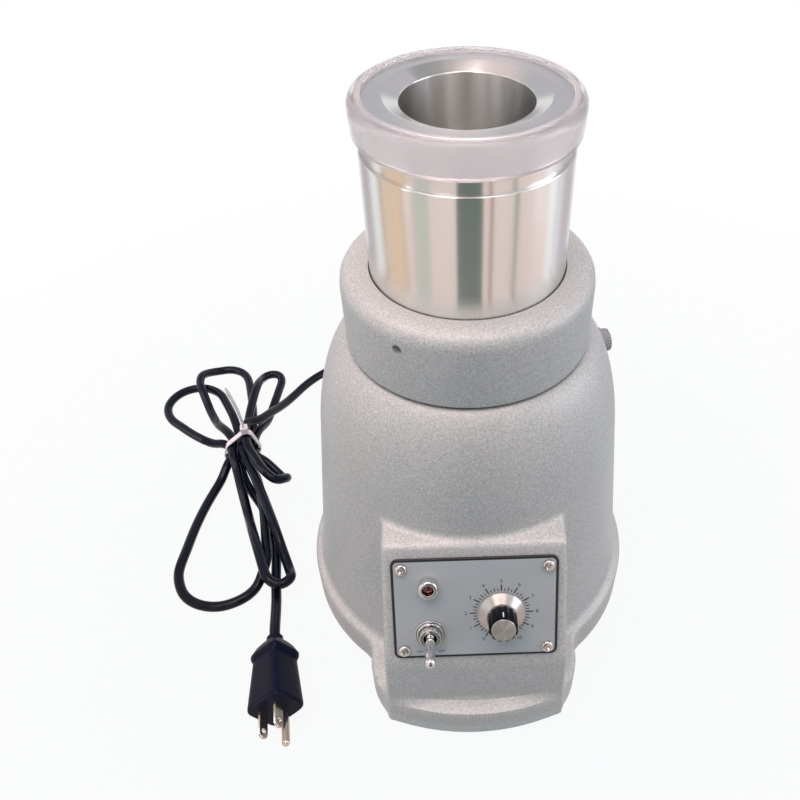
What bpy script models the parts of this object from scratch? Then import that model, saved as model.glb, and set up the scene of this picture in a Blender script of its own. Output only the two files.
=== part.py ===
"""Bench sample mill: a cast bell housing with a speed console, a clamped grinding cup and its mains cord.

Run with: blender --background --python part.py
Lengths are in metres, +Z is up, the table is z = 0 and the front of the mill faces -Y.
Everything but the panel's pieces and the plug is modelled about the mill's own upright axis.
"""
import math

import bmesh
import bpy
import numpy as np
from mathutils import Matrix, Vector

# General
GAP = 0.0003
OVERRUN = 0.003
MERGE_DISTANCE = 0.00002
LARGE_STEPS = 48
MIDDLE_STEPS = 36
MOTOR_STEPS = 16
SMALL_STEPS = 12
SCREW_STEPS = 8
FINE_STEPS = 10

# Base casting: flange, front lobe and bell
FOOT_PROUD = 0.0015
WALL = 0.0060
FLANGE_RADIUS = 0.1067
FLANGE_HEIGHT = 0.0225
FLANGE_ROUND = 0.0025
RIM_WALL = 0.0135
LOBE_HALF_WIDTH = 0.0637
LOBE_APRON = 0.0104
LOBE_CORNER = 0.0160
FLANGE_LEDGE = 0.0054
BELL_FOOT_RADIUS = FLANGE_RADIUS - FLANGE_LEDGE
BELL_TURN_RADIUS = 0.0881
BELL_TURN_HEIGHT = 0.1485
BELL_TOP_RADIUS = 0.0670
DECK_TOP = 0.2058
DECK_THICKNESS = 0.0080
DECK_HOLE_RADIUS = 0.0180
SHOULDER_LOW_SHARE = 0.37
SHOULDER_OUT_SHARE = 0.57
SHOULDER_DROP_SHARE = 0.10
SHOULDER_STEPS = 6
FLANGE_STEPS = 38
LOBE_CORNER_STEPS = 3
LOBE_FRONT_STEPS = 8
INNER_TOP_RADIUS = 0.0640
FLANGE_TOP = FOOT_PROUD + FLANGE_HEIGHT
DECK_BOTTOM = DECK_TOP - DECK_THICKNESS

# Console box on the lobe
CONSOLE_TOP = 0.1325
CONSOLE_TOP_REACH = 0.0936
CONSOLE_CREASE_HEIGHT = 0.0630
CONSOLE_LEAN = math.radians(24.0)
CONSOLE_FOOT_REACH = 0.1256
LOBE_REACH = CONSOLE_FOOT_REACH + LOBE_APRON
CONSOLE_TOP_HALF = 0.0500
CONSOLE_FOOT_HALF = 0.0525
CONSOLE_WALL = 0.0050
CONSOLE_ROUND = 0.0025
CONSOLE_BACK = 0.0600
WINDOW_HALF_WIDTH = 0.0350
WINDOW_HALF_HEIGHT = 0.0275

# Control panel, in its own frame: x along the width, y up the slope, z out of the face
PANEL_BELOW_TOP = 0.0385
PLATE_WIDTH = 0.0910
PLATE_HEIGHT = 0.0626
PLATE_CORNER = 0.0040
PLATE_THICKNESS = 0.0012
PLATE_SCREW_X = 0.0399
PLATE_SCREW_Y = 0.0258
PLATE_SCREW_HEAD = 0.0034
PLATE_SCREW_HEAD_HEIGHT = 0.0020
PLATE_SCREW_SHANK = 0.0014
PLATE_SCREW_LENGTH = 0.0075
PLATE_BACK = GAP
PLATE_FACE = PLATE_BACK + PLATE_THICKNESS

# Speed knob and potentiometer
DIAL_X = 0.0143
DIAL_Y = -0.0032
SKIRT_RADIUS = 0.0129
SKIRT_EDGE = 0.0008
SKIRT_HEIGHT = 0.0056
SKIRT_TOP_RADIUS = 0.0086
SKIRT_BORE = 0.0064
SKIRT_WALL = 0.0012
SKIRT_LIFT = 0.0008
KNOB_RADIUS = 0.0080
KNOB_HEIGHT = 0.0103
KNOB_FLUTES = 12
KNOB_FLUTE_DEPTH = 0.0005
KNOB_SPIGOT_DEPTH = 0.0018
KNOB_CAP_RADIUS = 0.0063
KNOB_CAP_HEIGHT = 0.0006
POT_SHAFT_RADIUS = 0.0032
POT_SHAFT_INSIDE = 0.0060
POT_BUSHING_RADIUS = 0.0047
POT_BUSHING_HEIGHT = 0.0026
POT_BODY_RADIUS = 0.0120
POT_BODY_DEPTH = 0.0100

# Indicator lamp
LAMP_X = -0.0255
LAMP_Y = 0.0153
BEZEL_RADIUS = 0.0055
BEZEL_BORE = 0.0032
BEZEL_HEIGHT = 0.0058
BEZEL_NECK = 0.0042
BEZEL_ROUND = 0.0010
LENS_RADIUS = BEZEL_BORE - GAP
LENS_RECESS = 0.0018
LENS_DEPTH = 0.0050
LAMP_BODY_DEPTH = 0.0180

# Toggle switch
TOGGLE_X = -0.0252
TOGGLE_Y = -0.0154
SWITCH_WIDTH = 0.0140
SWITCH_LENGTH = 0.0230
SWITCH_DEPTH = 0.0180
BARREL_RADIUS = 0.0058
BARREL_HEIGHT = 0.0056
BARREL_BORE = 0.0038
DRESS_NUT_RADIUS = 0.0087
DRESS_NUT_HEIGHT = 0.0020
DRESS_NUT_ROUND = 0.0006
LEVER_PIVOT_HEIGHT = 0.0020
LEVER_BALL = 0.0033
LEVER_NECK = 0.0015
LEVER_TIP_RADIUS = 0.0030
LEVER_LENGTH = 0.0215
LEVER_TILT = math.radians(13.0)
LEVER_POCKET = 0.0050

# The lever's tip is the mill's foremost point and the flange its rearmost: the origin lies halfway between them
LEVER_TIP_REACH = (
    CONSOLE_TOP_REACH + (PANEL_BELOW_TOP - TOGGLE_Y) * math.sin(CONSOLE_LEAN)
    + (PLATE_FACE + LEVER_PIVOT_HEIGHT) * math.cos(CONSOLE_LEAN)
    + (LEVER_LENGTH - LEVER_TIP_RADIUS) * math.cos(CONSOLE_LEAN - LEVER_TILT) + LEVER_TIP_RADIUS
)
MILL_AXIS_Y = (LEVER_TIP_REACH - FLANGE_RADIUS) / 2

# Cup clamp collar
GASKET_THICKNESS = 0.0012
GASKET_INSET = 0.0016
CUP_CLEARANCE = 0.0005
COLLAR_RADIUS = 0.0668
COLLAR_HEIGHT = 0.0432
COLLAR_ROUND = 0.0090
COLLAR_LOWER_CHAMFER = 0.0010
COLLAR_BOTTOM = DECK_TOP + GASKET_THICKNESS + 2 * GAP
COLLAR_TOP = COLLAR_BOTTOM + COLLAR_HEIGHT
SET_SCREW_DROP = 0.0130
SET_SCREW_AZIMUTH = math.radians(-32.5)
SET_SCREW_RADIUS = 0.0024
SET_SCREW_RECESS = 0.0025
COLLAR_SCREW_CIRCLE = 0.0590
COLLAR_SCREW_SHANK = 0.0025
COLLAR_SCREW_DEPTH = 0.0120

# Grinding cup and its ring
CUP_RADIUS = 0.0508
CUP_ABOVE_DECK = 0.1327
CUP_RIM_HEIGHT = 0.0238
CUP_TOP = DECK_TOP + CUP_ABOVE_DECK
CUP_SHOULDER = CUP_TOP - CUP_RIM_HEIGHT
CUP_NECK_RADIUS = 0.0497
CUP_RIM_RADIUS = 0.0499
CUP_BORE_RADIUS = 0.0308
CUP_MOUTH_RADIUS = 0.0384
CUP_MOUTH_DEPTH = 0.0034
CUP_FLOOR_RAISE = 0.0342
CUP_FLOOR_TOP = DECK_TOP + CUP_FLOOR_RAISE
CUP_FLOOR_THICKNESS = 0.0160
CUP_FLOOR_ROUND = 0.0060
CUP_RECESS_RADIUS = 0.0220
CUP_BOTTOM = DECK_TOP + GAP
CUP_BOTTOM_CHAMFER = 0.0010
RING_OUTER_RADIUS = 0.0544
RING_LOWER_RADIUS = 0.0531
RING_LIP_RADIUS = 0.0465
RING_DEPTH = 0.0164
RING_BOTTOM = CUP_TOP - RING_DEPTH
RING_LIP_THICKNESS = 0.0015
RING_ROUND = 0.0035
CUP_BORE_OVERRUN = 0.0010

# Blade and its bearing in the cup's floor
BLADE_SHAFT_RADIUS = 0.0040
BUSH_RADIUS = 0.0090
BUSH_FLANGE_RADIUS = 0.0130
BUSH_FLANGE_HEIGHT = 0.0022
SEAL_RADIUS = 0.0080
SEAL_HEIGHT = 0.0024
BLADE_REACH = 0.0275
BLADE_HUB_RADIUS = 0.0070
BLADE_ROOT_HALF = 0.0055
BLADE_TIP_HALF = 0.0040
BLADE_SWEEP = 0.0030
BLADE_THICKNESS = 0.0024
BLADE_BEND_START = 0.0130
BLADE_BEND = math.radians(18.0)
BLADE_NUT_RADIUS = 0.0062
BLADE_NUT_HEIGHT = 0.0050
BLADE_DOME_HEIGHT = 0.0030

# Drive coupling under the cup
COUPLING_RADIUS = 0.0140
COUPLING_RAISE = 0.0037
COUPLING_LOWER_HEIGHT = 0.0175
COUPLING_FACE = DECK_TOP + COUPLING_RAISE
COUPLING_LOWER_BOTTOM = COUPLING_FACE - COUPLING_LOWER_HEIGHT
COUPLING_UPPER_HEIGHT = 0.0125
TONGUE_HALF_WIDTH = 0.0027
TONGUE_HEIGHT = 0.0040
TONGUE_REACH = 0.0125
TONGUE_CLEARANCE = 0.0005
HUB_WALL_OVER_SHAFT = 0.0020

# Motor
MOTOR_SHAFT_RADIUS = 0.0060
MOTOR_TAIL_RADIUS = 0.0050
FRAME_RADIUS = 0.0600
FRAME_SHOULDER_RADIUS = 0.0500
FRAME_BORE = 0.0470
FRAME_PLATE = 0.0110
UPPER_FRAME_TOP = DECK_BOTTOM - GAP
UPPER_FRAME_SHOULDER = 0.0150
STATOR_RADIUS = 0.0500
STATOR_YOKE_INNER = 0.0460
STATOR_BORE = 0.0305
STATOR_SHOE_RADIUS = 0.0360
STATOR_SHOE_HALF = 0.0200
STATOR_WEB_HALF = 0.0120
STATOR_BELOW_DECK = 0.0558
STATOR_TOP = DECK_TOP - STATOR_BELOW_DECK
STATOR_HEIGHT = 0.0580
COIL_INSIDE_HALF = 0.0126
COIL_BREADTH = 0.0070
COIL_NEAR = 0.0365
COIL_THICKNESS = 0.0038
COIL_OVERHANG = 0.0070
MOTOR_LENGTH = 0.1438
LOWER_FRAME_BOTTOM = DECK_TOP - MOTOR_LENGTH
BEARING_RADIUS = 0.0160
BEARING_HEIGHT = 0.0095
ARMATURE_RADIUS = 0.0296
ARMATURE_WINDING_RADIUS = 0.0235
ARMATURE_OVERHANG = 0.0070
ARMATURE_SLOTS = 12
ARMATURE_SLOT_HALF = 0.0010
ARMATURE_SLOT_DEPTH = 0.0040
COMMUTATOR_RADIUS = 0.0140
COMMUTATOR_RAISE = 0.0125
COMMUTATOR_BOTTOM = LOWER_FRAME_BOTTOM + COMMUTATOR_RAISE
COMMUTATOR_HEIGHT = 0.0078
FAN_RADIUS = 0.0420
FAN_HUB_RADIUS = 0.0100
FAN_BELOW_DECK = 0.0428
FAN_BOTTOM = DECK_TOP - FAN_BELOW_DECK
FAN_PLATE = 0.0020
FAN_BLADES = 10
FAN_BLADE_HEIGHT = 0.0120
FAN_BLADE_HALF = 0.0008
HOLDER_HALF = 0.0060
HOLDER_NEAR = 0.0180
BRUSH_HALF = 0.0040
BRUSH_LENGTH = 0.0200
MOUNT_SCREW_CIRCLE = 0.0360
MOUNT_SCREW_SHANK = 0.0025
MOUNT_SCREW_HEAD = 0.0050
MOUNT_SCREW_CONE = 0.0028
VENT_CIRCLE = 0.0360
VENT_RADIUS = 0.0070

# Bottom cover, feet and circuit board
COVER_THICKNESS = 0.0015
COVER_INSET = 0.0064
COVER_SCREW_SHANK = 0.0016
COVER_SCREW_HEAD = 0.0030
COVER_SCREW_DEPTH = 0.0080
COVER_SCREW_INSET = 0.0107
COVER_SCREW_CIRCLE = FLANGE_RADIUS - COVER_SCREW_INSET
FOOT_RADIUS = 0.0080
FOOT_STEM_RADIUS = 0.0035
FOOT_BULB_RADIUS = 0.0048
FOOT_BULB_HEIGHT = 0.0030
FRONT_FOOT_X = 0.0420
FRONT_FOOT_INSET = 0.0300
FRONT_FOOT_Y = LOBE_REACH - FRONT_FOOT_INSET
REAR_FOOT_INSET = 0.0507
REAR_FOOT_X = FLANGE_RADIUS - REAR_FOOT_INSET
REAR_FOOT_Y = FLANGE_RADIUS - REAR_FOOT_INSET
BOARD_WIDTH = 0.0780
BOARD_DEPTH = 0.0500
BOARD_THICKNESS = 0.0016
BOARD_SETBACK = 0.0136
BOARD_FRONT = CONSOLE_FOOT_REACH - BOARD_SETBACK
SPACER_RADIUS = 0.0030
SPACER_HEIGHT = 0.0080
SPACER_INSET = 0.0050
CAPACITOR_RADIUS = 0.0080
CAPACITOR_LENGTH = 0.0300
HEATSINK_WIDTH = 0.0300
HEATSINK_DEPTH = 0.0120
HEATSINK_HEIGHT = 0.0200
HEATSINK_SLOTS = 4
HEATSINK_SLOT_SHARE = 0.5
HEATSINK_FLOOR = 0.0040

# Fuse holder on the rear right of the bell
FUSE_AZIMUTH = math.radians(104.0)
FUSE_BELOW_DECK = 0.0283
FUSE_HEIGHT = DECK_TOP - FUSE_BELOW_DECK
FUSE_SEAT = 0.0805
FUSE_SPOT_RADIUS = 0.0088
FUSE_FLANGE_RADIUS = 0.0082
FUSE_FLANGE_HEIGHT = 0.0022
FUSE_BODY_RADIUS = 0.0060
FUSE_BODY_LENGTH = 0.0180
FUSE_CAP_RADIUS = 0.0070
FUSE_CAP_HEIGHT = 0.0060
FUSE_CAP_ROUND = 0.0012

# Cord, its strain relief and its tie
CORD_RADIUS = 0.0035
CORD_EXIT_HEIGHT = 0.0380
RELIEF_BOSS_RADIUS = 0.0120
RELIEF_BOSS_REACH = 0.1025
RELIEF_FLANGE_RADIUS = 0.0090
RELIEF_FLANGE_THICKNESS = 0.0030
RELIEF_NECK_RADIUS = 0.0062
RELIEF_LENGTH = 0.0270
RELIEF_ROOT_RADIUS = 0.0068
RELIEF_TIP_RADIUS = 0.0050
RELIEF_INSIDE = 0.0080
CORD_EXIT_Y = RELIEF_BOSS_REACH + GAP + RELIEF_FLANGE_THICKNESS + RELIEF_LENGTH

# The tie's place and the bundle's heading there, seen from above. Places in the waist are shares of the strand pitch.
TIE_X = -0.1790
TIE_Y = 0.0950
BUNDLE_HEADING = math.radians(100.0)
STRAND_PITCH = 0.0079
WAIST_SLOT_SHARES = (0.0, -1.0, 1.0, -0.5, 0.5, 1.5, 1.0)
WAIST_HALF_LENGTH = 0.0080
WAIST_REACH_SHARE = 1.2
WAIST_STRANDS = 3
WAIST_LIFT = 0.0020
TABLE_CLEARANCE = 0.0001
STRAND_CLEARANCE = 0.0007
LAY_SLOPE = 0.45
LAY_STEP = 0.0010

# Each loop in the order in which it is laid: heading in degrees, reach, half width at its round end
LOOPS = [
    (129.0, 0.0920, 0.0220),
    (-88.0, 0.1310, 0.0280),
    (110.0, 0.1040, 0.0180),
    (-68.0, 0.1300, 0.0068),
    (86.0, 0.0910, 0.0075),
    (-47.0, 0.0420, 0.0065),
]
LOOP_POINTS = 24
LEG_SHARES = (0.3, 0.55, 0.8)
LEG_BOW_SHARE = 0.16
TIP_POINTS = 5

# Cable tie round the waist
TIE_HALF_WIDTH = 0.0024
TIE_THICKNESS = 0.0012
TIE_CLEARANCE = 0.0007
TIE_CORNER_STEPS = 4
TIE_HEAD_WIDTH = 0.0056
TIE_HEAD_HEIGHT = 0.0060
TIE_TAIL_HEIGHT = 0.0480
TIE_TAIL_LEAN = 0.0060
TIE_TAIL_STEPS = 6

# Route of the cord from the housing to the bundle and from the bundle to the plug, in the mill's own frame
LEAD_ROUTE = [
    (0.0000, 0.1500, 0.0350),
    (-0.0020, 0.1680, 0.0250),
    (-0.0100, 0.1880, 0.0120),
    (-0.0270, 0.2060, 0.0045),
    (-0.0520, 0.2170, 0.0036),
    (-0.0820, 0.2150, 0.0036),
    (-0.1080, 0.2040, 0.0036),
    (-0.1300, 0.1870, 0.0036),
    (-0.1420, 0.1690, 0.0045),
    (-0.1510, 0.1500, 0.0085),
    (-0.1595, 0.1310, 0.0165),
    (-0.1680, 0.1150, 0.0225),
]
PLUG_ROUTE = [
    (-0.1690, 0.0640, 0.0036),
    (-0.1560, 0.0450, 0.0036),
    (-0.1450, 0.0240, 0.0036),
    (-0.1385, 0.0010, 0.0036),
    (-0.1360, -0.0200, 0.0038),
    (-0.1325, -0.0420, 0.0055),
]
CORD_POINT_STEP = 0.0140

# Plug, moulded, with three pins
PLUG_X = -0.1280
PLUG_Y = -0.0746
PLUG_HEADING = math.radians(-80.6)
PLUG_PITCH = math.radians(8.0)
PLUG_ROLL = math.radians(37.0)
PLUG_ENTRY_HEIGHT = 0.0118
PLUG_LENGTH = 0.0530
PLUG_COLLAR = 0.0056
PLUG_SHOULDER_HALF = 0.0120
PLUG_WAIST_HALF = 0.0100
PLUG_FRONT_HALF_WIDTH = 0.0133
PLUG_FRONT_HALF_HEIGHT = 0.0124
PLUG_SQUARENESS = 4.0
PLUG_SIDES = 16
PLUG_PLACE_SHARES = (0, 0.10, 0.16, 0.26, 0.36, 0.52, 0.96, 1)
PLUG_WIDTH_SHARES = (1, 1.15, 1, 1, 1, 1.1, 1, 0.95)
PLUG_HEIGHT_SHARES = (1, 1.15, 1, 1, 0.92, 0.95, 1, 0.95)
PLUG_SQUARE_SHARES = (0.5, 0.5, 0.75, 1, 1, 1, 1, 1)
GROUND_NOSE_SHARES = (0.7, 0.4)
PIN_SINK = 0.0060
BLADE_PIN_LENGTH = 0.0170
BLADE_PIN_HALF_WIDTH = 0.0032
BLADE_PIN_HALF_THICK = 0.0008
BLADE_PIN_SPACING = 0.0127
BLADE_PIN_RAISE = 0.0040
BLADE_PIN_HOLE = 0.0016
BLADE_PIN_HOLE_FROM_TIP = 0.0045
BLADE_PIN_NOSE = 0.0024
GROUND_PIN_RADIUS = 0.0024
GROUND_PIN_LENGTH = 0.0210
GROUND_PIN_DROP = 0.0079

# Colours, roughness and metallic value of each finish
FINISHES = {
    "hammer_paint": ((0.48, 0.47, 0.47), 0.45, 0.6),
    "stainless": ((0.62, 0.60, 0.57), 0.22, 1.0),
    "clear_silicone": ((0.72, 0.66, 0.68), 0.45, 0.0),
    "black_rubber": ((0.02, 0.02, 0.02), 0.7, 0.0),
    "zinc_screw": ((0.55, 0.54, 0.52), 0.3, 1.0),
    "hardened_steel": ((0.45, 0.45, 0.46), 0.3, 1.0),
    "bronze": ((0.45, 0.27, 0.10), 0.35, 1.0),
    "copper": ((0.55, 0.22, 0.08), 0.35, 1.0),
    "laminated_steel": ((0.25, 0.25, 0.26), 0.5, 0.9),
    "die_cast": ((0.42, 0.42, 0.43), 0.5, 0.8),
    "carbon": ((0.03, 0.03, 0.03), 0.6, 0.0),
    "black_plastic": ((0.02, 0.02, 0.025), 0.4, 0.0),
    "plate_paint": ((0.36, 0.38, 0.40), 0.4, 0.2),
    "chrome": ((0.75, 0.75, 0.76), 0.1, 1.0),
    "red_lens": ((0.25, 0.01, 0.02), 0.15, 0.0),
    "spun_aluminium": ((0.70, 0.70, 0.70), 0.3, 1.0),
    "board_green": ((0.02, 0.16, 0.06), 0.5, 0.0),
    "cord_jacket": ((0.012, 0.014, 0.022), 0.4, 0.0),
    "natural_nylon": ((0.80, 0.76, 0.76), 0.5, 0.0),
    "nickel": ((0.60, 0.56, 0.50), 0.2, 1.0),
}


def clear_scene():
    """Removes whatever objects the scene holds."""
    for item in list(bpy.data.objects):
        bpy.data.objects.remove(item, do_unlink=True)


clear_scene()
parts_collection = bpy.data.collections.new("sample_mill")
cutters_collection = bpy.data.collections.new("cutters")
bpy.context.scene.collection.children.link(parts_collection)
bpy.context.scene.collection.children.link(cutters_collection)


def add_empty(name, parent=None, location=(0, 0, 0), rotation=(0, 0, 0)):
    """An empty that carries other objects."""
    empty = bpy.data.objects.new(name, None)
    parts_collection.objects.link(empty)
    empty.parent = parent
    empty.location = location
    empty.rotation_euler = rotation
    return empty


def finish_material(name, finish):
    """The object's own Principled material."""
    colour, roughness, metallic = FINISHES[finish]
    material = bpy.data.materials.new(name + "_" + finish)
    material.use_nodes = True
    shader = material.node_tree.nodes["Principled BSDF"]
    shader.inputs["Base Color"].default_value = (*colour, 1)
    shader.inputs["Roughness"].default_value = roughness
    shader.inputs["Metallic"].default_value = metallic
    return material


def add_object(name, data, finish=None, parent=None, location=(0, 0, 0), rotation=(0, 0, 0)):
    """Links a part, or a cutter where no finish is given."""
    item = bpy.data.objects.new(name, data)
    (parts_collection if finish else cutters_collection).objects.link(item)
    item.parent = parent
    item.location = location
    item.rotation_euler = rotation
    if finish:
        data.materials.append(finish_material(name, finish))
    else:
        item.hide_render = True
        item.display_type = "WIRE"
    return item


def finish_mesh(name, bm):
    """Turns the faces outwards and makes a smooth-shaded mesh."""
    bmesh.ops.recalc_face_normals(bm, faces=bm.faces)
    mesh = bpy.data.meshes.new(name)
    bm.to_mesh(mesh)
    bm.free()
    mesh.shade_smooth()
    mesh.set_sharp_from_angle(angle=math.radians(35.0))
    return mesh


def turned(name, profile, steps, ring=False, **placing):
    """A profile of radius and height turned about Z. It runs down the outer side; a ring's profile is closed."""
    mesh = bpy.data.meshes.new(name)
    pairs = [(i, i + 1) for i in range(len(profile) - 1)]
    if ring:
        pairs.append((len(profile) - 1, 0))
    mesh.from_pydata([(radius, 0, height) for radius, height in profile], pairs, [])
    item = add_object(name, mesh, **placing)
    turn = item.modifiers.new("Turn", "SCREW")
    turn.steps = turn.render_steps = steps
    turn.use_merge_vertices = True
    turn.merge_threshold = MERGE_DISTANCE
    return item


def spin_into(bm, profile, steps, matrix=None):
    """Adds a solid turned about Z to a bmesh. Its profile starts and ends on the axis."""
    verts = [bm.verts.new((radius, 0, height)) for radius, height in profile]
    edges = [bm.edges.new(pair) for pair in zip(verts, verts[1:])]
    made = bmesh.ops.spin(
        bm, geom=verts + edges, cent=(0, 0, 0), axis=(0, 0, 1), angle=2 * math.pi, steps=steps, use_merge=True
    )
    found = set(verts)
    for element in made["geom_last"]:
        if isinstance(element, bmesh.types.BMVert):
            found.add(element)
    grown = set(found)
    while found:
        found = {e.other_vert(v) for v in found for e in v.link_edges} - grown
        grown |= found
    welded = bmesh.ops.remove_doubles(bm, verts=list(grown), dist=MERGE_DISTANCE)
    del welded
    if matrix is not None:
        bmesh.ops.transform(bm, matrix=matrix, verts=[v for v in grown if v.is_valid])


def cylinder_into(bm, radius, low, high, steps, matrix=None, top_radius=None):
    """Adds an upright cylinder or cone between two heights."""
    place = Matrix.Translation((0, 0, (low + high) / 2)) @ Matrix.Rotation(math.pi / steps, 4, "Z")
    bmesh.ops.create_cone(
        bm, cap_ends=True, segments=steps, radius1=radius, radius2=radius if top_radius is None else top_radius,
        depth=high - low, matrix=(matrix or Matrix()) @ place,
    )


def box_into(bm, low, high, matrix=None):
    """Adds a box between two corners."""
    low, high = Vector(low), Vector(high)
    size = high - low
    place = Matrix.Translation((low + high) / 2) @ Matrix.Diagonal((*size, 1))
    bmesh.ops.create_cube(bm, size=1, matrix=(matrix or Matrix()) @ place)


def prism_into(bm, outline, low, high, top_round=0, round_steps=2):
    """Adds a flat outline raised between two heights, with its top edge rounded if asked."""
    verts = [bm.verts.new((x, y, low)) for x, y in outline]
    base = bm.faces.new(verts)
    raised = bmesh.ops.extrude_face_region(bm, geom=[base])
    top_verts = [g for g in raised["geom"] if isinstance(g, bmesh.types.BMVert)]
    bmesh.ops.translate(bm, vec=(0, 0, high - low), verts=top_verts)
    if top_round:
        edges = [g for g in raised["geom"] if isinstance(g, bmesh.types.BMEdge)]
        bmesh.ops.bevel(bm, geom=edges, offset=top_round, segments=round_steps, profile=0.5, affect="EDGES")


def solid(name, build, **placing):
    """An object whose mesh is filled in by a function that takes the bmesh."""
    bm = bmesh.new()
    build(bm)
    return add_object(name, finish_mesh(name, bm), **placing)


def combine(target, other, operation="DIFFERENCE"):
    """Cuts one object with another, or joins it."""
    step = target.modifiers.new(operation.title(), "BOOLEAN")
    step.operation = operation
    step.solver = "EXACT"
    step.object = other


def around(count, radius, start=0.0):
    """Matrices for copies of a piece round the mill's axis."""
    for index in range(count):
        angle = start + 2 * math.pi * index / count
        yield Matrix.Translation((radius * math.cos(angle), radius * math.sin(angle), 0)) @ Matrix.Rotation(
            angle, 4, "Z"
        )


def arc(centre_x, centre_y, radius, first, last, steps):
    """Points on an arc, with angles in radians."""
    return [
        (centre_x + radius * math.cos(a), centre_y + radius * math.sin(a)) for a in np.linspace(first, last, steps + 1)
    ]


def headed_profile(head_radius, head_height, shank_radius, length, head_bottom):
    """Profile of a pan-head screw that points down, from its crown to its tip."""
    crown = head_bottom + head_height
    return [
        (0, crown), (head_radius * 0.6, crown), (head_radius, head_bottom + head_height / 2),
        (head_radius, head_bottom), (shank_radius, head_bottom), (shank_radius, head_bottom - length),
        (0, head_bottom - length),
    ]


def flat_head_profile(head_radius, cone, shank_radius, length, top):
    """Profile of a countersunk screw that points down."""
    return [(0, top), (head_radius, top), (shank_radius, top - cone), (shank_radius, top - length), (0, top - length)]


mill_axis = add_empty("mill_axis", location=(0, MILL_AXIS_Y, 0))


def shoulder_curve(start, end, steps):
    """A cubic from the bell's wall to its top: it leaves along the wall and arrives nearly level."""
    rise, run = end[1] - start[1], start[0] - end[0]
    draft = (BELL_FOOT_RADIUS - BELL_TURN_RADIUS) / (BELL_TURN_HEIGHT - FLANGE_TOP)
    low = SHOULDER_LOW_SHARE * rise
    first = (start[0] - draft * low, start[1] + low)
    second = (end[0] + SHOULDER_OUT_SHARE * run, end[1] - SHOULDER_DROP_SHARE * rise)
    points = []
    for t in np.linspace(0, 1, steps + 1):
        u = 1 - t
        weights = (u ** 3, 3 * u * u * t, 3 * u * t * t, t ** 3)
        corners = (start, first, second, end)
        points.append(tuple(sum(w * c[k] for w, c in zip(weights, corners)) for k in range(2)))
    return points


def bell_outside():
    """Profile of the bell, from the top centre down its outer side into the flange."""
    curve = shoulder_curve((BELL_TURN_RADIUS, BELL_TURN_HEIGHT), (BELL_TOP_RADIUS, DECK_TOP), SHOULDER_STEPS)
    sunk = FLANGE_TOP - WALL / 2
    return [(0, DECK_TOP), *reversed(curve), (BELL_FOOT_RADIUS, FLANGE_TOP), (BELL_FOOT_RADIUS, sunk), (0, sunk)]


def bell_inside():
    """Profile of the hollow: under the deck, down the wall and in over the rim's ledge."""
    curve = shoulder_curve(
        (BELL_TURN_RADIUS - WALL, BELL_TURN_HEIGHT), (INNER_TOP_RADIUS, DECK_BOTTOM), SHOULDER_STEPS // 2
    )
    ledge_radius = FLANGE_RADIUS - RIM_WALL - WALL
    ledge = FLANGE_TOP - 2 * WALL
    return [(0, DECK_BOTTOM), *reversed(curve), (BELL_FOOT_RADIUS - WALL, FLANGE_TOP), (ledge_radius, ledge), (0, ledge)]


def base_outline(inset):
    """Outline of the flange and its front lobe: a circle, straight sides, round corners and an arc about the axis."""
    radius, half, reach, corner = (size - inset for size in (FLANGE_RADIUS, LOBE_HALF_WIDTH, LOBE_REACH, LOBE_CORNER))
    centre_x = LOBE_HALF_WIDTH - LOBE_CORNER
    centre_y = -math.sqrt((LOBE_REACH - LOBE_CORNER) ** 2 - centre_x ** 2)
    meet = math.atan2(centre_y, centre_x)
    join = -math.acos(half / radius)
    circle = arc(0, 0, radius, join, math.pi - join, FLANGE_STEPS)
    left = arc(-centre_x, centre_y, corner, -math.pi, -math.pi - meet, LOBE_CORNER_STEPS)
    front = arc(0, 0, reach, -math.pi - meet, meet, LOBE_FRONT_STEPS)[1:-1]
    right = arc(centre_x, centre_y, corner, meet, 0, LOBE_CORNER_STEPS)
    return [*circle, *left, *front, *right]


def console_reach(height):
    """How far the console's front face stands forward of the axis at a height."""
    if height >= CONSOLE_CREASE_HEIGHT:
        return CONSOLE_TOP_REACH + (CONSOLE_TOP - height) * math.tan(CONSOLE_LEAN)
    crease = console_reach(CONSOLE_CREASE_HEIGHT)
    share = (CONSOLE_CREASE_HEIGHT - height) / (CONSOLE_CREASE_HEIGHT - FLANGE_TOP)
    return crease + (CONSOLE_FOOT_REACH - crease) * share


def console_half(height):
    """Half width of the console at a height: its sides have a casting draft."""
    share = (CONSOLE_TOP - height) / (CONSOLE_TOP - FLANGE_TOP)
    return CONSOLE_TOP_HALF + (CONSOLE_FOOT_HALF - CONSOLE_TOP_HALF) * share


def console_solid(name, inset, bottom, back):
    """The console's box, or the hollow that lies an inset inside it."""
    top = CONSOLE_TOP - inset
    slope_inset = inset / math.cos(CONSOLE_LEAN)
    side = [(-back, bottom), (slope_inset - console_reach(bottom), bottom),
            (slope_inset - console_reach(CONSOLE_CREASE_HEIGHT), CONSOLE_CREASE_HEIGHT),
            (slope_inset - console_reach(top), top), (-back, top)]

    def build(bm):
        verts = [bm.verts.new((0, y, z)) for y, z in side]
        raised = bmesh.ops.extrude_face_region(bm, geom=[bm.faces.new(verts)])
        far = [g for g in raised["geom"] if isinstance(g, bmesh.types.BMVert)]
        for vert in bm.verts:
            half = console_half(vert.co.z) - inset
            vert.co.x = half if vert in far else -half

    item = solid(name, build, parent=mill_axis)
    if not inset:
        edges = item.modifiers.new("Rounding", "BEVEL")
        edges.width = CONSOLE_ROUND
        edges.segments = 2
        edges.angle_limit = math.radians(12.0)
    return item


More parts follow.
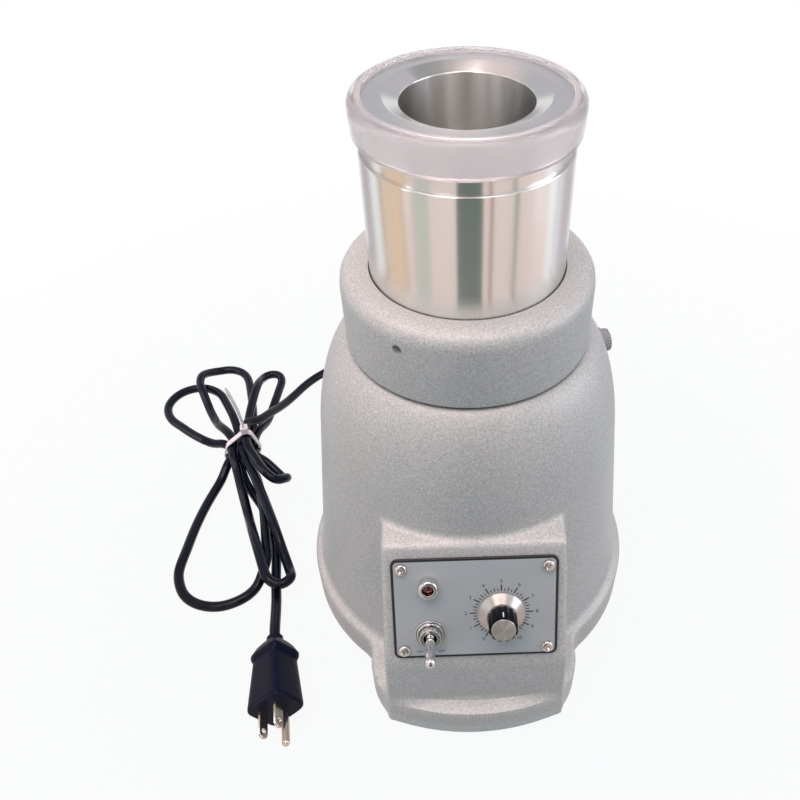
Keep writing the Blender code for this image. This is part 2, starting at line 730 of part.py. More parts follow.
panel_up = Vector((0, math.sin(CONSOLE_LEAN), math.cos(CONSOLE_LEAN)))
panel_centre = Vector((0, -CONSOLE_TOP_REACH, CONSOLE_TOP)) - PANEL_BELOW_TOP * panel_up
panel_frame = add_empty(
    "panel_frame", mill_axis, location=panel_centre, rotation=(math.pi / 2 - CONSOLE_LEAN, 0, 0)
)


def fuse_frame_matrix():
    """Turns a piece modelled along +Z to stand out of the bell at the fuse holder."""
    direction = Vector((math.sin(FUSE_AZIMUTH), -math.cos(FUSE_AZIMUTH), 0))
    return Matrix.Translation((0, 0, FUSE_HEIGHT)) @ direction.to_track_quat("Z", "Y").to_matrix().to_4x4()


def set_screw_matrix():
    """Turns a piece modelled along +Z to stand out of the collar at the set screw."""
    direction = Vector((math.sin(SET_SCREW_AZIMUTH), -math.cos(SET_SCREW_AZIMUTH), 0))
    height = COLLAR_TOP - SET_SCREW_DROP
    return Matrix.Translation((0, 0, height)) @ direction.to_track_quat("Z", "Y").to_matrix().to_4x4()


def rearward_matrix():
    """Turns a piece modelled along +Z to point backwards at the cord's exit."""
    return Matrix.Translation((0, 0, CORD_EXIT_HEIGHT)) @ Matrix.Rotation(-math.pi / 2, 4, "X")


def quarter_turns(radius):
    """Four places round the axis, between the front and the sides."""
    return around(4, radius, math.pi / 4)


FOOT_PLACES = {
    "front_left": (-FRONT_FOOT_X, -FRONT_FOOT_Y),
    "front_right": (FRONT_FOOT_X, -FRONT_FOOT_Y),
    "rear_left": (-REAR_FOOT_X, REAR_FOOT_Y),
    "rear_right": (REAR_FOOT_X, REAR_FOOT_Y),
}
PLATE_SCREW_PLACES = [(x, y) for x in (-PLATE_SCREW_X, PLATE_SCREW_X) for y in (-PLATE_SCREW_Y, PLATE_SCREW_Y)]
COVER_SCREW_ANGLES = [math.radians(a) for a in (0.0, 90.0, 180.0)]
COVER_FRONT_SCREW_Y = -LOBE_REACH + COVER_INSET + COVER_SCREW_HEAD + GAP


def cover_screw_places():
    """Three places on the rim and one at the front of the lobe."""
    rim = [(COVER_SCREW_CIRCLE * math.cos(a), COVER_SCREW_CIRCLE * math.sin(a)) for a in COVER_SCREW_ANGLES]
    return rim + [(0, COVER_FRONT_SCREW_Y)]


def make_housing():
    """Bell, flange, lobe and console in one hollow casting."""
    housing = turned("housing", bell_outside(), LARGE_STEPS, finish="hammer_paint", parent=mill_axis)
    flange = solid(
        "flange_outside",
        lambda bm: prism_into(bm, base_outline(0), FOOT_PROUD, FLANGE_TOP, FLANGE_ROUND),
        parent=mill_axis,
    )
    combine(housing, flange, "UNION")
    combine(housing, console_solid("console_outside", 0, FLANGE_TOP - WALL / 2, CONSOLE_BACK), "UNION")
    boss = solid(
        "relief_boss",
        lambda bm: cylinder_into(
            bm, RELIEF_BOSS_RADIUS, BELL_FOOT_RADIUS - 2 * WALL, RELIEF_BOSS_REACH, FINE_STEPS, rearward_matrix()
        ),
        parent=mill_axis,
    )
    combine(housing, boss, "UNION")
    hollow = turned("bell_inside", bell_inside(), MOTOR_STEPS, parent=mill_axis)
    combine(housing, hollow)

    seat = FOOT_PROUD + COVER_THICKNESS + 2 * GAP

    def base_hollow(bm):
        prism_into(bm, base_outline(RIM_WALL), FOOT_PROUD, FLANGE_TOP - WALL)

    combine(housing, solid("base_inside", base_hollow, parent=mill_axis))

    def cover_seat(bm):
        prism_into(bm, base_outline(COVER_INSET), FOOT_PROUD - OVERRUN, seat)

    combine(housing, solid("cover_seat", cover_seat, parent=mill_axis))
    console_hollow = console_solid("console_inside", CONSOLE_WALL, FLANGE_TOP - WALL - OVERRUN, CONSOLE_BACK)
    combine(housing, console_hollow)

    def holes(bm):
        cylinder_into(bm, DECK_HOLE_RADIUS, DECK_BOTTOM - OVERRUN, DECK_TOP + OVERRUN, MOTOR_STEPS)
        for place in quarter_turns(COLLAR_SCREW_CIRCLE):
            cylinder_into(bm, COLLAR_SCREW_SHANK + GAP, DECK_BOTTOM - OVERRUN, DECK_TOP + OVERRUN, SCREW_STEPS, place)
        for place in around(4, MOUNT_SCREW_CIRCLE):
            profile = flat_head_profile(
                MOUNT_SCREW_HEAD + GAP + OVERRUN, MOUNT_SCREW_CONE + OVERRUN + OVERRUN, MOUNT_SCREW_SHANK + GAP,
                DECK_THICKNESS + 2 * OVERRUN, DECK_TOP + OVERRUN,
            )
            spin_into(bm, profile, SCREW_STEPS, place)
        for x, y in cover_screw_places():
            cylinder_into(
                bm, COVER_SCREW_SHANK + GAP, FOOT_PROUD, FOOT_PROUD + COVER_SCREW_DEPTH + OVERRUN, SCREW_STEPS,
                Matrix.Translation((x, y, 0)),
            )

    combine(housing, solid("deck_holes", holes, parent=mill_axis))

    def wall_holes(bm):
        cylinder_into(
            bm, RELIEF_NECK_RADIUS + GAP, BELL_FOOT_RADIUS - 3 * WALL, RELIEF_BOSS_REACH + OVERRUN, SMALL_STEPS,
            rearward_matrix(),
        )
        turn = fuse_frame_matrix()
        cylinder_into(bm, FUSE_BODY_RADIUS + GAP, FUSE_SEAT - 3 * WALL, FUSE_SEAT + GAP, FINE_STEPS, turn)

    combine(housing, solid("wall_holes", wall_holes, parent=mill_axis))
    spot = solid(
        "fuse_spot",
        lambda bm: cylinder_into(
            bm, FUSE_SPOT_RADIUS, FUSE_SEAT, FUSE_SEAT + 2 * WALL, FINE_STEPS, fuse_frame_matrix()
        ),
        parent=mill_axis,
    )
    combine(housing, spot)

    def panel_holes(bm):
        box_into(bm, (-WINDOW_HALF_WIDTH, -WINDOW_HALF_HEIGHT, -2 * CONSOLE_WALL),
                 (WINDOW_HALF_WIDTH, WINDOW_HALF_HEIGHT, OVERRUN))
        for x, y in PLATE_SCREW_PLACES:
            cylinder_into(
                bm, PLATE_SCREW_SHANK + GAP, -2 * CONSOLE_WALL, OVERRUN, SCREW_STEPS, Matrix.Translation((x, y, 0))
            )

    combine(housing, solid("panel_holes", panel_holes, parent=panel_frame))
    return housing


def make_bottom():
    """Cover plate under the casting, its screws and the four rubber feet."""
    cover_low = FOOT_PROUD + GAP
    cover_high = cover_low + COVER_THICKNESS

    def plate(bm):
        prism_into(bm, base_outline(COVER_INSET + GAP), cover_low, cover_high)

    cover = solid("bottom_cover", plate, finish="zinc_screw", parent=mill_axis)

    def holes(bm):
        for x, y in cover_screw_places():
            profile = [(0, cover_high + OVERRUN), (COVER_SCREW_SHANK + GAP, cover_high + OVERRUN),
                       (COVER_SCREW_SHANK + GAP, cover_high - GAP), (COVER_SCREW_HEAD + GAP, cover_low),
                       (COVER_SCREW_HEAD + GAP, cover_low - OVERRUN), (0, cover_low - OVERRUN)]
            spin_into(bm, profile, SCREW_STEPS, Matrix.Translation((x, y, 0)))
        for x, y in FOOT_PLACES.values():
            cylinder_into(
                bm, FOOT_STEM_RADIUS + GAP, cover_low - OVERRUN, cover_high + OVERRUN, SCREW_STEPS,
                Matrix.Translation((x, y, 0)),
            )

    combine(cover, solid("cover_holes", holes, parent=mill_axis))

    base = cover_high + GAP
    half = BOARD_WIDTH / 2 - SPACER_INSET
    rear = BOARD_DEPTH - BOARD_FRONT - SPACER_INSET

    def standoffs(bm):
        for x in (-half, half):
            for y in (-BOARD_FRONT + SPACER_INSET, rear):
                cylinder_into(
                    bm, SPACER_RADIUS, cover_high - COVER_THICKNESS / 2, base + SPACER_HEIGHT, SCREW_STEPS,
                    Matrix.Translation((x, y, 0)),
                )

    combine(cover, solid("board_standoffs", standoffs, parent=mill_axis), "UNION")
    bulb = cover_high + GAP
    profile = [(0, bulb + FOOT_BULB_HEIGHT), (FOOT_STEM_RADIUS, bulb + FOOT_BULB_HEIGHT), (FOOT_BULB_RADIUS, bulb),
               (FOOT_STEM_RADIUS, bulb), (FOOT_STEM_RADIUS, FOOT_PROUD), (FOOT_RADIUS, FOOT_PROUD),
               (FOOT_RADIUS - GAP, 0), (0, 0)]
    for name, (x, y) in FOOT_PLACES.items():
        turned("foot_" + name, profile, FINE_STEPS, finish="black_rubber", parent=mill_axis, location=(x, y, 0))


def make_board():
    """Speed control board on four spacers over the cover, with a capacitor and a finned heat sink."""
    base = FOOT_PROUD + 2 * GAP + COVER_THICKNESS
    low = base + SPACER_HEIGHT + GAP
    high = low + BOARD_THICKNESS
    half = BOARD_WIDTH / 2
    rear = BOARD_DEPTH - BOARD_FRONT

    solid(
        "speed_board", lambda bm: box_into(bm, (-half, -BOARD_FRONT, low), (half, rear, high)),
        finish="board_green", parent=mill_axis,
    )

    centre_x = half - SPACER_INSET - CAPACITOR_RADIUS

    def capacitor(bm):
        turn = Matrix.Translation((-centre_x, 0, high + GAP + CAPACITOR_RADIUS)) @ Matrix.Rotation(math.pi / 2, 4, "X")
        middle = (BOARD_FRONT - rear) / 2
        cylinder_into(
            bm, CAPACITOR_RADIUS, middle - CAPACITOR_LENGTH / 2, middle + CAPACITOR_LENGTH / 2, FINE_STEPS, turn
        )

    solid("board_capacitor", capacitor, finish="black_plastic", parent=mill_axis)

    def heatsink(bm):
        box_into(bm, (0, rear - HEATSINK_DEPTH - SPACER_INSET, high + GAP),
                 (HEATSINK_WIDTH, rear - SPACER_INSET, high + GAP + HEATSINK_HEIGHT))

    sink = solid("board_heatsink", heatsink, finish="black_plastic", parent=mill_axis)

    def slots(bm):
        pitch = HEATSINK_WIDTH / HEATSINK_SLOTS
        for index in range(HEATSINK_SLOTS):
            start = (index + (1 - HEATSINK_SLOT_SHARE) / 2) * pitch
            box_into(bm, (start, rear - HEATSINK_DEPTH - 2 * SPACER_INSET, high + GAP + HEATSINK_FLOOR),
                     (start + HEATSINK_SLOT_SHARE * pitch, rear, high + GAP + HEATSINK_HEIGHT + OVERRUN))

    combine(sink, solid("heatsink_slots", slots, parent=mill_axis))


def make_collar():
    """Clamp collar over its gasket, held by four screws from under the deck, with a set screw in its side."""
    inner = CUP_RADIUS + CUP_CLEARANCE
    crown = arc(COLLAR_RADIUS - COLLAR_ROUND, COLLAR_TOP - COLLAR_ROUND, COLLAR_ROUND, math.pi / 2, 0, 4)
    profile = [(inner, COLLAR_TOP), *crown, (COLLAR_RADIUS, COLLAR_BOTTOM + COLLAR_LOWER_CHAMFER),
               (COLLAR_RADIUS - COLLAR_LOWER_CHAMFER, COLLAR_BOTTOM), (inner, COLLAR_BOTTOM)]
    collar = turned("collar", profile, LARGE_STEPS, ring=True, finish="hammer_paint", parent=mill_axis)

    def holes(bm):
        cylinder_into(
            bm, SET_SCREW_RADIUS + GAP, CUP_RADIUS - OVERRUN, COLLAR_RADIUS + OVERRUN, FINE_STEPS, set_screw_matrix()
        )
        for place in quarter_turns(COLLAR_SCREW_CIRCLE):
            cylinder_into(
                bm, COLLAR_SCREW_SHANK + GAP, COLLAR_BOTTOM - OVERRUN, COLLAR_BOTTOM + COLLAR_SCREW_DEPTH + GAP,
                SCREW_STEPS, place,
            )

    combine(collar, solid("collar_holes", holes, parent=mill_axis))
    low, high = DECK_TOP + GAP, DECK_TOP + GAP + GASKET_THICKNESS
    edge = COLLAR_RADIUS - GASKET_INSET
    gasket = turned(
        "collar_gasket", [(inner, high), (edge, high), (edge, low), (inner, low)], MIDDLE_STEPS, ring=True,
        finish="black_rubber", parent=mill_axis,
    )

    def gasket_holes(bm):
        for place in quarter_turns(COLLAR_SCREW_CIRCLE):
            cylinder_into(bm, COLLAR_SCREW_SHANK + GAP, low - OVERRUN, high + OVERRUN, SCREW_STEPS, place)

    combine(gasket, solid("gasket_holes", gasket_holes, parent=mill_axis))

    def set_screw(bm):
        cylinder_into(
            bm, SET_SCREW_RADIUS, CUP_RADIUS + GAP, COLLAR_RADIUS - SET_SCREW_RECESS, FINE_STEPS, set_screw_matrix()
        )

    solid("set_screw", set_screw, finish="hardened_steel", parent=mill_axis)


def make_cup():
    """Thick-walled grinding cup and the soft ring on its rim."""
    floor_low = CUP_FLOOR_TOP - CUP_FLOOR_THICKNESS
    bush_hole = BUSH_RADIUS + GAP
    cove = arc(CUP_BORE_RADIUS - CUP_FLOOR_ROUND, CUP_FLOOR_TOP + CUP_FLOOR_ROUND, CUP_FLOOR_ROUND, 0, -math.pi / 2, 3)
    profile = [
        (CUP_MOUTH_RADIUS, CUP_TOP), (CUP_RIM_RADIUS, CUP_TOP), (CUP_RIM_RADIUS, RING_BOTTOM), (CUP_NECK_RADIUS, RING_BOTTOM),
        (CUP_NECK_RADIUS, CUP_SHOULDER), (CUP_RADIUS, CUP_SHOULDER), (CUP_RADIUS, CUP_BOTTOM + CUP_BOTTOM_CHAMFER),
        (CUP_RADIUS - CUP_BOTTOM_CHAMFER, CUP_BOTTOM), (CUP_RECESS_RADIUS, CUP_BOTTOM), (CUP_RECESS_RADIUS, floor_low),
        (bush_hole, floor_low), (bush_hole, CUP_FLOOR_TOP), *reversed(cove), (CUP_BORE_RADIUS, CUP_TOP - CUP_MOUTH_DEPTH),
    ]
    turned("grinding_cup", profile, MIDDLE_STEPS, ring=True, finish="stainless", parent=mill_axis)
    inside = CUP_RIM_RADIUS + GAP
    lip_low = CUP_TOP + GAP
    lip_high = lip_low + RING_LIP_THICKNESS
    crown = arc(RING_OUTER_RADIUS - RING_ROUND, lip_high - RING_ROUND, RING_ROUND, math.pi / 2, 0, 3)
    profile = [(RING_LIP_RADIUS, lip_high), *crown, (RING_LOWER_RADIUS, RING_BOTTOM + GAP), (inside, RING_BOTTOM + GAP),
               (inside, lip_low), (RING_LIP_RADIUS, lip_low)]
    turned("sealing_ring", profile, MIDDLE_STEPS, ring=True, finish="clear_silicone", parent=mill_axis)


def make_blade():
    """Blade on its shaft in a bronze bush in the cup's floor, with a lip seal, a domed nut and the upper coupling."""
    floor_low = CUP_FLOOR_TOP - CUP_FLOOR_THICKNESS
    bore = BLADE_SHAFT_RADIUS + GAP
    flange_low = CUP_FLOOR_TOP + GAP
    flange_high = flange_low + BUSH_FLANGE_HEIGHT
    turned(
        "cup_bush",
        [(bore, flange_high), (BUSH_FLANGE_RADIUS, flange_high), (BUSH_FLANGE_RADIUS, flange_low),
         (BUSH_RADIUS, flange_low), (BUSH_RADIUS, floor_low), (bore, floor_low)],
        FINE_STEPS * 2, ring=True, finish="bronze", parent=mill_axis,
    )
    seal_low = flange_high + GAP
    seal_high = seal_low + SEAL_HEIGHT
    turned(
        "shaft_seal", [(bore, seal_high), (SEAL_RADIUS, seal_high), (SEAL_RADIUS, seal_low), (bore, seal_low)],
        SMALL_STEPS, ring=True, finish="black_rubber", parent=mill_axis,
    )
    coupling_low = COUPLING_FACE + GAP
    coupling_high = coupling_low + COUPLING_UPPER_HEIGHT
    blade_low = seal_high + GAP
    blade_high = blade_low + BLADE_THICKNESS
    nut_low = blade_high + GAP
    nut_high = nut_low + BLADE_NUT_HEIGHT
    shaft_low = coupling_low + TONGUE_HEIGHT + TONGUE_CLEARANCE + HUB_WALL_OVER_SHAFT
    solid(
        "blade_shaft",
        lambda bm: cylinder_into(bm, BLADE_SHAFT_RADIUS, shaft_low, nut_high - GAP, SMALL_STEPS),
        finish="hardened_steel", parent=mill_axis,
    )

    def blade_shape(bm):
        root = math.asin(BLADE_ROOT_HALF / BLADE_HUB_RADIUS)
        right = [(BLADE_BEND_START, -BLADE_ROOT_HALF), (BLADE_REACH - BLADE_SWEEP, -BLADE_TIP_HALF),
                 (BLADE_REACH, BLADE_TIP_HALF), (BLADE_BEND_START, BLADE_ROOT_HALF)]
        upper = arc(0, 0, BLADE_HUB_RADIUS, root, math.pi - root, 6)
        left = [(-x, -y) for x, y in right]
        lower = arc(0, 0, BLADE_HUB_RADIUS, math.pi + root, 2 * math.pi - root, 6)
        prism_into(bm, [*right, *upper, *left, *lower], blade_low, blade_high)
        for side in (1, -1):
            bmesh.ops.bisect_plane(
                bm, geom=[*bm.verts, *bm.edges, *bm.faces], dist=MERGE_DISTANCE,
                plane_co=(side * BLADE_BEND_START, 0, 0), plane_no=(1, 0, 0),
            )
        for vert in bm.verts:
            past = abs(vert.co.x) - BLADE_BEND_START
            if past > 0:
                vert.co.z += past * math.tan(BLADE_BEND)

    blade = solid("blade", blade_shape, finish="hardened_steel", parent=mill_axis)
    shaft_hole = solid(
        "blade_hole", lambda bm: cylinder_into(bm, bore, blade_low - OVERRUN, blade_high + OVERRUN, SMALL_STEPS),
        parent=mill_axis,
    )
    combine(blade, shaft_hole)

    def nut(bm):
        dome = nut_high + BLADE_DOME_HEIGHT
        cylinder_into(bm, BLADE_NUT_RADIUS, nut_low, nut_high, 6)
        middle = BLADE_NUT_RADIUS * math.cos(math.pi / 6)
        bm.faces.ensure_lookup_table()
        top = max(bm.faces, key=lambda face: face.calc_center_median().z)
        ring = bmesh.ops.inset_individual(bm, faces=[top], thickness=BLADE_NUT_RADIUS - middle)
        del ring
        raised = bmesh.ops.extrude_face_region(bm, geom=[top])
        verts = [g for g in raised["geom"] if isinstance(g, bmesh.types.BMVert)]
        bmesh.ops.translate(bm, vec=(0, 0, dome - nut_high), verts=verts)
        bmesh.ops.scale(bm, vec=(0.5, 0.5, 1), verts=verts)
        bmesh.ops.delete(bm, geom=[top], context="FACES_ONLY")

    blade_nut = solid("blade_nut", nut, finish="stainless", parent=mill_axis)
    combine(blade_nut, solid(
        "nut_bore", lambda bm: cylinder_into(bm, bore, nut_low - OVERRUN, nut_high, SMALL_STEPS), parent=mill_axis
    ))
    upper = turned(
        "coupling_upper",
        [(0, coupling_high), (COUPLING_RADIUS, coupling_high), (COUPLING_RADIUS, coupling_low), (0, coupling_low)],
        MOTOR_STEPS, finish="black_plastic", parent=mill_axis,
    )

    def upper_cuts(bm):
        slot = TONGUE_HALF_WIDTH + TONGUE_CLEARANCE
        box_into(bm, (-2 * COUPLING_RADIUS, -slot, coupling_low - OVERRUN),
                 (2 * COUPLING_RADIUS, slot, coupling_low + TONGUE_HEIGHT + TONGUE_CLEARANCE))
        cylinder_into(bm, bore, shaft_low - GAP, coupling_high + OVERRUN, SMALL_STEPS)

    combine(upper, solid("upper_coupling_cuts", upper_cuts, parent=mill_axis))


def make_rotor():
    """Motor shaft with armature, commutator, fan and the lower coupling."""
    shaft_top = COUPLING_FACE - HUB_WALL_OVER_SHAFT
    step = STATOR_TOP - STATOR_HEIGHT - ARMATURE_OVERHANG
    profile = [(0, shaft_top), (MOTOR_SHAFT_RADIUS, shaft_top), (MOTOR_SHAFT_RADIUS, step), (MOTOR_TAIL_RADIUS, step),
               (MOTOR_TAIL_RADIUS, LOWER_FRAME_BOTTOM + GAP), (0, LOWER_FRAME_BOTTOM + GAP)]
    turned("motor_shaft", profile, MOTOR_STEPS, finish="hardened_steel", parent=mill_axis)
    bore = MOTOR_SHAFT_RADIUS + GAP
    core_low, core_high = STATOR_TOP - STATOR_HEIGHT, STATOR_TOP
    low, high = core_low - ARMATURE_OVERHANG + GAP, core_high + ARMATURE_OVERHANG
    armature = turned(
        "armature",
        [(bore, high), (ARMATURE_WINDING_RADIUS, high), (ARMATURE_WINDING_RADIUS, core_high), (ARMATURE_RADIUS, core_high),
         (ARMATURE_RADIUS, core_low), (ARMATURE_WINDING_RADIUS, core_low), (ARMATURE_WINDING_RADIUS, low), (bore, low)],
        MOTOR_STEPS, ring=True, finish="laminated_steel", parent=mill_axis,
    )

    def slots(bm):
        for place in around(ARMATURE_SLOTS, ARMATURE_RADIUS):
            box_into(bm, (-ARMATURE_SLOT_DEPTH, -ARMATURE_SLOT_HALF, core_low - GAP),
                     (OVERRUN, ARMATURE_SLOT_HALF, core_high + GAP), place)

    combine(armature, solid("armature_slots", slots, parent=mill_axis))
    tail_bore = MOTOR_TAIL_RADIUS + GAP
    top = COMMUTATOR_BOTTOM + COMMUTATOR_HEIGHT
    turned(
        "commutator",
        [(tail_bore, top), (COMMUTATOR_RADIUS, top), (COMMUTATOR_RADIUS, COMMUTATOR_BOTTOM), (tail_bore, COMMUTATOR_BOTTOM)],
        MOTOR_STEPS, ring=True, finish="copper", parent=mill_axis,
    )

    def fan_shape(bm):
        disc = FAN_BOTTOM + FAN_PLATE
        for place in around(FAN_BLADES, 0):
            box_into(bm, (FAN_HUB_RADIUS + GAP, -FAN_BLADE_HALF, FAN_BOTTOM + FAN_PLATE / 2),
                     (FAN_RADIUS - GAP, FAN_BLADE_HALF, disc + FAN_BLADE_HEIGHT), place)

    fan_top = FAN_BOTTOM + FAN_PLATE + FAN_BLADE_HEIGHT
    fan = turned(
        "fan",
        [(bore, fan_top), (FAN_HUB_RADIUS + 2 * GAP, fan_top), (FAN_HUB_RADIUS + 2 * GAP, FAN_BOTTOM + FAN_PLATE),
         (FAN_RADIUS, FAN_BOTTOM + FAN_PLATE), (FAN_RADIUS, FAN_BOTTOM), (bore, FAN_BOTTOM)],
        MOTOR_STEPS, ring=True, finish="black_plastic", parent=mill_axis,
    )
    combine(fan, solid("fan_blades", fan_shape, parent=mill_axis), "UNION")
    lower = turned(
        "coupling_lower",
        [(0, COUPLING_FACE), (COUPLING_RADIUS, COUPLING_FACE), (COUPLING_RADIUS, COUPLING_LOWER_BOTTOM + GAP),
         (0, COUPLING_LOWER_BOTTOM + GAP)],
        MOTOR_STEPS, finish="hardened_steel", parent=mill_axis,
    )
    tongue = solid(
        "tongue",
        lambda bm: box_into(bm, (-TONGUE_REACH, -TONGUE_HALF_WIDTH, COUPLING_FACE - OVERRUN / 2),
                            (TONGUE_REACH, TONGUE_HALF_WIDTH, COUPLING_FACE + TONGUE_HEIGHT)),
        parent=mill_axis,
    )
    combine(lower, tongue, "UNION")
    combine(lower, solid(
        "lower_coupling_bore",
        lambda bm: cylinder_into(bm, bore, COUPLING_LOWER_BOTTOM - OVERRUN, shaft_top + GAP, MOTOR_STEPS),
        parent=mill_axis,
    ))


def make_motor_frames():
    """Upper and lower end frames with their ball bearings, the bolts between them and the screws into the deck."""
    ring = FRAME_RADIUS
    bearing_hole = BEARING_RADIUS + GAP
    top = UPPER_FRAME_TOP
    plate_low = top - FRAME_PLATE
    upper = turned(
        "upper_end_frame",
        [(COUPLING_RADIUS + 3 * GAP, top), (FRAME_SHOULDER_RADIUS, top), (ring, top - UPPER_FRAME_SHOULDER),
         (ring, STATOR_TOP + GAP), (FRAME_BORE, STATOR_TOP + GAP), (FRAME_BORE, plate_low - GAP), (bearing_hole, plate_low),
         (bearing_hole, COUPLING_LOWER_BOTTOM - 2 * GAP), (COUPLING_RADIUS + 3 * GAP, COUPLING_LOWER_BOTTOM - 2 * GAP)],
        MOTOR_STEPS, ring=True, finish="die_cast", parent=mill_axis,
    )

    def upper_cuts(bm):
        for place in around(4, MOUNT_SCREW_CIRCLE):
            cylinder_into(bm, MOUNT_SCREW_SHANK + GAP, plate_low - OVERRUN, top + OVERRUN, SCREW_STEPS, place)
        for place in quarter_turns(VENT_CIRCLE):
            cylinder_into(bm, VENT_RADIUS, plate_low - OVERRUN, top + OVERRUN, SCREW_STEPS, place)

    combine(upper, solid("upper_frame_cuts", upper_cuts, parent=mill_axis))
    stator_low = STATOR_TOP - STATOR_HEIGHT
    bottom = LOWER_FRAME_BOTTOM
    lower = turned(
        "lower_end_frame",
        [(FRAME_BORE, stator_low - GAP), (ring, stator_low - GAP), (ring, bottom), (MOTOR_TAIL_RADIUS + 3 * GAP, bottom),
         (MOTOR_TAIL_RADIUS + 3 * GAP, bottom + GAP * 4), (bearing_hole, bottom + GAP * 4),
         (bearing_hole, bottom + FRAME_PLATE), (FRAME_BORE, bottom + FRAME_PLATE)],
        MOTOR_STEPS, ring=True, finish="die_cast", parent=mill_axis,
    )

    def lower_cuts(bm):
        for place in quarter_turns(VENT_CIRCLE):
            cylinder_into(
                bm, VENT_RADIUS, bottom - OVERRUN, bottom + FRAME_PLATE + OVERRUN, SCREW_STEPS, place
            )

    combine(lower, solid("lower_frame_cuts", lower_cuts, parent=mill_axis))
    middle = COMMUTATOR_BOTTOM + COMMUTATOR_HEIGHT / 2

    def holders(bm):
        for turn in around(2, 0):
            box_into(bm, (HOLDER_NEAR, -HOLDER_HALF, middle - HOLDER_HALF),
                     (FRAME_BORE + OVERRUN, HOLDER_HALF, middle + HOLDER_HALF), turn)

    combine(lower, solid("brush_holders", holders, parent=mill_axis), "UNION")

    def holder_bores(bm):
        size = BRUSH_HALF + GAP
        for turn in around(2, 0):
            box_into(bm, (HOLDER_NEAR - OVERRUN, -size, middle - size), (FRAME_BORE - OVERRUN, size, middle + size), turn)

    combine(lower, solid("holder_bores", holder_bores, parent=mill_axis))

    for name, low, shaft in (
        ("upper_bearing", COUPLING_LOWER_BOTTOM - 3 * GAP - BEARING_HEIGHT, MOTOR_SHAFT_RADIUS),
        ("lower_bearing", bottom + 5 * GAP, MOTOR_TAIL_RADIUS),
    ):
        high = low + BEARING_HEIGHT
        turned(
            name,
            [(shaft + GAP, high), (BEARING_RADIUS, high), (BEARING_RADIUS, low), (shaft + GAP, low)],
            MOTOR_STEPS, ring=True, finish="stainless", parent=mill_axis,
        )


def make_stator():
    """Laminated stator with two wound poles, and the brushes in their holders."""
    low = STATOR_TOP - STATOR_HEIGHT
    stator = turned(
        "stator",
        [(STATOR_YOKE_INNER, STATOR_TOP), (STATOR_RADIUS, STATOR_TOP), (STATOR_RADIUS, low), (STATOR_YOKE_INNER, low)],
        MOTOR_STEPS, ring=True, finish="laminated_steel", parent=mill_axis,
    )

    def poles(bm):
        yoke = STATOR_YOKE_INNER + (STATOR_RADIUS - STATOR_YOKE_INNER) / 2
        for side in (1, -1):
            swing = math.asin(STATOR_SHOE_HALF / STATOR_SHOE_RADIUS)
            web = math.asin(STATOR_WEB_HALF / STATOR_SHOE_RADIUS)
            outer_low = arc(0, 0, STATOR_SHOE_RADIUS, -swing, -web, 2)
            outer_high = arc(0, 0, STATOR_SHOE_RADIUS, web, swing, 2)
            inner = arc(0, 0, STATOR_BORE, swing, -swing, 6)
            outline = [*outer_low, (yoke, -STATOR_WEB_HALF), (yoke, STATOR_WEB_HALF), *outer_high, *inner]
            prism_into(bm, [(side * x, side * y) for x, y in outline], low + GAP, STATOR_TOP - GAP)

    combine(stator, solid("stator_poles", poles, parent=mill_axis), "UNION")

    near, far = COIL_NEAR, COIL_NEAR + COIL_THICKNESS
    outside = COIL_INSIDE_HALF + COIL_BREADTH
    for name, turn in zip(("right", "left"), around(2, 0)):
        def coil(bm, turn=turn):
            box_into(bm, (near, -outside, low - COIL_OVERHANG), (far, outside, STATOR_TOP + COIL_OVERHANG), turn)

        def window(bm, turn=turn):
            box_into(bm, (near - OVERRUN, -COIL_INSIDE_HALF, low - GAP),
                     (far + OVERRUN, COIL_INSIDE_HALF, STATOR_TOP + GAP), turn)

        winding = solid("field_coil_" + name, coil, finish="copper", parent=mill_axis)
        combine(winding, solid("coil_window_" + name, window, parent=mill_axis))
    middle = COMMUTATOR_BOTTOM + COMMUTATOR_HEIGHT / 2

    start = COMMUTATOR_RADIUS + GAP
    for name, turn in zip(("right", "left"), around(2, 0)):
        def brush(bm, turn=turn):
            box_into(bm, (start, -BRUSH_HALF, middle - BRUSH_HALF), (start + BRUSH_LENGTH, BRUSH_HALF, middle + BRUSH_HALF), turn)

        solid("brush_" + name, brush, finish="carbon", parent=mill_axis)


def rounded_rectangle(width, height, corner, steps=3):
    """Outline of a rectangle with round corners, centred."""
    points = []
    for index, (sx, sy) in enumerate(((1, 1), (-1, 1), (-1, -1), (1, -1))):
        start = index * math.pi / 2
        points += arc(sx * (width / 2 - corner), sy * (height / 2 - corner), corner, start, start + math.pi / 2, steps)
    return points


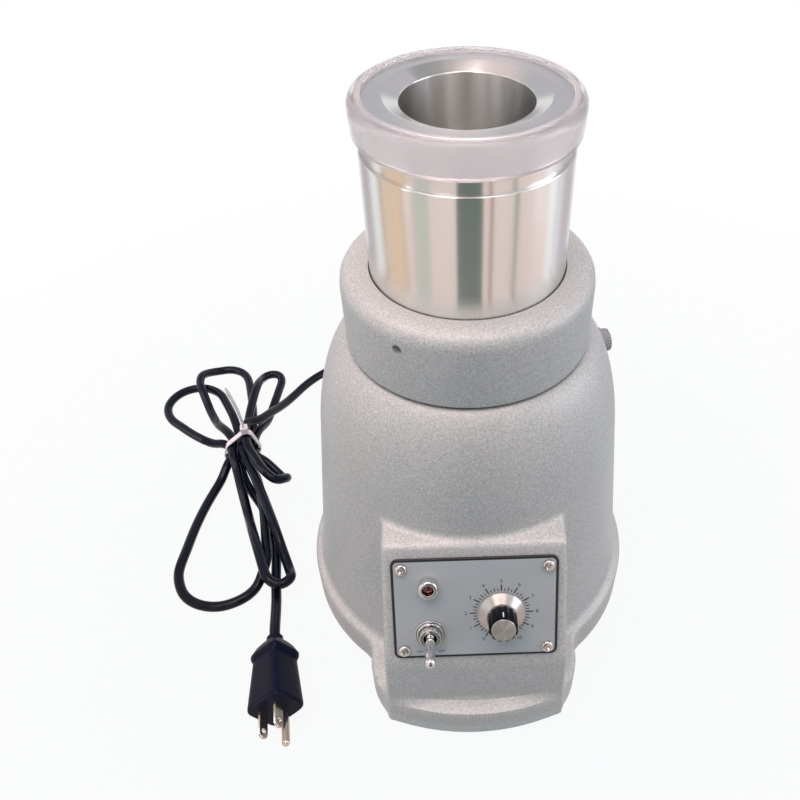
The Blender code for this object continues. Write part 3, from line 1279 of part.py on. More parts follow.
def make_panel():
    """Panel plate with its four screws."""
    plate = solid(
        "panel_plate",
        lambda bm: prism_into(bm, rounded_rectangle(PLATE_WIDTH, PLATE_HEIGHT, PLATE_CORNER), PLATE_BACK, PLATE_FACE),
        finish="plate_paint", parent=panel_frame,
    )

    def holes(bm):
        bores = [(x, y, PLATE_SCREW_SHANK) for x, y in PLATE_SCREW_PLACES]
        bores += [(LAMP_X, LAMP_Y, BEZEL_NECK), (TOGGLE_X, TOGGLE_Y, BARREL_RADIUS), (DIAL_X, DIAL_Y, POT_BUSHING_RADIUS)]
        for x, y, radius in bores:
            cylinder_into(
                bm, radius + GAP, PLATE_BACK - OVERRUN, PLATE_FACE + OVERRUN, SMALL_STEPS, Matrix.Translation((x, y, 0))
            )

    combine(plate, solid("plate_holes", holes, parent=panel_frame))

    profile = headed_profile(
        PLATE_SCREW_HEAD, PLATE_SCREW_HEAD_HEIGHT, PLATE_SCREW_SHANK, PLATE_SCREW_LENGTH, PLATE_FACE + GAP
    )
    for index, (x, y) in enumerate(PLATE_SCREW_PLACES, 1):
        turned(
            "panel_screw_" + str(index), profile, FINE_STEPS, finish="zinc_screw", parent=panel_frame,
            location=(x, y, 0),
        )


def make_lamp():
    """Indicator lamp: a chromed bezel with a recessed lens, and its body behind the plate."""
    place = (LAMP_X, LAMP_Y, 0)
    seat = PLATE_FACE + GAP
    top = seat + BEZEL_HEIGHT
    lens_top = top - LENS_RECESS
    turned(
        "lamp_bezel",
        [(0, lens_top - LENS_DEPTH - GAP), (BEZEL_BORE, lens_top - LENS_DEPTH - GAP), (BEZEL_BORE, top),
         (BEZEL_RADIUS - BEZEL_ROUND, top), (BEZEL_RADIUS, top - BEZEL_ROUND), (BEZEL_RADIUS, seat),
         (BEZEL_NECK, seat), (BEZEL_NECK, -LAMP_BODY_DEPTH), (0, -LAMP_BODY_DEPTH)],
        MOTOR_STEPS, finish="chrome", parent=panel_frame, location=place,
    )
    turned(
        "lamp_lens",
        [(0, lens_top), (LENS_RADIUS / 2, lens_top - LENS_RADIUS / 8), (LENS_RADIUS, lens_top - LENS_RADIUS / 2),
         (LENS_RADIUS, lens_top - LENS_DEPTH), (0, lens_top - LENS_DEPTH)],
        SMALL_STEPS, finish="red_lens", parent=panel_frame, location=place,
    )


def make_toggle():
    """Toggle switch: body with its barrel, dress nut and bat lever, which rests tilted down."""
    place = (TOGGLE_X, TOGGLE_Y, 0)
    barrel_top = PLATE_FACE + BARREL_HEIGHT
    body = solid(
        "switch_body",
        lambda bm: box_into(bm, (-SWITCH_WIDTH / 2, -SWITCH_LENGTH / 2, -SWITCH_DEPTH),
                            (SWITCH_WIDTH / 2, SWITCH_LENGTH / 2, 0)),
        finish="black_plastic", parent=panel_frame, location=place,
    )
    barrel = solid(
        "switch_barrel", lambda bm: cylinder_into(bm, BARREL_RADIUS, -OVERRUN, barrel_top, MOTOR_STEPS),
        parent=panel_frame, location=place,
    )
    combine(body, barrel, "UNION")
    pivot = PLATE_FACE + LEVER_PIVOT_HEIGHT
    bore = solid(
        "switch_bore",
        lambda bm: cylinder_into(bm, BARREL_BORE, pivot - LEVER_POCKET, barrel_top + OVERRUN, SMALL_STEPS),
        parent=panel_frame, location=place,
    )
    combine(body, bore)
    seat = PLATE_FACE + GAP
    nut_top = seat + DRESS_NUT_HEIGHT
    turned(
        "switch_nut",
        [(BARREL_RADIUS + GAP, nut_top), (DRESS_NUT_RADIUS - DRESS_NUT_ROUND, nut_top),
         (DRESS_NUT_RADIUS, nut_top - DRESS_NUT_ROUND), (DRESS_NUT_RADIUS, seat), (BARREL_RADIUS + GAP, seat)],
        MOTOR_STEPS, ring=True, finish="chrome", parent=panel_frame, location=place,
    )
    ball = arc(0, 0, LEVER_BALL, math.radians(60.0), math.radians(-60.0), 4)
    tip_centre = LEVER_LENGTH - LEVER_TIP_RADIUS
    tip = arc(0, tip_centre, LEVER_TIP_RADIUS, math.radians(70.0), math.radians(-20.0), 4)
    profile = [(0, LEVER_LENGTH), *tip, (LEVER_NECK, BARREL_HEIGHT), *ball, (0, -LEVER_BALL)]
    turned(
        "switch_lever", profile, SMALL_STEPS, finish="chrome", parent=panel_frame,
        location=(TOGGLE_X, TOGGLE_Y, pivot), rotation=(LEVER_TILT, 0, 0),
    )


def make_speed_knob():
    """Speed knob with its skirt, body and cap, on the potentiometer's shaft."""
    place = (DIAL_X, DIAL_Y, 0)
    skirt_low = PLATE_FACE + SKIRT_LIFT
    skirt_top = PLATE_FACE + SKIRT_HEIGHT
    turned(
        "knob_skirt",
        [(SKIRT_BORE, skirt_top), (SKIRT_TOP_RADIUS, skirt_top), (SKIRT_RADIUS - SKIRT_EDGE, skirt_low + 2 * SKIRT_EDGE),
         (SKIRT_RADIUS, skirt_low + SKIRT_EDGE), (SKIRT_RADIUS, skirt_low), (SKIRT_RADIUS - SKIRT_WALL, skirt_low),
         (SKIRT_TOP_RADIUS, skirt_top - SKIRT_WALL), (SKIRT_BORE, skirt_top - SKIRT_WALL)],
        MIDDLE_STEPS, ring=True, finish="spun_aluminium", parent=panel_frame, location=place,
    )
    body_low = skirt_top + GAP
    body_top = body_low + KNOB_HEIGHT
    steps = 4 * KNOB_FLUTES

    def body_shape(bm):
        outline = []
        for index in range(steps):
            angle = 2 * math.pi * index / steps
            radius = KNOB_RADIUS - KNOB_FLUTE_DEPTH * (1 + math.cos(KNOB_FLUTES * angle)) / 2
            outline.append((radius * math.cos(angle), radius * math.sin(angle)))
        prism_into(bm, outline, body_low, body_top)

    body = solid("knob_body", body_shape, finish="black_plastic", parent=panel_frame, location=place)
    spigot = solid(
        "knob_spigot",
        lambda bm: cylinder_into(bm, SKIRT_BORE - GAP, skirt_top - KNOB_SPIGOT_DEPTH, body_low + OVERRUN, MOTOR_STEPS),
        parent=panel_frame, location=place,
    )
    combine(body, spigot, "UNION")
    shaft_top = body_top - 2 * SKIRT_WALL
    bore = solid(
        "knob_bore",
        lambda bm: cylinder_into(bm, POT_SHAFT_RADIUS + GAP, skirt_low, shaft_top + GAP, SMALL_STEPS),
        parent=panel_frame, location=place,
    )
    combine(body, bore)
    solid(
        "knob_cap",
        lambda bm: cylinder_into(bm, KNOB_CAP_RADIUS, body_top + GAP, body_top + GAP + KNOB_CAP_HEIGHT, MOTOR_STEPS),
        finish="spun_aluminium", parent=panel_frame, location=place,
    )
    solid(
        "knob_shaft",
        lambda bm: cylinder_into(bm, POT_SHAFT_RADIUS, -POT_SHAFT_INSIDE, shaft_top, SMALL_STEPS),
        finish="nickel", parent=panel_frame, location=place,
    )
    bushing_top = PLATE_FACE + POT_BUSHING_HEIGHT
    shaft_bore = POT_SHAFT_RADIUS + GAP
    turned(
        "potentiometer",
        [(0, -POT_SHAFT_INSIDE - GAP), (shaft_bore, -POT_SHAFT_INSIDE - GAP), (shaft_bore, bushing_top),
         (POT_BUSHING_RADIUS, bushing_top), (POT_BUSHING_RADIUS, 0), (POT_BODY_RADIUS, 0),
         (POT_BODY_RADIUS, -POT_BODY_DEPTH), (0, -POT_BODY_DEPTH)],
        MOTOR_STEPS, finish="black_plastic", parent=panel_frame, location=place,
    )


def make_fuse():
    """Fuse holder through the bell's wall, with its cap outside."""
    seat = FUSE_SEAT + GAP
    flange = seat + FUSE_FLANGE_HEIGHT

    def holder(bm):
        profile = [(0, flange), (FUSE_FLANGE_RADIUS, flange), (FUSE_FLANGE_RADIUS, seat), (FUSE_BODY_RADIUS, seat),
                   (FUSE_BODY_RADIUS, seat - FUSE_BODY_LENGTH), (0, seat - FUSE_BODY_LENGTH)]
        spin_into(bm, profile, FINE_STEPS, fuse_frame_matrix())

    solid("fuse_holder", holder, finish="black_plastic", parent=mill_axis)

    def cap(bm):
        low = flange + GAP
        high = low + FUSE_CAP_HEIGHT
        profile = [(0, high), (FUSE_CAP_RADIUS - FUSE_CAP_ROUND, high), (FUSE_CAP_RADIUS, high - FUSE_CAP_ROUND),
                   (FUSE_CAP_RADIUS, low), (0, low)]
        spin_into(bm, profile, FINE_STEPS, fuse_frame_matrix())

    solid("fuse_cap", cap, finish="black_plastic", parent=mill_axis)


def make_strain_relief():
    """Flanged strain relief in the boss at the back, tapering along the cord."""
    seat = RELIEF_BOSS_REACH + GAP
    flange = seat + RELIEF_FLANGE_THICKNESS

    def relief(bm):
        profile = [(0, flange + RELIEF_LENGTH), (RELIEF_TIP_RADIUS, flange + RELIEF_LENGTH), (RELIEF_ROOT_RADIUS, flange),
                   (RELIEF_FLANGE_RADIUS, flange), (RELIEF_FLANGE_RADIUS, seat), (RELIEF_NECK_RADIUS, seat),
                   (RELIEF_NECK_RADIUS, BELL_FOOT_RADIUS - WALL - RELIEF_INSIDE), (0, BELL_FOOT_RADIUS - WALL - RELIEF_INSIDE)]
        spin_into(bm, profile, SMALL_STEPS, rearward_matrix())

    solid("strain_relief", relief, finish="black_rubber", parent=mill_axis)


def smooth_curve(points, step):
    """A Catmull-Rom curve through points, read at even steps along its length."""
    points = np.array(points, float)
    padded = np.vstack([2 * points[0] - points[1], points, 2 * points[-1] - points[-2]])
    fine = []
    for index in range(len(points) - 1):
        a, b, c, d = padded[index:index + 4]
        for t in np.linspace(0, 1, 40, endpoint=False):
            fine.append(0.5 * (2 * b + (c - a) * t + (2 * a - 5 * b + 4 * c - d) * t ** 2
                               + (3 * b - a - 3 * c + d) * t ** 3))
    fine.append(points[-1])
    fine = np.array(fine)
    along = np.concatenate([[0], np.cumsum(np.linalg.norm(np.diff(fine, axis=0), axis=1))])
    count = max(3, round(along[-1] / step) + 1)
    wanted = np.linspace(0, along[-1], count)
    return np.column_stack([np.interp(wanted, along, fine[:, k]) for k in range(points.shape[1])])


tie_centre = np.array([TIE_X, TIE_Y])
bundle_along = np.array([math.cos(BUNDLE_HEADING), math.sin(BUNDLE_HEADING)])
bundle_side = np.array([math.sin(BUNDLE_HEADING), -math.cos(BUNDLE_HEADING)])


def waist_point(slot, forward):
    """A strand's place in the waist, seen from above: slots run across it, forward runs along it."""
    return tie_centre + WAIST_SLOT_SHARES[slot] * STRAND_PITCH * bundle_side + forward * bundle_along


def loop_plan(index):
    """One loop seen from above: bowed legs that part from the waist, and a round end."""
    heading, reach, half = LOOPS[index]
    along = np.array([math.cos(math.radians(heading)), math.sin(math.radians(heading))])
    side = np.array([along[1], -along[0]])
    forward = WAIST_HALF_LENGTH if along @ bundle_along > 0 else -WAIST_HALF_LENGTH
    start, end = waist_point(index, forward), waist_point(index + 1, forward)
    turn = 1 if (start - end) @ side > 0 else -1
    leg = [(u * (reach - half), half * (u + LEG_BOW_SHARE * math.sin(math.pi * u))) for u in LEG_SHARES]
    tip = arc(reach - half, 0, half, math.pi / 2, -math.pi / 2, TIP_POINTS - 1)
    shape = [*leg, *tip, *[(out, -spread) for out, spread in reversed(leg)]]
    points = []
    for number, (out, spread) in enumerate(shape, 1):
        base = start + (end - start) * number / (len(shape) + 1)
        points.append(base + out * along + turn * spread * side)
    return points


def bundle_plan():
    """The whole tied length seen from above, from the plug's side to the housing's, and where each loop's far end is."""
    points, ends = [], []
    for slot in range(len(WAIST_SLOT_SHARES)):
        sign = 1 if slot % 2 else -1
        points += [waist_point(slot, sign * forward) for forward in (WAIST_HALF_LENGTH, 0, -WAIST_HALF_LENGTH)]
        if slot < len(LOOPS):
            loop = loop_plan(slot)
            ends.append(len(points) + len(loop) // 2)
            points += loop
    along = np.concatenate([[0], np.cumsum(np.linalg.norm(np.diff(points, axis=0), axis=1))])
    count = LOOP_POINTS * len(LOOPS)
    marks = [round(float(along[end] / along[-1]) * count) for end in ends]
    return smooth_curve(points, along[-1] / count)[:, :2], marks


def between(first, second):
    """Points at fine steps from one point to the next."""
    steps = max(2, int(np.linalg.norm(second - first) / LAY_STEP))
    return [first + (second - first) * t for t in np.linspace(0, 1, steps + 1)]


def rest_heights(plan, marks, laid):
    """Heights for the tied length: each stretch between far ends lies on the table or on what was laid before it."""
    reach = 2 * CORD_RADIUS + STRAND_CLEARANCE
    heights = np.zeros(len(plan))
    waiting = np.zeros((0, 3))
    for first, last in zip([0, *marks], [*marks, len(plan) - 1]):
        stretch = plan[first:last + 1]
        offsets = stretch - tie_centre
        in_reach = abs(offsets @ bundle_along) < WAIST_REACH_SHARE * WAIST_HALF_LENGTH
        in_waist = in_reach & (abs(offsets @ bundle_side) < WAIST_STRANDS * STRAND_PITCH)
        need = CORD_RADIUS + TABLE_CLEARANCE + WAIST_LIFT * in_waist
        for index in range(len(stretch) - 1):
            for place in between(stretch[index], stretch[index + 1]):
                squares = ((laid[:, :2] - place) ** 2).sum(axis=1)
                near = squares < reach ** 2
                if near.any():
                    top = (laid[near, 2] + np.sqrt(reach ** 2 - squares[near])).max()
                    need[index:index + 2] = np.maximum(need[index:index + 2], top)
        if first:
            need[0] = heights[first]
        along = np.concatenate([[0], np.cumsum(np.linalg.norm(np.diff(stretch, axis=0), axis=1))])
        slopes = LAY_SLOPE * abs(along[:, None] - along)
        need[in_waist] = (need - slopes).max(axis=1)[in_waist].max()
        heights[first:last + 1] = (need - slopes).max(axis=1)
        laid, waiting = np.vstack([laid, waiting]), np.zeros((0, 3))
        solid_points = np.column_stack([stretch, heights[first:last + 1]])
        for index in range(len(stretch) - 1):
            fine = between(solid_points[index], solid_points[index + 1])
            if along[-1] - along[index + 1] < 3 * CORD_RADIUS:
                waiting = np.vstack([waiting, fine])
            else:
                laid = np.vstack([laid, fine])
    return heights


def least_self_gap(points):
    """The smallest clearance between stretches of the tube that aren't neighbours along it."""
    fine = np.vstack([between(first, second)[:-1] for first, second in zip(points, points[1:])])
    along = np.concatenate([[0], np.cumsum(np.linalg.norm(np.diff(fine, axis=0), axis=1))])
    least = math.inf
    for index in range(len(fine)):
        apart = abs(along - along[index]) > 7 * CORD_RADIUS
        least = min(least, np.linalg.norm(fine[apart] - fine[index], axis=1).min())
    return least - 2 * CORD_RADIUS


def tube(name, points, resolution, finish="cord_jacket"):
    """A round cord along points in the mill's frame."""
    curve = bpy.data.curves.new(name, "CURVE")
    curve.dimensions = "3D"
    curve.bevel_depth = CORD_RADIUS
    curve.bevel_resolution = resolution
    curve.resolution_u = 1
    curve.render_resolution_u = 0
    curve.use_fill_caps = True
    spline = curve.splines.new("POLY")
    spline.points.add(len(points) - 1)
    for item, point in zip(spline.points, points):
        item.co = (*point, 1)
    return add_object(name, curve, finish=finish, parent=mill_axis)


def shortened(points, trim):
    """The same points with the ends drawn in by a gap."""
    points = np.array(points)
    first = points[1] - points[0]
    last = points[-2] - points[-1]
    points[0] = points[0] + first / np.linalg.norm(first) * trim
    points[-1] = points[-1] + last / np.linalg.norm(last) * trim
    return points


def plug_matrix():
    """The plug's frame: x runs along it from the cord to the pins."""
    turn = Matrix.Rotation(PLUG_HEADING, 4, "Z") @ Matrix.Rotation(-PLUG_PITCH, 4, "Y") @ Matrix.Rotation(PLUG_ROLL, 4, "X")
    return Matrix.Translation((PLUG_X, PLUG_Y, PLUG_ENTRY_HEIGHT)) @ turn


def direction_of(start, end):
    """Unit vector from one point to another."""
    return (end - start) / np.linalg.norm(end - start)


def make_cord():
    """Cord in three stretches: from the housing to the tie, the tied loops, and from the tie to the plug."""
    plan, marks = bundle_plan()
    low = CORD_RADIUS + TABLE_CLEARANCE + WAIST_LIFT
    straight = 2 * CORD_RADIUS
    first = np.array([*plan[0], low])
    below = first + straight * direction_of(np.array([*plan[1], low]), first)
    plug_end = np.array(plug_matrix().translation)
    entry = np.array(plug_matrix() @ Vector((-straight, 0, 0)))
    tail = np.vstack([first, smooth_curve([below, *PLUG_ROUTE, entry], CORD_POINT_STEP), plug_end])
    laid = np.vstack([between(a, b) for a, b in zip(tail, tail[1:])])
    laid = laid[np.linalg.norm(laid - first, axis=1) > 3 * CORD_RADIUS]
    bundle = np.column_stack([plan, rest_heights(plan, marks, laid)])
    above = bundle[-1] + straight * direction_of(bundle[-2], bundle[-1])
    exit_point = np.array([0, CORD_EXIT_Y, CORD_EXIT_HEIGHT])
    outside = exit_point + np.array([0, straight, 0])
    lead = np.vstack([exit_point, smooth_curve([outside, *LEAD_ROUTE, above], CORD_POINT_STEP), bundle[-1]])
    tube("cord_lead", shortened(lead, GAP / 2), 2)
    tube("cord_hank", shortened(bundle, GAP / 2), 1)
    tube("cord_plug_lead", shortened(tail, GAP / 2), 2)
    whole = np.vstack([tail[::-1][:-1], bundle, lead[::-1][1:]])
    lengths = [np.linalg.norm(np.diff(p, axis=0), axis=1).sum() for p in (lead, bundle, tail)]
    print("cord lengths in mm:", [round(1000 * float(value), 1) for value in lengths])
    print("least gap of the tied loops to themselves in mm:", round(1000 * float(least_self_gap(bundle)), 2))
    print("least gap of the whole cord to itself in mm:", round(1000 * float(least_self_gap(whole)), 2))
    return bundle


def tie_ring(strands, reach):
    """The tie's edge round the strands: round corners of one reach about the outermost strands, anticlockwise."""
    lowest = min(strands, key=lambda p: (p[1], p[0]))
    hull = [lowest]
    heading = 0
    while True:
        angles = []
        for other in strands:
            if other != hull[-1]:
                angle = (math.atan2(other[1] - hull[-1][1], other[0] - hull[-1][0]) - heading) % (2 * math.pi)
                angles.append((round(angle, 6) % round(2 * math.pi, 6), -math.dist(other, hull[-1]), other))
        turn, _, chosen = min(angles)
        heading += turn
        if chosen == lowest:
            break
        hull.append(chosen)
    points = []
    for index, centre in enumerate(hull):
        before, after = hull[index - 1], hull[(index + 1) % len(hull)]
        start = math.atan2(centre[1] - before[1], centre[0] - before[0]) - math.pi / 2
        sweep = (math.atan2(after[1] - centre[1], after[0] - centre[0]) - math.pi / 2 - start) % (2 * math.pi)
        points += arc(*centre, reach, start, start + sweep, TIE_CORNER_STEPS)
    return points


def make_tie(bundle):
    """Cable tie round the waist of the bundle, with its head and a tail that stands up from it."""
    offsets = bundle[:, :2] - tie_centre
    forward, across = offsets @ bundle_along, offsets @ bundle_side
    strands = []
    for index in range(len(bundle) - 1):
        here, there = forward[index], forward[index + 1]
        if here * there < 0 and abs(across[index]) < WAIST_STRANDS * STRAND_PITCH:
            share = here / (here - there)
            strands.append((float(across[index] * (1 - share) + across[index + 1] * share), float(bundle[index][2])))
    print("strands in the waist, across and up in mm:", [(round(1000 * a, 1), round(1000 * b, 1)) for a, b in strands])
    inner = tie_ring(strands, CORD_RADIUS + TIE_CLEARANCE)
    outer = tie_ring(strands, CORD_RADIUS + TIE_CLEARANCE + TIE_THICKNESS)
    turn = Matrix.Translation((TIE_X, TIE_Y, 0)) @ Matrix.Rotation(BUNDLE_HEADING - math.pi / 2, 4, "Z")
    upright = turn @ Matrix.Rotation(math.pi / 2, 4, "X")
    band = solid(
        "cable_tie", lambda bm: prism_into(bm, outer, -TIE_HALF_WIDTH, TIE_HALF_WIDTH),
        finish="natural_nylon", parent=mill_axis,
    )
    band.matrix_local = upright
    opening = solid(
        "tie_opening", lambda bm: prism_into(bm, inner, -TIE_HALF_WIDTH - OVERRUN, TIE_HALF_WIDTH + OVERRUN),
        parent=mill_axis,
    )
    opening.matrix_local = upright
    combine(band, opening)
    across, top = max(outer, key=lambda p: p[1])
    low = top - TIE_THICKNESS / 2

    def head(bm):
        box_into(bm, (across - TIE_HEAD_WIDTH / 2, low, -TIE_HALF_WIDTH - TIE_THICKNESS / 2),
                 (across + TIE_HEAD_WIDTH / 2, low + TIE_HEAD_HEIGHT, TIE_HALF_WIDTH + TIE_THICKNESS / 2))

    def tail(bm):
        left, right = [], []
        for t in np.linspace(0, 1, TIE_TAIL_STEPS + 1):
            x = across - TIE_TAIL_LEAN * t * t
            y = low + TIE_HEAD_HEIGHT / 2 + (TIE_TAIL_HEIGHT - TIE_HEAD_HEIGHT / 2) * t
            left.append((x - TIE_THICKNESS / 2, y))
            right.append((x + TIE_THICKNESS / 2, y))
        prism_into(bm, [*right, *reversed(left)], -TIE_HALF_WIDTH, TIE_HALF_WIDTH)

    for name, shape in (("tie_head", head), ("tie_tail", tail)):
        piece = solid(name, shape, parent=mill_axis)
        piece.matrix_local = upright
        combine(band, piece, "UNION")


def make_plug():
    """Moulded plug body with two flat pins and a round ground pin."""
    widths = [PLUG_COLLAR] * 2 + [PLUG_WAIST_HALF, PLUG_SHOULDER_HALF] + [PLUG_WAIST_HALF] * 2 + [PLUG_FRONT_HALF_WIDTH] * 2
    heights = [PLUG_COLLAR] * 2 + [PLUG_WAIST_HALF] + [PLUG_SHOULDER_HALF] * 3 + [PLUG_FRONT_HALF_HEIGHT] * 2
    stations = [
        (PLUG_LENGTH * place, width * wide, height * high, PLUG_SQUARENESS * square)
        for place, width, wide, height, high, square in zip(
            PLUG_PLACE_SHARES, widths, PLUG_WIDTH_SHARES, heights, PLUG_HEIGHT_SHARES, PLUG_SQUARE_SHARES
        )
    ]

    def body(bm):
        rings = []
        for along, half_width, half_height, squareness in stations:
            ring = []
            for index in range(PLUG_SIDES):
                angle = 2 * math.pi * (index + 0.5) / PLUG_SIDES
                c, s = math.cos(angle), math.sin(angle)
                size = (abs(c) ** squareness + abs(s) ** squareness) ** (-1 / squareness)
                ring.append(bm.verts.new((along, half_width * size * c, half_height * size * s)))
            rings.append(ring)
        for first, second in zip(rings, rings[1:]):
            for k in range(PLUG_SIDES):
                n = (k + 1) % PLUG_SIDES
                bm.faces.new((first[k], first[n], second[n], second[k]))
        bm.faces.new(rings[0])
        bm.faces.new(rings[-1])
        bmesh.ops.transform(bm, matrix=plug_matrix(), verts=bm.verts)
        print("lowest point of the plug in mm:", round(1000 * min(v.co.z for v in bm.verts), 2))

    plug = solid("plug_body", body, finish="black_plastic", parent=mill_axis)
    root = PLUG_LENGTH - PIN_SINK
    half = BLADE_PIN_SPACING / 2

    def sockets(bm):
        size = GAP
        for y in (-half, half):
            box_into(bm, (root - size, y - BLADE_PIN_HALF_THICK - size, BLADE_PIN_RAISE - BLADE_PIN_HALF_WIDTH - size),
                     (PLUG_LENGTH + OVERRUN, y + BLADE_PIN_HALF_THICK + size, BLADE_PIN_RAISE + BLADE_PIN_HALF_WIDTH + size))
        turn = Matrix.Translation((0, 0, -GROUND_PIN_DROP)) @ Matrix.Rotation(math.pi / 2, 4, "Y")
        cylinder_into(bm, GROUND_PIN_RADIUS + size, root - size, PLUG_LENGTH + OVERRUN, FINE_STEPS, turn)
        bmesh.ops.transform(bm, matrix=plug_matrix(), verts=bm.verts)

    combine(plug, solid("plug_sockets", sockets, parent=mill_axis))

    tip = PLUG_LENGTH + BLADE_PIN_LENGTH
    low, high = BLADE_PIN_RAISE - BLADE_PIN_HALF_WIDTH, BLADE_PIN_RAISE + BLADE_PIN_HALF_WIDTH
    outline = [(root, low), (tip - BLADE_PIN_NOSE, low), (tip, low + BLADE_PIN_NOSE), (tip, high - BLADE_PIN_NOSE),
               (tip - BLADE_PIN_NOSE, high), (root, high)]

    def blade_hole(bm):
        place = Matrix.Translation((tip - BLADE_PIN_HOLE_FROM_TIP, 0, BLADE_PIN_RAISE))
        turn = place @ Matrix.Rotation(math.pi / 2, 4, "X")
        cylinder_into(bm, BLADE_PIN_HOLE, -BLADE_PIN_SPACING, BLADE_PIN_SPACING, SCREW_STEPS, turn)
        bmesh.ops.transform(bm, matrix=plug_matrix(), verts=bm.verts)

    hole = solid("blade_holes", blade_hole, parent=mill_axis)
    for name, y in (("left", half), ("right", -half)):
        def blade_pin(bm, y=y):
            verts = [bm.verts.new((x, y - BLADE_PIN_HALF_THICK, z)) for x, z in outline]
            raised = bmesh.ops.extrude_face_region(bm, geom=[bm.faces.new(verts)])
            far = [g for g in raised["geom"] if isinstance(g, bmesh.types.BMVert)]
            bmesh.ops.translate(bm, vec=(0, 2 * BLADE_PIN_HALF_THICK, 0), verts=far)
            bmesh.ops.transform(bm, matrix=plug_matrix(), verts=bm.verts)

        combine(solid("plug_blade_" + name, blade_pin, finish="nickel", parent=mill_axis), hole)

    def ground(bm):
        tip = PLUG_LENGTH + GROUND_PIN_LENGTH
        wide, deep = (GROUND_PIN_RADIUS * share for share in GROUND_NOSE_SHARES)
        profile = [(0, tip), (wide, tip - deep), (GROUND_PIN_RADIUS, tip - GROUND_PIN_RADIUS),
                   (GROUND_PIN_RADIUS, root), (0, root)]
        turn = Matrix.Translation((0, 0, -GROUND_PIN_DROP)) @ Matrix.Rotation(math.pi / 2, 4, "Y")
        spin_into(bm, profile, FINE_STEPS, plug_matrix() @ turn)

    solid("plug_ground_pin", ground, finish="nickel", parent=mill_axis)


make_housing()
make_bottom()
make_board()
make_collar()
make_cup()
make_blade()
make_rotor()
make_motor_frames()
make_stator()
make_panel()
make_lamp()
make_toggle()
make_speed_knob()
make_fuse()
make_strain_relief()
make_tie(make_cord())
make_plug()
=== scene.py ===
# %% [markdown]
# # Sample mill
# A bench mill has a cast bell that hides its motor, a speed console on its front, and a steel grinding cup
# held in a clamp collar. Its mains cord lies beside it, folded up in a cable tie.
#
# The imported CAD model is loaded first. It gives the measured places, and the joints that move the cup, the
# blade, the knob and the switch. The surfaces that the eye sees are then worked out again as fine grids,
# and each grid stands for one CAD node. Lengths are in metres, +Z is up and the front faces -Y.

import math

import bmesh
import bpy
import numpy as np
from mathutils import Matrix, Vector


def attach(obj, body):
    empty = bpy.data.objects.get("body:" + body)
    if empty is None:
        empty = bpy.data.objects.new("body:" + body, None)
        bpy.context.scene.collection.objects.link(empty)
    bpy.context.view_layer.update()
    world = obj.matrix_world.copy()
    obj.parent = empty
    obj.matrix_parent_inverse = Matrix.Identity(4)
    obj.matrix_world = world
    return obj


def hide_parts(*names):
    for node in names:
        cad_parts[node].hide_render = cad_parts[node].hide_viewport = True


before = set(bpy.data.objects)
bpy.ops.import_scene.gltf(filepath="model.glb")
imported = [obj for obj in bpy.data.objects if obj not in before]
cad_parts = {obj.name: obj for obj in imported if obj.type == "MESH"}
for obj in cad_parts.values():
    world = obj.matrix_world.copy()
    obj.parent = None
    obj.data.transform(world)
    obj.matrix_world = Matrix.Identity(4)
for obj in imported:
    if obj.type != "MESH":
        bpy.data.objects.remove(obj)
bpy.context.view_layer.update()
print("CAD nodes:", len(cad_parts))

# %% [markdown]
# ## Photo camera
# The camera stands in front of the mill and looks down at it by about 43 degrees. Its picture is shifted a
# little to the left, where the cord lies. It is set up before the pieces.

# %% Camera
AXIS_Y = 0.01659
CAMERA_PLACE = (-0.0128, -0.3551 + AXIS_Y, 0.4874)
CAMERA_TILT = math.radians(46.5)
CAMERA_TURN = math.radians(-2.2)
CAMERA_LENS = 36.6
CAMERA_SENSOR = 36.0
CAMERA_SHIFT = -0.0865
NEAR_CLIP = 0.01

scene = bpy.context.scene
camera = bpy.data.objects.new("photo_camera", bpy.data.cameras.new("photo_camera"))
scene.collection.objects.link(camera)
camera.location = CAMERA_PLACE
camera.rotation_euler = (CAMERA_TILT, 0, CAMERA_TURN)
camera.data.lens = CAMERA_LENS
camera.data.sensor_width = CAMERA_SENSOR
camera.data.shift_x = CAMERA_SHIFT
camera.data.clip_start = NEAR_CLIP
scene.camera = camera
scene.view_settings.view_transform = "Standard"
print("camera place in metres:", CAMERA_PLACE)

# %% [markdown]
# ## Making a surface from numbers
# A turned part, a tube and a moulded plug are all the same thing to a computer: a stack of rings. Each ring
# is a row of points, and faces join each row to the next. One helper builds that skin from a whole array,
# so no loop walks over vertices. It also writes a UV map, where u runs round a ring and v runs from row to
# row.

# %% Skins
# Columns round a large, a middle-sized and a small part.
ROUND = 128
MIDDLE = 64
SMALL = 32
WELD = 0.000004
SHARP_ANGLE = math.radians(32.0)
mill_axis = Matrix.Translation((0, AXIS_Y, 0))


def placed(points, matrix):
    """Points carried by a matrix: p becomes turn times p plus shift."""
    turn = np.array(matrix.to_3x3())
    return points @ turn.T + np.array(matrix.translation)


def show_mesh(name, mesh, body, finish, stands_for=()):
    """Links a mesh as a piece with a finish, which rides on a body and stands for CAD nodes."""
    mesh.shade_smooth()
    mesh.set_sharp_from_angle(angle=SHARP_ANGLE)
    piece = bpy.data.objects.new(name, mesh)
    scene.collection.objects.link(piece)
    mesh.materials.append(MATERIALS[finish])
    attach(piece, body)
    if stands_for:
        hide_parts(*stands_for)
    return piece


print("columns round a part:", ROUND, MIDDLE, SMALL)


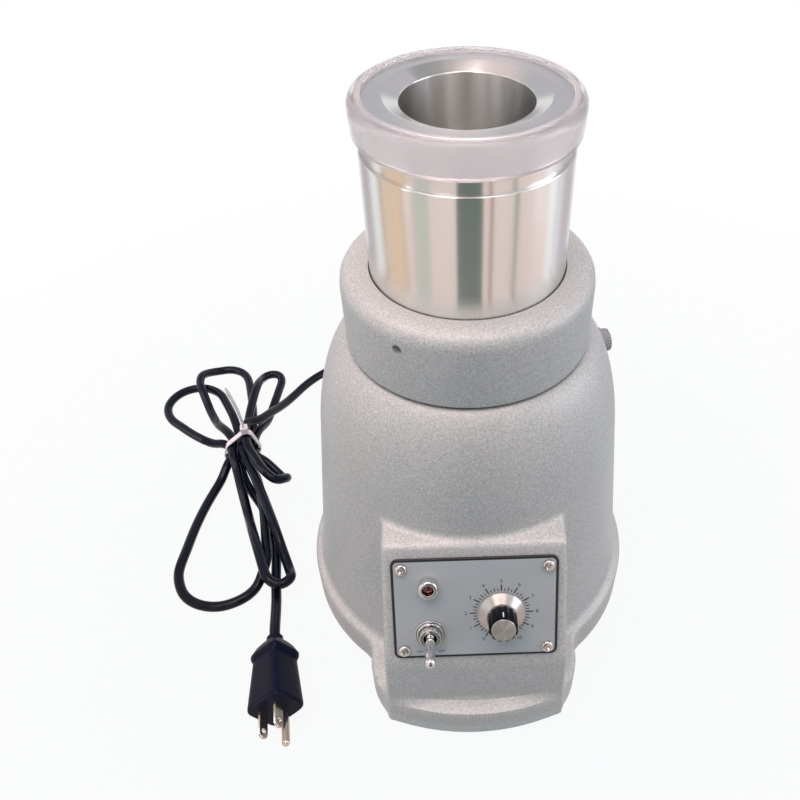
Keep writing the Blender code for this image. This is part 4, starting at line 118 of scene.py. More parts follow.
# %% Rings of points to a mesh
def skin_mesh(name, rings, closed=False, matrix=mill_axis):
    """Joins rings of points into one closed skin.

    rings has the shape rows x columns x 3. Face (i, j) joins points (i, j), (i, j+1), (i+1, j+1) and
    (i+1, j), with j taken round the ring. An open stack gets a flat cap at each end, and a closed one joins
    its last row to its first.
    """
    rings = np.asarray(rings, float)
    rows, columns = rings.shape[:2]
    points = placed(rings.reshape(-1, 3), matrix)
    row = np.arange(rows if closed else rows - 1)[:, None]
    column = np.arange(columns)[None, :]
    after, beside = (row + 1) % rows, (column + 1) % columns
    quads = np.stack(np.broadcast_arrays(
        row * columns + column, row * columns + beside, after * columns + beside, after * columns + column
    ), axis=-1).reshape(-1, 4)
    faces = quads.tolist()
    if not closed:
        faces.append(list(range(columns))[::-1])
        faces.append(list(range((rows - 1) * columns, rows * columns)))
    mesh = bpy.data.meshes.new(name)
    mesh.from_pydata(points.tolist(), [], faces)
    steps = np.linalg.norm(np.diff(rings, axis=0), axis=2).mean(axis=1)
    along = np.concatenate([[0], np.cumsum(steps), [steps.sum() + steps[-1]]])
    grid = (len(row), columns, 4)
    u = np.broadcast_to(np.stack([column, column + 1, column + 1, column], -1) / columns, grid)
    v = np.broadcast_to(along[np.stack([row, row, row + 1, row + 1], -1)], grid)
    corner_uv = np.zeros((len(mesh.loops), 2))
    corner_uv[:quads.size] = np.stack([u, v], -1).reshape(-1, 2)
    mesh.uv_layers.new(name="UVMap").data.foreach_set("uv", corner_uv.ravel())
    bm = bmesh.new()
    bm.from_mesh(mesh)
    bmesh.ops.remove_doubles(bm, verts=bm.verts, dist=WELD)
    bmesh.ops.recalc_face_normals(bm, faces=bm.faces)
    bm.to_mesh(mesh)
    bm.free()
    return mesh


def show_skin(name, rings, body, finish, stands_for=(), closed=False, matrix=mill_axis):
    """A piece whose skin joins rings of points."""
    mesh = skin_mesh(name, rings, closed, matrix)
    return show_mesh(name, mesh, body, finish, stands_for)


print("points closer than this weld together, in metres:", WELD)

# %% Profiles and turned pieces
CORNER_STEPS = 5


def rounded(corners, loop=False):
    """A profile whose corners are arcs.

    corners holds (radius, height, rounding). Each arc touches both of its sides, and its points come from a
    quadratic curve between the two touching points with the corner as its control point.
    """
    found = []
    count = len(corners)
    for index, (r, z, rounding) in enumerate(corners):
        here = np.array([r, z])
        ends = not loop and index in (0, count - 1)
        if rounding == 0 or ends:
            found.append(here[None])
            continue
        before = np.array(corners[index - 1][:2]) - here
        after = np.array(corners[(index + 1) % count][:2]) - here
        first = here + before / np.linalg.norm(before) * rounding
        last = here + after / np.linalg.norm(after) * rounding
        t = np.linspace(0, 1, CORNER_STEPS)[:, None]
        found.append((1 - t) ** 2 * first + 2 * t * (1 - t) * here + t ** 2 * last)
    return np.vstack(found)


def once_round(columns):
    """Even angles once round a circle: 2 pi k / columns."""
    return np.linspace(0, 2 * math.pi, columns, endpoint=False)


def level_ring(radius, angle, height):
    """A level ring whose radius r may change with the angle a: its points are (r cos a, r sin a, height)."""
    return np.column_stack([radius * np.cos(angle), radius * np.sin(angle), np.full(len(angle), height)])


def ribbed_ring(radius, ribs, depth, columns, height):
    """A ribbed ring: at angle a its radius is radius - depth * (1 + cos(ribs * a)) / 2."""
    angle = once_round(columns)
    return level_ring(radius - depth * (1 + np.cos(ribs * angle)) / 2, angle, height)


def turned_rings(profile, columns):
    """A profile of radius r and height z turned about Z: the point at angle a is (r cos a, r sin a, z)."""
    angle = once_round(columns)
    radius, height = profile[:, :1], profile[:, 1:]
    return np.stack(np.broadcast_arrays(radius * np.cos(angle), radius * np.sin(angle), height), -1)


def turned_piece(name, corners, columns, body, finish, stands_for=(), matrix=mill_axis):
    """A turned piece: a closed profile with rounded corners, spun round its axis."""
    rings = turned_rings(rounded(corners, loop=True), columns)
    return show_skin(name, rings, body, finish, stands_for, True, matrix)


print("points in a rounded corner:", CORNER_STEPS)


# %% Cutting
def cut(piece, cutter_mesh):
    """Takes a cutter's shape out of a piece for good."""
    cutter = bpy.data.objects.new("cutter", cutter_mesh)
    scene.collection.objects.link(cutter)
    step = piece.modifiers.new("Cut", "BOOLEAN")
    step.solver = "EXACT"
    step.object = cutter
    seen = piece.evaluated_get(bpy.context.evaluated_depsgraph_get())
    result = bpy.data.meshes.new_from_object(seen)
    piece.modifiers.clear()
    piece.data = result
    bpy.data.objects.remove(cutter)


def cylinder_mesh(name, radius, low, high, columns, matrix):
    """A plain cylinder between two heights, used as a cutter."""
    return skin_mesh(name, turned_rings(np.array([(radius, low), (radius, high)]), columns), matrix=matrix)


def drill(piece, radius, low, high, columns, matrix):
    """A round hole between two heights."""
    cut(piece, cylinder_mesh("hole", radius, low, high, columns, matrix))


print("columns round a small hole:", SMALL)

# %% [markdown]
# ## Colours and nodes
# Colours are read off as sRGB hex values, as a picture editor shows them. A shader works in linear light,
# so one function converts them. Another adds a node with its settings and links. Each material below is a
# procedural one that reads Object coordinates, where one unit is one metre, or the piece's own UV map.

# %% Node helper
MATERIALS = {}
SRGB_KNEE = 0.04045
SRGB_SLOPE = 12.92
SRGB_OFFSET = 0.055
SRGB_POWER = 2.4
MM_PER_METRE = 1000
# How many finer layers a noise has.
NOISE_DETAIL = 3.0


def linear(hex_colour):
    """sRGB hex to linear: c/12.92 below 0.04045, otherwise ((c + 0.055)/1.055) to the power 2.4."""
    parts = np.array([int(hex_colour[i:i + 2], 16) for i in (1, 3, 5)]) / 255
    curved = ((parts + SRGB_OFFSET) / (1 + SRGB_OFFSET)) ** SRGB_POWER
    values = np.where(parts <= SRGB_KNEE, parts / SRGB_SLOPE, curved)
    return (*values.tolist(), 1.0)


def add_node(tree, kind, links=None, **settings):
    """Adds one node, sets its options, and fills each input with a value or with another node's output."""
    made = tree.nodes.new("ShaderNode" + kind)
    for option, value in settings.items():
        setattr(made, option, value)
    for name, value in (links or {}).items():
        if isinstance(value, bpy.types.NodeSocket):
            tree.links.new(value, made.inputs[name])
        else:
            made.inputs[name].default_value = value
    return made


def new_material(name, **values):
    """A Principled material under its real finish's name, with plain values set on its sockets."""
    material = bpy.data.materials.new(name)
    material.use_nodes = True
    shader = material.node_tree.nodes["Principled BSDF"]
    for socket, value in values.items():
        shader.inputs[socket.replace("_", " ")].default_value = value
    MATERIALS[name] = material
    return material, material.node_tree, shader


def per_metre(millimetres):
    """How many periods of a pattern fit in one metre when one period is this many millimetres."""
    return MM_PER_METRE / millimetres


def coloured(tree, shader, pattern, colours, strength, lift):
    """Lets a pattern from 0 to 1 run the base colour from one colour to another, and raise the surface."""
    links = {"Factor": pattern, "A": linear(colours[0]), "B": linear(colours[1])}
    tone = add_node(tree, "Mix", links, data_type="RGBA")
    tree.links.new(tone.outputs[2], shader.inputs["Base Color"])
    raised(tree, shader, pattern, strength, lift)


def raised(tree, shader, pattern, strength, lift):
    """Lets a pattern raise the surface by up to a lift in metres."""
    bump = add_node(tree, "Bump", {"Height": pattern, "Strength": strength, "Distance": lift})
    tree.links.new(bump.outputs["Normal"], shader.inputs["Normal"])


def uneven_gloss(tree, shader, pattern, middle_range, roughnesses):
    """Lets the middle range of a pattern run the roughness from one value to another."""
    (low, high), (smooth, rough) = middle_range, roughnesses
    links = {"Value": pattern, "From Min": low, "From Max": high, "To Min": smooth, "To Max": rough}
    shade = add_node(tree, "MapRange", links)
    tree.links.new(shade.outputs["Result"], shader.inputs["Roughness"])


print("white in linear light:", linear("#FFFFFF"))

# %% [markdown]
# ## Hammered silver paint
# The castings are sprayed with a silver hammer enamel: aluminium flakes in a lacquer that wrinkles into
# shallow cells about a millimetre wide as it dries. Flakes lie flat on the cell's crown and stand on edge
# between cells, so the crowns look pale and slightly pink and the hollows a grey green. Two noise layers do
# this: a coarse one tints and lifts the cells, and a fine one gives the metallic grain.

# %% Paint of the castings
CELL_MM = 1.1
# Real flakes are a few hundredths of a millimetre wide. They are drawn coarser, so that the grain shows.
FLAKE_MM = 0.65
# Each noise: the width of its cells, how many finer layers it has, and how strong those are.
PAINT_NOISES = ((CELL_MM, NOISE_DETAIL, 0.6), (FLAKE_MM, 2.0, 0.7))
FLAKE_SHARE = 0.45
PAINT_CROWN = "#D6D1CF"
PAINT_MIDDLE = "#B9B9B7"
PAINT_HOLLOW = "#959C9A"
HOLLOW_END = 0.32
CROWN_START = 0.68
NOISE_RANGE = (0.3, 0.7)
PAINT_GLOSS = (0.42, 0.62)
PAINT_LIFT = 0.00018
PAINT_STRENGTH = 0.55
PAINT_METAL_SHARE = 0.14
LACQUER_SHARE = 0.08
LACQUER_ROUGHNESS = 0.25

_, tree, shader = new_material(
    "silver_hammer_enamel", Metallic=PAINT_METAL_SHARE, Coat_Weight=LACQUER_SHARE,
    Coat_Roughness=LACQUER_ROUGHNESS,
)
place = add_node(tree, "TexCoord").outputs["Object"]
noises = []
for size, detail, rough in PAINT_NOISES:
    links = {"Vector": place, "Scale": per_metre(size), "Detail": detail, "Roughness": rough}
    noises.append(add_node(tree, "TexNoise", links).outputs["Fac"])
cells, flakes = noises
links = {"Factor": FLAKE_SHARE, "A": cells, "B": flakes}
both = add_node(tree, "Mix", links, data_type="FLOAT").outputs["Result"]
tint = add_node(tree, "ValToRGB", {"Fac": both})
tint.color_ramp.elements[0].position = HOLLOW_END
tint.color_ramp.elements[0].color = linear(PAINT_HOLLOW)
tint.color_ramp.elements[1].position = CROWN_START
tint.color_ramp.elements[1].color = linear(PAINT_CROWN)
tint.color_ramp.elements.new(0.5).color = linear(PAINT_MIDDLE)
tree.links.new(tint.outputs["Color"], shader.inputs["Base Color"])
uneven_gloss(tree, shader, flakes, NOISE_RANGE, PAINT_GLOSS)
raised(tree, shader, both, PAINT_STRENGTH, PAINT_LIFT)
print("paint cells in a metre:", round(per_metre(CELL_MM)))

# %% [markdown]
# ## Turned and polished metals
# The cup is stainless steel turned on a lathe. The tool leaves rings too fine to see, and they smear every
# reflection across the rings, so the wall shows soft upright streaks and the flat top a bow tie. The UV map
# gives the shader that direction: its tangent runs round the part, and a quarter turn of the anisotropy
# stretches the highlight across the rings. Plated, chromed and spun parts differ in colour and smoothness.

# %% Metals
# Real tool marks are about a tenth of a millimetre apart. They are drawn coarser, so that they show a little.
RING_MM = 0.35
RINGS_PER_TURN = 3.0
RING_RANGE = (0.25, 0.75)
RING_GLOSS_CHANGE = 0.08
QUARTER_TURN = 0.25
# Each metal: a darker and a paler tone, its roughness, how far it smears reflections, and how deep its
# rings look.
METALS = {
    # Turned, then polished: smears reflections into upright streaks.
    "turned_stainless_steel": ("#E3E3E1", "#E7E7E5", 0.22, 0.95, 0.02),
    # Polished, then plated: a clear mirror.
    "chromed_brass": ("#D0CECF", "#E2E0E1", 0.10, 0.0, 0.1),
    # Spun sheet: a soft bow tie.
    "spun_aluminium": ("#CDC7C4", "#DCD7D4", 0.36, 0.95, 0.1),
    # Plated as cast or rolled: bright but blurred.
    "zinc_plated_steel": ("#CBC5C3", "#DDD8D6", 0.22, 0.1, 0.1),
    # Stamped, then plated: a warm grey shine.
    "nickel_plated_brass": ("#C6BEB4", "#DAD3CA", 0.17, 0.0, 0.2),
    # Pressed from powder: dull and brown, with open pores.
    "sintered_bronze": ("#9C7746", "#B98F58", 0.34, 0.3, 0.5),
}


def turned_metal(name, colours, roughness, anisotropy, ring_strength):
    """A metal with fine lathe rings: bands of noise along v change its tone, gloss and height a little."""
    _, tree, shader = new_material(
        name, Metallic=1.0, Anisotropic=anisotropy, Anisotropic_Rotation=QUARTER_TURN
    )
    chart = add_node(tree, "TexCoord").outputs["UV"]
    along = add_node(tree, "Mapping", {"Vector": chart, "Scale": (RINGS_PER_TURN, per_metre(RING_MM), 1.0)})
    links = {"Vector": along.outputs["Vector"], "Scale": 1.0, "Detail": NOISE_DETAIL}
    rings = add_node(tree, "TexNoise", links).outputs["Fac"]
    change = roughness * RING_GLOSS_CHANGE
    uneven_gloss(tree, shader, rings, RING_RANGE, (roughness - change, roughness + change))
    coloured(tree, shader, rings, colours, ring_strength, WELD)
    tangent = add_node(tree, "Tangent", direction_type="UV_MAP", uv_map="UVMap")
    tree.links.new(tangent.outputs["Tangent"], shader.inputs["Tangent"])


for name, (dark, pale, *finish) in METALS.items():
    turned_metal(name, (dark, pale), *finish)
print("metals:", ", ".join(METALS))

# %% [markdown]
# ## Plastics, rubber, paint and small materials
# The mouldings are black or clear. A moulding's skin isn't quite even: a weak, slow noise in its roughness
# and a very shallow bump keep its highlights alive. The jacket of the cord is soft PVC, a little glossier.

# %% Mouldings
MOULD_MM = 1.4
SKIN_LIFT = 0.00003
SKIN_STRENGTH = 0.5
SKIN_GLOSS_CHANGE = 0.15


def moulding(name, colours, roughness, grain_mm=MOULD_MM, lift=SKIN_LIFT, **values):
    """A moulded or painted skin: noise of a given grain varies its colour, its roughness and its height."""
    _, tree, shader = new_material(name, **values)
    place = add_node(tree, "TexCoord").outputs["Object"]
    links = {"Vector": place, "Scale": per_metre(grain_mm), "Detail": NOISE_DETAIL}
    skin = add_node(tree, "TexNoise", links).outputs["Fac"]
    change = roughness * SKIN_GLOSS_CHANGE
    uneven_gloss(tree, shader, skin, NOISE_RANGE, (roughness - change, roughness + change))
    coloured(tree, shader, skin, colours, SKIN_STRENGTH, lift)


# Pressed in a polished steel mould: black with a small sharp highlight.
moulding("black_phenolic", ("#05080E", "#0A0E17"), roughness=0.26, Specular_IOR_Level=0.15)
# Moulded rubber: black and dull.
moulding("black_rubber", ("#0E0E10", "#18181B"), roughness=0.62, Specular_IOR_Level=0.3)
# Extruded soft PVC: smooth, with a long thin highlight.
moulding(
    "pvc_cord_jacket", ("#030815", "#060C20"), roughness=0.20, grain_mm=MOULD_MM * 4, lift=SKIN_LIFT / 3,
    Specular_IOR_Level=0.24,
)
# PVC moulded round the cord's end: nearly black, with a blue cast and a soft sheen.
moulding("moulded_pvc_plug", ("#040A1C", "#08102A"), roughness=0.32, Specular_IOR_Level=0.12)
# Moulded ABS: plain grey, half dull.
moulding("grey_abs", ("#85878A", "#96989B"), roughness=0.42)
# Moulded nylon without dye: a pinkish milky white.
moulding("natural_nylon", ("#E4DADC", "#EEE6E7"), roughness=0.40, lift=SKIN_LIFT / 3)
# Stoved enamel on steel: an even cool grey.
moulding("panel_enamel", ("#A3A8AA", "#ADB2B4"), roughness=0.45, grain_mm=MOULD_MM / 4, Metallic=0.05)
# Screen-printed ink: a flat near-black film.
moulding("printing_ink", ("#15171A", "#1E2125"), roughness=0.5)
# Glass and resin board under green solder mask.
moulding("board_laminate", ("#1E5B36", "#2A6E44"), roughness=0.45)
# Pressed carbon: charcoal, and dull.
moulding("brush_carbon", ("#1B1B1C", "#2B2B2C"), roughness=0.6, grain_mm=MOULD_MM / 2)
# Cast in sand and left bare: a rough pale grey metal.
moulding("sand_cast_aluminium", ("#9A9B9D", "#B4B5B7"), roughness=0.5, lift=SKIN_LIFT * 4, Metallic=0.9)
print("materials so far:", len(MATERIALS))

# %% [markdown]
# ## Laminations and copper wire
# A motor's core is a stack of sheet steel half a millimetre thick, and its coils are wound of enamelled
# wire. Both are bands: a wave along Z gives the sheets' edges, and one across gives the strands.

# %% Banded motor materials
# Sheets and wires are drawn about twice as thick as they are, so that they show.
SHEET_MM = 1.0
WIRE_MM = 1.2
BAND_LIFT = 0.0002
BAND_STRENGTH = 0.6
BAND_WAVER = 0.4
# A wave texture at scale 1 has a period of 2 pi / 20.
SINE_STEP = 2 * math.pi / 20


def banded(name, colours, metallic, roughness, direction, pitch_mm):
    """Bands along one axis: a sine wave of the given pitch darkens the gaps and lowers them."""
    _, tree, shader = new_material(name, Metallic=metallic, Roughness=roughness)
    place = add_node(tree, "TexCoord").outputs["Object"]
    links = {"Vector": place, "Scale": per_metre(pitch_mm) * SINE_STEP, "Distortion": BAND_WAVER}
    wave = add_node(tree, "TexWave", links, wave_type="BANDS", bands_direction=direction).outputs["Fac"]
    coloured(tree, shader, wave, colours, BAND_STRENGTH, BAND_LIFT)


# Punched steel sheets, stacked: dark grey edges with fine lines.
banded(
    "stacked_steel_sheets", ("#4A4B4E", "#77797C"), metallic=0.9, roughness=0.42, direction="Z",
    pitch_mm=SHEET_MM,
)
# Drawn copper wire in lacquer: red brown strands.
banded(
    "enamelled_copper_wire", ("#7A3F1E", "#B96E3C"), metallic=0.7, roughness=0.3, direction="Y",
    pitch_mm=WIRE_MM,
)
# Bare copper bars with gaps: bright where the brushes run.
banded(
    "copper_segments", ("#8A5230", "#C98457"), metallic=1.0, roughness=0.28, direction="X",
    pitch_mm=WIRE_MM * 2,
)
print("periods of the sheets in a metre:", round(per_metre(SHEET_MM)))

# %% [markdown]
# ## Clear materials
# The ring on the cup's rim is frosted silicone rubber. Light goes in, spreads and comes out milky, so the
# cup's edge is only guessed at behind it. A rough transmission does that, with a thin milky skin. The
# lamp's lens is clear dark red plastic.

# %% Silicone and lens
SILICONE_CLEAR_SHARE = 0.93
SILICONE_IOR = 1.41
LENS_CLEAR_SHARE = 0.25
ACRYLIC_IOR = 1.49
LENS_GLOSS_SHARE = 0.6

# Moulded in a matt steel mould: milky, with blurred shapes behind it.
moulding(
    "frosted_silicone", ("#F3EEF0", "#F9F4F6"), roughness=0.21, grain_mm=MOULD_MM * 6, lift=0.0,
    Transmission_Weight=SILICONE_CLEAR_SHARE, IOR=SILICONE_IOR,
)
# Moulded and polished: a deep red drop with a sharp highlight.
moulding(
    "red_lens_acrylic", ("#5E0518", "#7E0A20"), roughness=0.10,
    Transmission_Weight=LENS_CLEAR_SHARE, IOR=ACRYLIC_IOR, Coat_Weight=LENS_GLOSS_SHARE,
)
print("materials:", len(MATERIALS))

# %% [markdown]
# ## Route of the mains cord
# The cord is 7 mm thick PVC. It leaves a strain relief at the back, sinks to the table, and its spare
# length is folded into loops that a cable tie holds. A cloth or rope simulation could drop it there. Here
# the route is worked out, as in the CAD part, so that the looks lie along the solids: the loops are drawn
# from above by a formula, and each one then rests on the table or on what was laid before it.

# %% The cord's sizes
CORD_RADIUS = 0.0035
CORD_EXIT_HEIGHT = 0.0380
CORD_EXIT_REACH = 0.1328
TIE_PLACE = (-0.1790, 0.0950)
BUNDLE_HEADING = math.radians(100.0)
STRAND_PITCH = 0.0079
WAIST_SLOT_SHARES = (0.0, -1.0, 1.0, -0.5, 0.5, 1.5, 1.0)
WAIST_HALF_LENGTH = 0.0080
WAIST_REACH = 0.0096
WAIST_BREADTH = 3 * STRAND_PITCH
WAIST_LIFT = 0.0020
TABLE_CLEARANCE = 0.0001
STRAND_CLEARANCE = 0.0007
LAY_SLOPE = 0.45
LAY_STEP = 0.0010
# Each loop: its heading in degrees, how far it reaches, and half its width.
LOOPS = [
    (129.0, 0.0920, 0.0220),
    (-88.0, 0.1310, 0.0280),
    (110.0, 0.1040, 0.0180),
    (-68.0, 0.1300, 0.0068),
    (86.0, 0.0910, 0.0075),
    (-47.0, 0.0420, 0.0065),
]
LOOP_POINTS = 24
LEG_SHARES = (0.3, 0.55, 0.8)
LEG_BOW_SHARE = 0.16
TIP_POINTS = 5
LEAD_ROUTE = [
    (0.0000, 0.1500, 0.0350), (-0.0020, 0.1680, 0.0250), (-0.0100, 0.1880, 0.0120),
    (-0.0270, 0.2060, 0.0045), (-0.0520, 0.2170, 0.0036), (-0.0820, 0.2150, 0.0036),
    (-0.1080, 0.2040, 0.0036), (-0.1300, 0.1870, 0.0036), (-0.1420, 0.1690, 0.0045),
    (-0.1510, 0.1500, 0.0085), (-0.1595, 0.1310, 0.0165), (-0.1680, 0.1150, 0.0225),
]
PLUG_ROUTE = [
    (-0.1690, 0.0640, 0.0036), (-0.1560, 0.0450, 0.0036), (-0.1450, 0.0240, 0.0036),
    (-0.1385, 0.0010, 0.0036), (-0.1360, -0.0200, 0.0038), (-0.1325, -0.0420, 0.0055),
]
CORD_POINT_STEP = 0.0140
FINE_STEP = 0.0022
RELAX_LENGTH = 0.0030
CURVE_SAMPLES = 40
PLUG_PLACE = (-0.1280, -0.0746, 0.0127)
PLUG_HEADING = math.radians(-80.6)
PLUG_PITCH = math.radians(8.0)
PLUG_ROLL = math.radians(37.0)

plug_turn = Matrix.Rotation(PLUG_HEADING, 4, "Z") @ Matrix.Rotation(-PLUG_PITCH, 4, "Y")
plug_frame = Matrix.Translation(PLUG_PLACE) @ plug_turn @ Matrix.Rotation(PLUG_ROLL, 4, "X")
print("loops:", len(LOOPS))


def run_length(points):
    """Distance along points, from the first one."""
    return np.concatenate([[0], np.cumsum(np.linalg.norm(np.diff(points, axis=0), axis=1))])


def smooth_curve(points, step):
    """A Catmull-Rom curve: between b and c the point at t is a cubic of a, b, c, d, read at even steps."""
    points = np.array(points, float)
    padded = np.vstack([2 * points[0] - points[1], points, 2 * points[-1] - points[-2]])
    t = np.linspace(0, 1, CURVE_SAMPLES, endpoint=False)[None, :, None]
    a, b, c, d = (padded[k:len(padded) - 3 + k, None, :] for k in range(4))
    fine = (2 * b + (c - a) * t + (2 * a - 5 * b + 4 * c - d) * t ** 2 + (3 * b - a - 3 * c + d) * t ** 3) / 2
    fine = np.vstack([fine.reshape(-1, points.shape[1]), points[-1]])
    along = run_length(fine)
    wanted = np.linspace(0, along[-1], max(3, round(along[-1] / step) + 1))
    return np.column_stack([np.interp(wanted, along, fine[:, k]) for k in range(points.shape[1])])


# %% [markdown]
# ### Loops seen from above
# Seven strands pass through the tie side by side, in slots a strand apart. Between two strands the cord
# makes a loop: two bowed legs and a round end.

# %% Plan of the loops
tie_centre = np.array(TIE_PLACE)
bundle_along = np.array([math.cos(BUNDLE_HEADING), math.sin(BUNDLE_HEADING)])
bundle_side = np.array([math.sin(BUNDLE_HEADING), -math.cos(BUNDLE_HEADING)])


def waist_point(slot, forward):
    """A strand's place in the waist: slots run across the bundle, and forward runs along it."""
    return tie_centre + WAIST_SLOT_SHARES[slot] * STRAND_PITCH * bundle_side + forward * bundle_along


def loop_plan(index):
    """One loop: legs at width half * (u + bow * sin(pi u)), a half circle, and the same legs mirrored."""
    heading, reach, half = LOOPS[index]
    along = np.array([math.cos(math.radians(heading)), math.sin(math.radians(heading))])
    side = np.array([along[1], -along[0]])
    forward = WAIST_HALF_LENGTH if along @ bundle_along > 0 else -WAIST_HALF_LENGTH
    start, end = waist_point(index, forward), waist_point(index + 1, forward)
    turn = 1 if (start - end) @ side > 0 else -1
    u = np.array(LEG_SHARES)
    leg = np.column_stack([u * (reach - half), half * (u + LEG_BOW_SHARE * np.sin(math.pi * u))])
    angle = np.linspace(math.pi / 2, -math.pi / 2, TIP_POINTS)
    tip = np.column_stack([reach - half + half * np.cos(angle), half * np.sin(angle)])
    shape = np.vstack([leg, tip, leg[::-1] * (1, -1)])
    share = np.arange(1, len(shape) + 1)[:, None] / (len(shape) + 1)
    return start + (end - start) * share + shape[:, :1] * along + turn * shape[:, 1:] * side


def bundle_plan():
    """The tied length from above, from the plug's side to the housing's, and where each far end is."""
    parts, ends = [], []
    for slot in range(len(WAIST_SLOT_SHARES)):
        sign = 1 if slot % 2 else -1
        steps = (WAIST_HALF_LENGTH, 0, -WAIST_HALF_LENGTH)
        parts.append([waist_point(slot, sign * forward) for forward in steps])
        if slot < len(LOOPS):
            parts.append(loop_plan(slot))
            ends.append(sum(map(len, parts[:-1])) + len(parts[-1]) // 2)
    points = np.vstack(parts)
    along = run_length(points)
    count = LOOP_POINTS * len(LOOPS)
    marks = [round(float(along[end] / along[-1]) * count) for end in ends]
    return smooth_curve(points, along[-1] / count), marks


print("strands in the tie:", len(WAIST_SLOT_SHARES))


# %% [markdown]
# ### How high each loop lies
# A loop lies on the table until it crosses a strand that was laid before it. There it rises by just enough
# to pass over, and it climbs and sinks at no more than a set slope.

# %% Heights of the loops
def between(first, second):
    """Points at fine steps from one point to the next."""
    steps = max(2, int(np.linalg.norm(second - first) / LAY_STEP))
    return first + (second - first) * np.linspace(0, 1, steps + 1)[:, None]


def height_over(place, laid):
    """Height that clears what is laid near a place: z + sqrt(reach^2 - distance^2) of the highest one."""
    reach = 2 * CORD_RADIUS + STRAND_CLEARANCE
    squares = ((laid[:, :2] - place) ** 2).sum(axis=1)
    near = squares < reach ** 2
    return (laid[near, 2] + np.sqrt(reach ** 2 - squares[near])).max() if near.any() else 0.0


strand = np.array([[*TIE_PLACE, CORD_RADIUS]])
print("height over a strand on the table in mm:", round(MM_PER_METRE * height_over(tie_centre, strand), 1))


# %% Laying the loops down
def rest_heights(plan, marks, laid):
    """Heights of the tied length: each stretch between far ends lies on what was laid before it."""
    heights = np.zeros(len(plan))
    waiting = np.zeros((0, 3))
    for first, last in zip([0, *marks], [*marks, len(plan) - 1]):
        stretch = plan[first:last + 1]
        offsets = stretch - tie_centre
        in_waist = (abs(offsets @ bundle_along) < WAIST_REACH) & (abs(offsets @ bundle_side) < WAIST_BREADTH)
        need = CORD_RADIUS + TABLE_CLEARANCE + WAIST_LIFT * in_waist
        for index in range(len(stretch) - 1):
            top = max(height_over(place, laid) for place in between(stretch[index], stretch[index + 1]))
            need[index:index + 2] = np.maximum(need[index:index + 2], top)
        if first:
            need[0] = heights[first]
        along = run_length(stretch)
        slopes = LAY_SLOPE * abs(along[:, None] - along)
        need[in_waist] = (need - slopes).max(axis=1)[in_waist].max()
        heights[first:last + 1] = (need - slopes).max(axis=1)
        laid, waiting = np.vstack([laid, waiting]), np.zeros((0, 3))
        solid_points = np.column_stack([stretch, heights[first:last + 1]])
        for index in range(len(stretch) - 1):
            fine = between(solid_points[index], solid_points[index + 1])
            if along[-1] - along[index + 1] < 3 * CORD_RADIUS:
                waiting = np.vstack([waiting, fine])
            else:
                laid = np.vstack([laid, fine])
    return heights


print("steepest climb of the cord in degrees:", round(math.degrees(math.atan(LAY_SLOPE))))


# %% The whole route
def towards(start, end):
    """Unit vector from one point to another."""
    return (end - start) / np.linalg.norm(end - start)


def whole_route():
    """The cord from its exit at the back, through the tied loops, to the plug, in the mill's own frame."""
    plan, marks = bundle_plan()
    low = CORD_RADIUS + TABLE_CLEARANCE + WAIST_LIFT
    straight = 2 * CORD_RADIUS
    first = np.array([*plan[0], low])
    below = first + straight * towards(np.array([*plan[1], low]), first)
    plug_end = np.array(plug_frame.translation)
    entry = np.array(plug_frame @ Vector((-straight, 0, 0)))
    tail = np.vstack([first, smooth_curve([below, *PLUG_ROUTE, entry], CORD_POINT_STEP), plug_end])
    laid = np.vstack([between(a, b) for a, b in zip(tail, tail[1:])])
    laid = laid[np.linalg.norm(laid - first, axis=1) > 3 * CORD_RADIUS]
    bundle = np.column_stack([plan, rest_heights(plan, marks, laid)])
    above = bundle[-1] + straight * towards(bundle[-2], bundle[-1])
    exit_point = np.array([0, CORD_EXIT_REACH, CORD_EXIT_HEIGHT])
    outside = exit_point + np.array([0, straight, 0])
    lead = np.vstack([exit_point, smooth_curve([outside, *LEAD_ROUTE, above], CORD_POINT_STEP), bundle[-1]])
    return np.vstack([lead, bundle[::-1][1:], tail[1:]]), bundle


print("points given for the lead and for the plug's end:", len(LEAD_ROUTE), len(PLUG_ROUTE))

# %% [markdown]
# ### The cord itself
# The jacket is a tube: a circle carried along the route. At each point the circle stands square to the way
# the cord runs. Its real length is worked out and printed, and it lies on its own CAD solids.

# %% Cord
CORD_COLUMNS = 20


def tube_rings(route, radius, columns):
    """Ring point = p + r (cos a * side + sin a * up): side is level, up is square to it and the route."""
    along = np.gradient(route, axis=0)
    along /= np.linalg.norm(along, axis=1)[:, None]
    side = np.cross(along, (0, 0, 1))
    side /= np.linalg.norm(side, axis=1)[:, None]
    up = np.cross(side, along)
    angle = once_round(columns)[None, :, None]
    return route[:, None] + radius * (np.cos(angle) * side[:, None] + np.sin(angle) * up[:, None])


def relaxed(points):
    """A stiff cord takes no kinks: each point becomes the bell-weighted mean of those near it along the cord.

    The weight at k steps away is exp(-k*k / (2 s*s)), with s the relaxing length in steps. Past an end the
    route is carried on through that end, so both ends stay where they are, and no point sinks into the
    table.
    """
    spread = RELAX_LENGTH / FINE_STEP
    reach = int(3 * spread)
    weight = np.exp(-np.arange(-reach, reach + 1) ** 2 / (2 * spread * spread))
    first = 2 * points[0] - points[reach:0:-1]
    last = 2 * points[-1] - points[-2:-reach - 2:-1]
    longer = np.vstack([first, points, last])
    mean = np.column_stack([np.convolve(longer[:, k], weight / weight.sum(), "valid") for k in range(3)])
    mean[:, 2] = np.maximum(mean[:, 2], CORD_RADIUS + TABLE_CLEARANCE)
    return mean


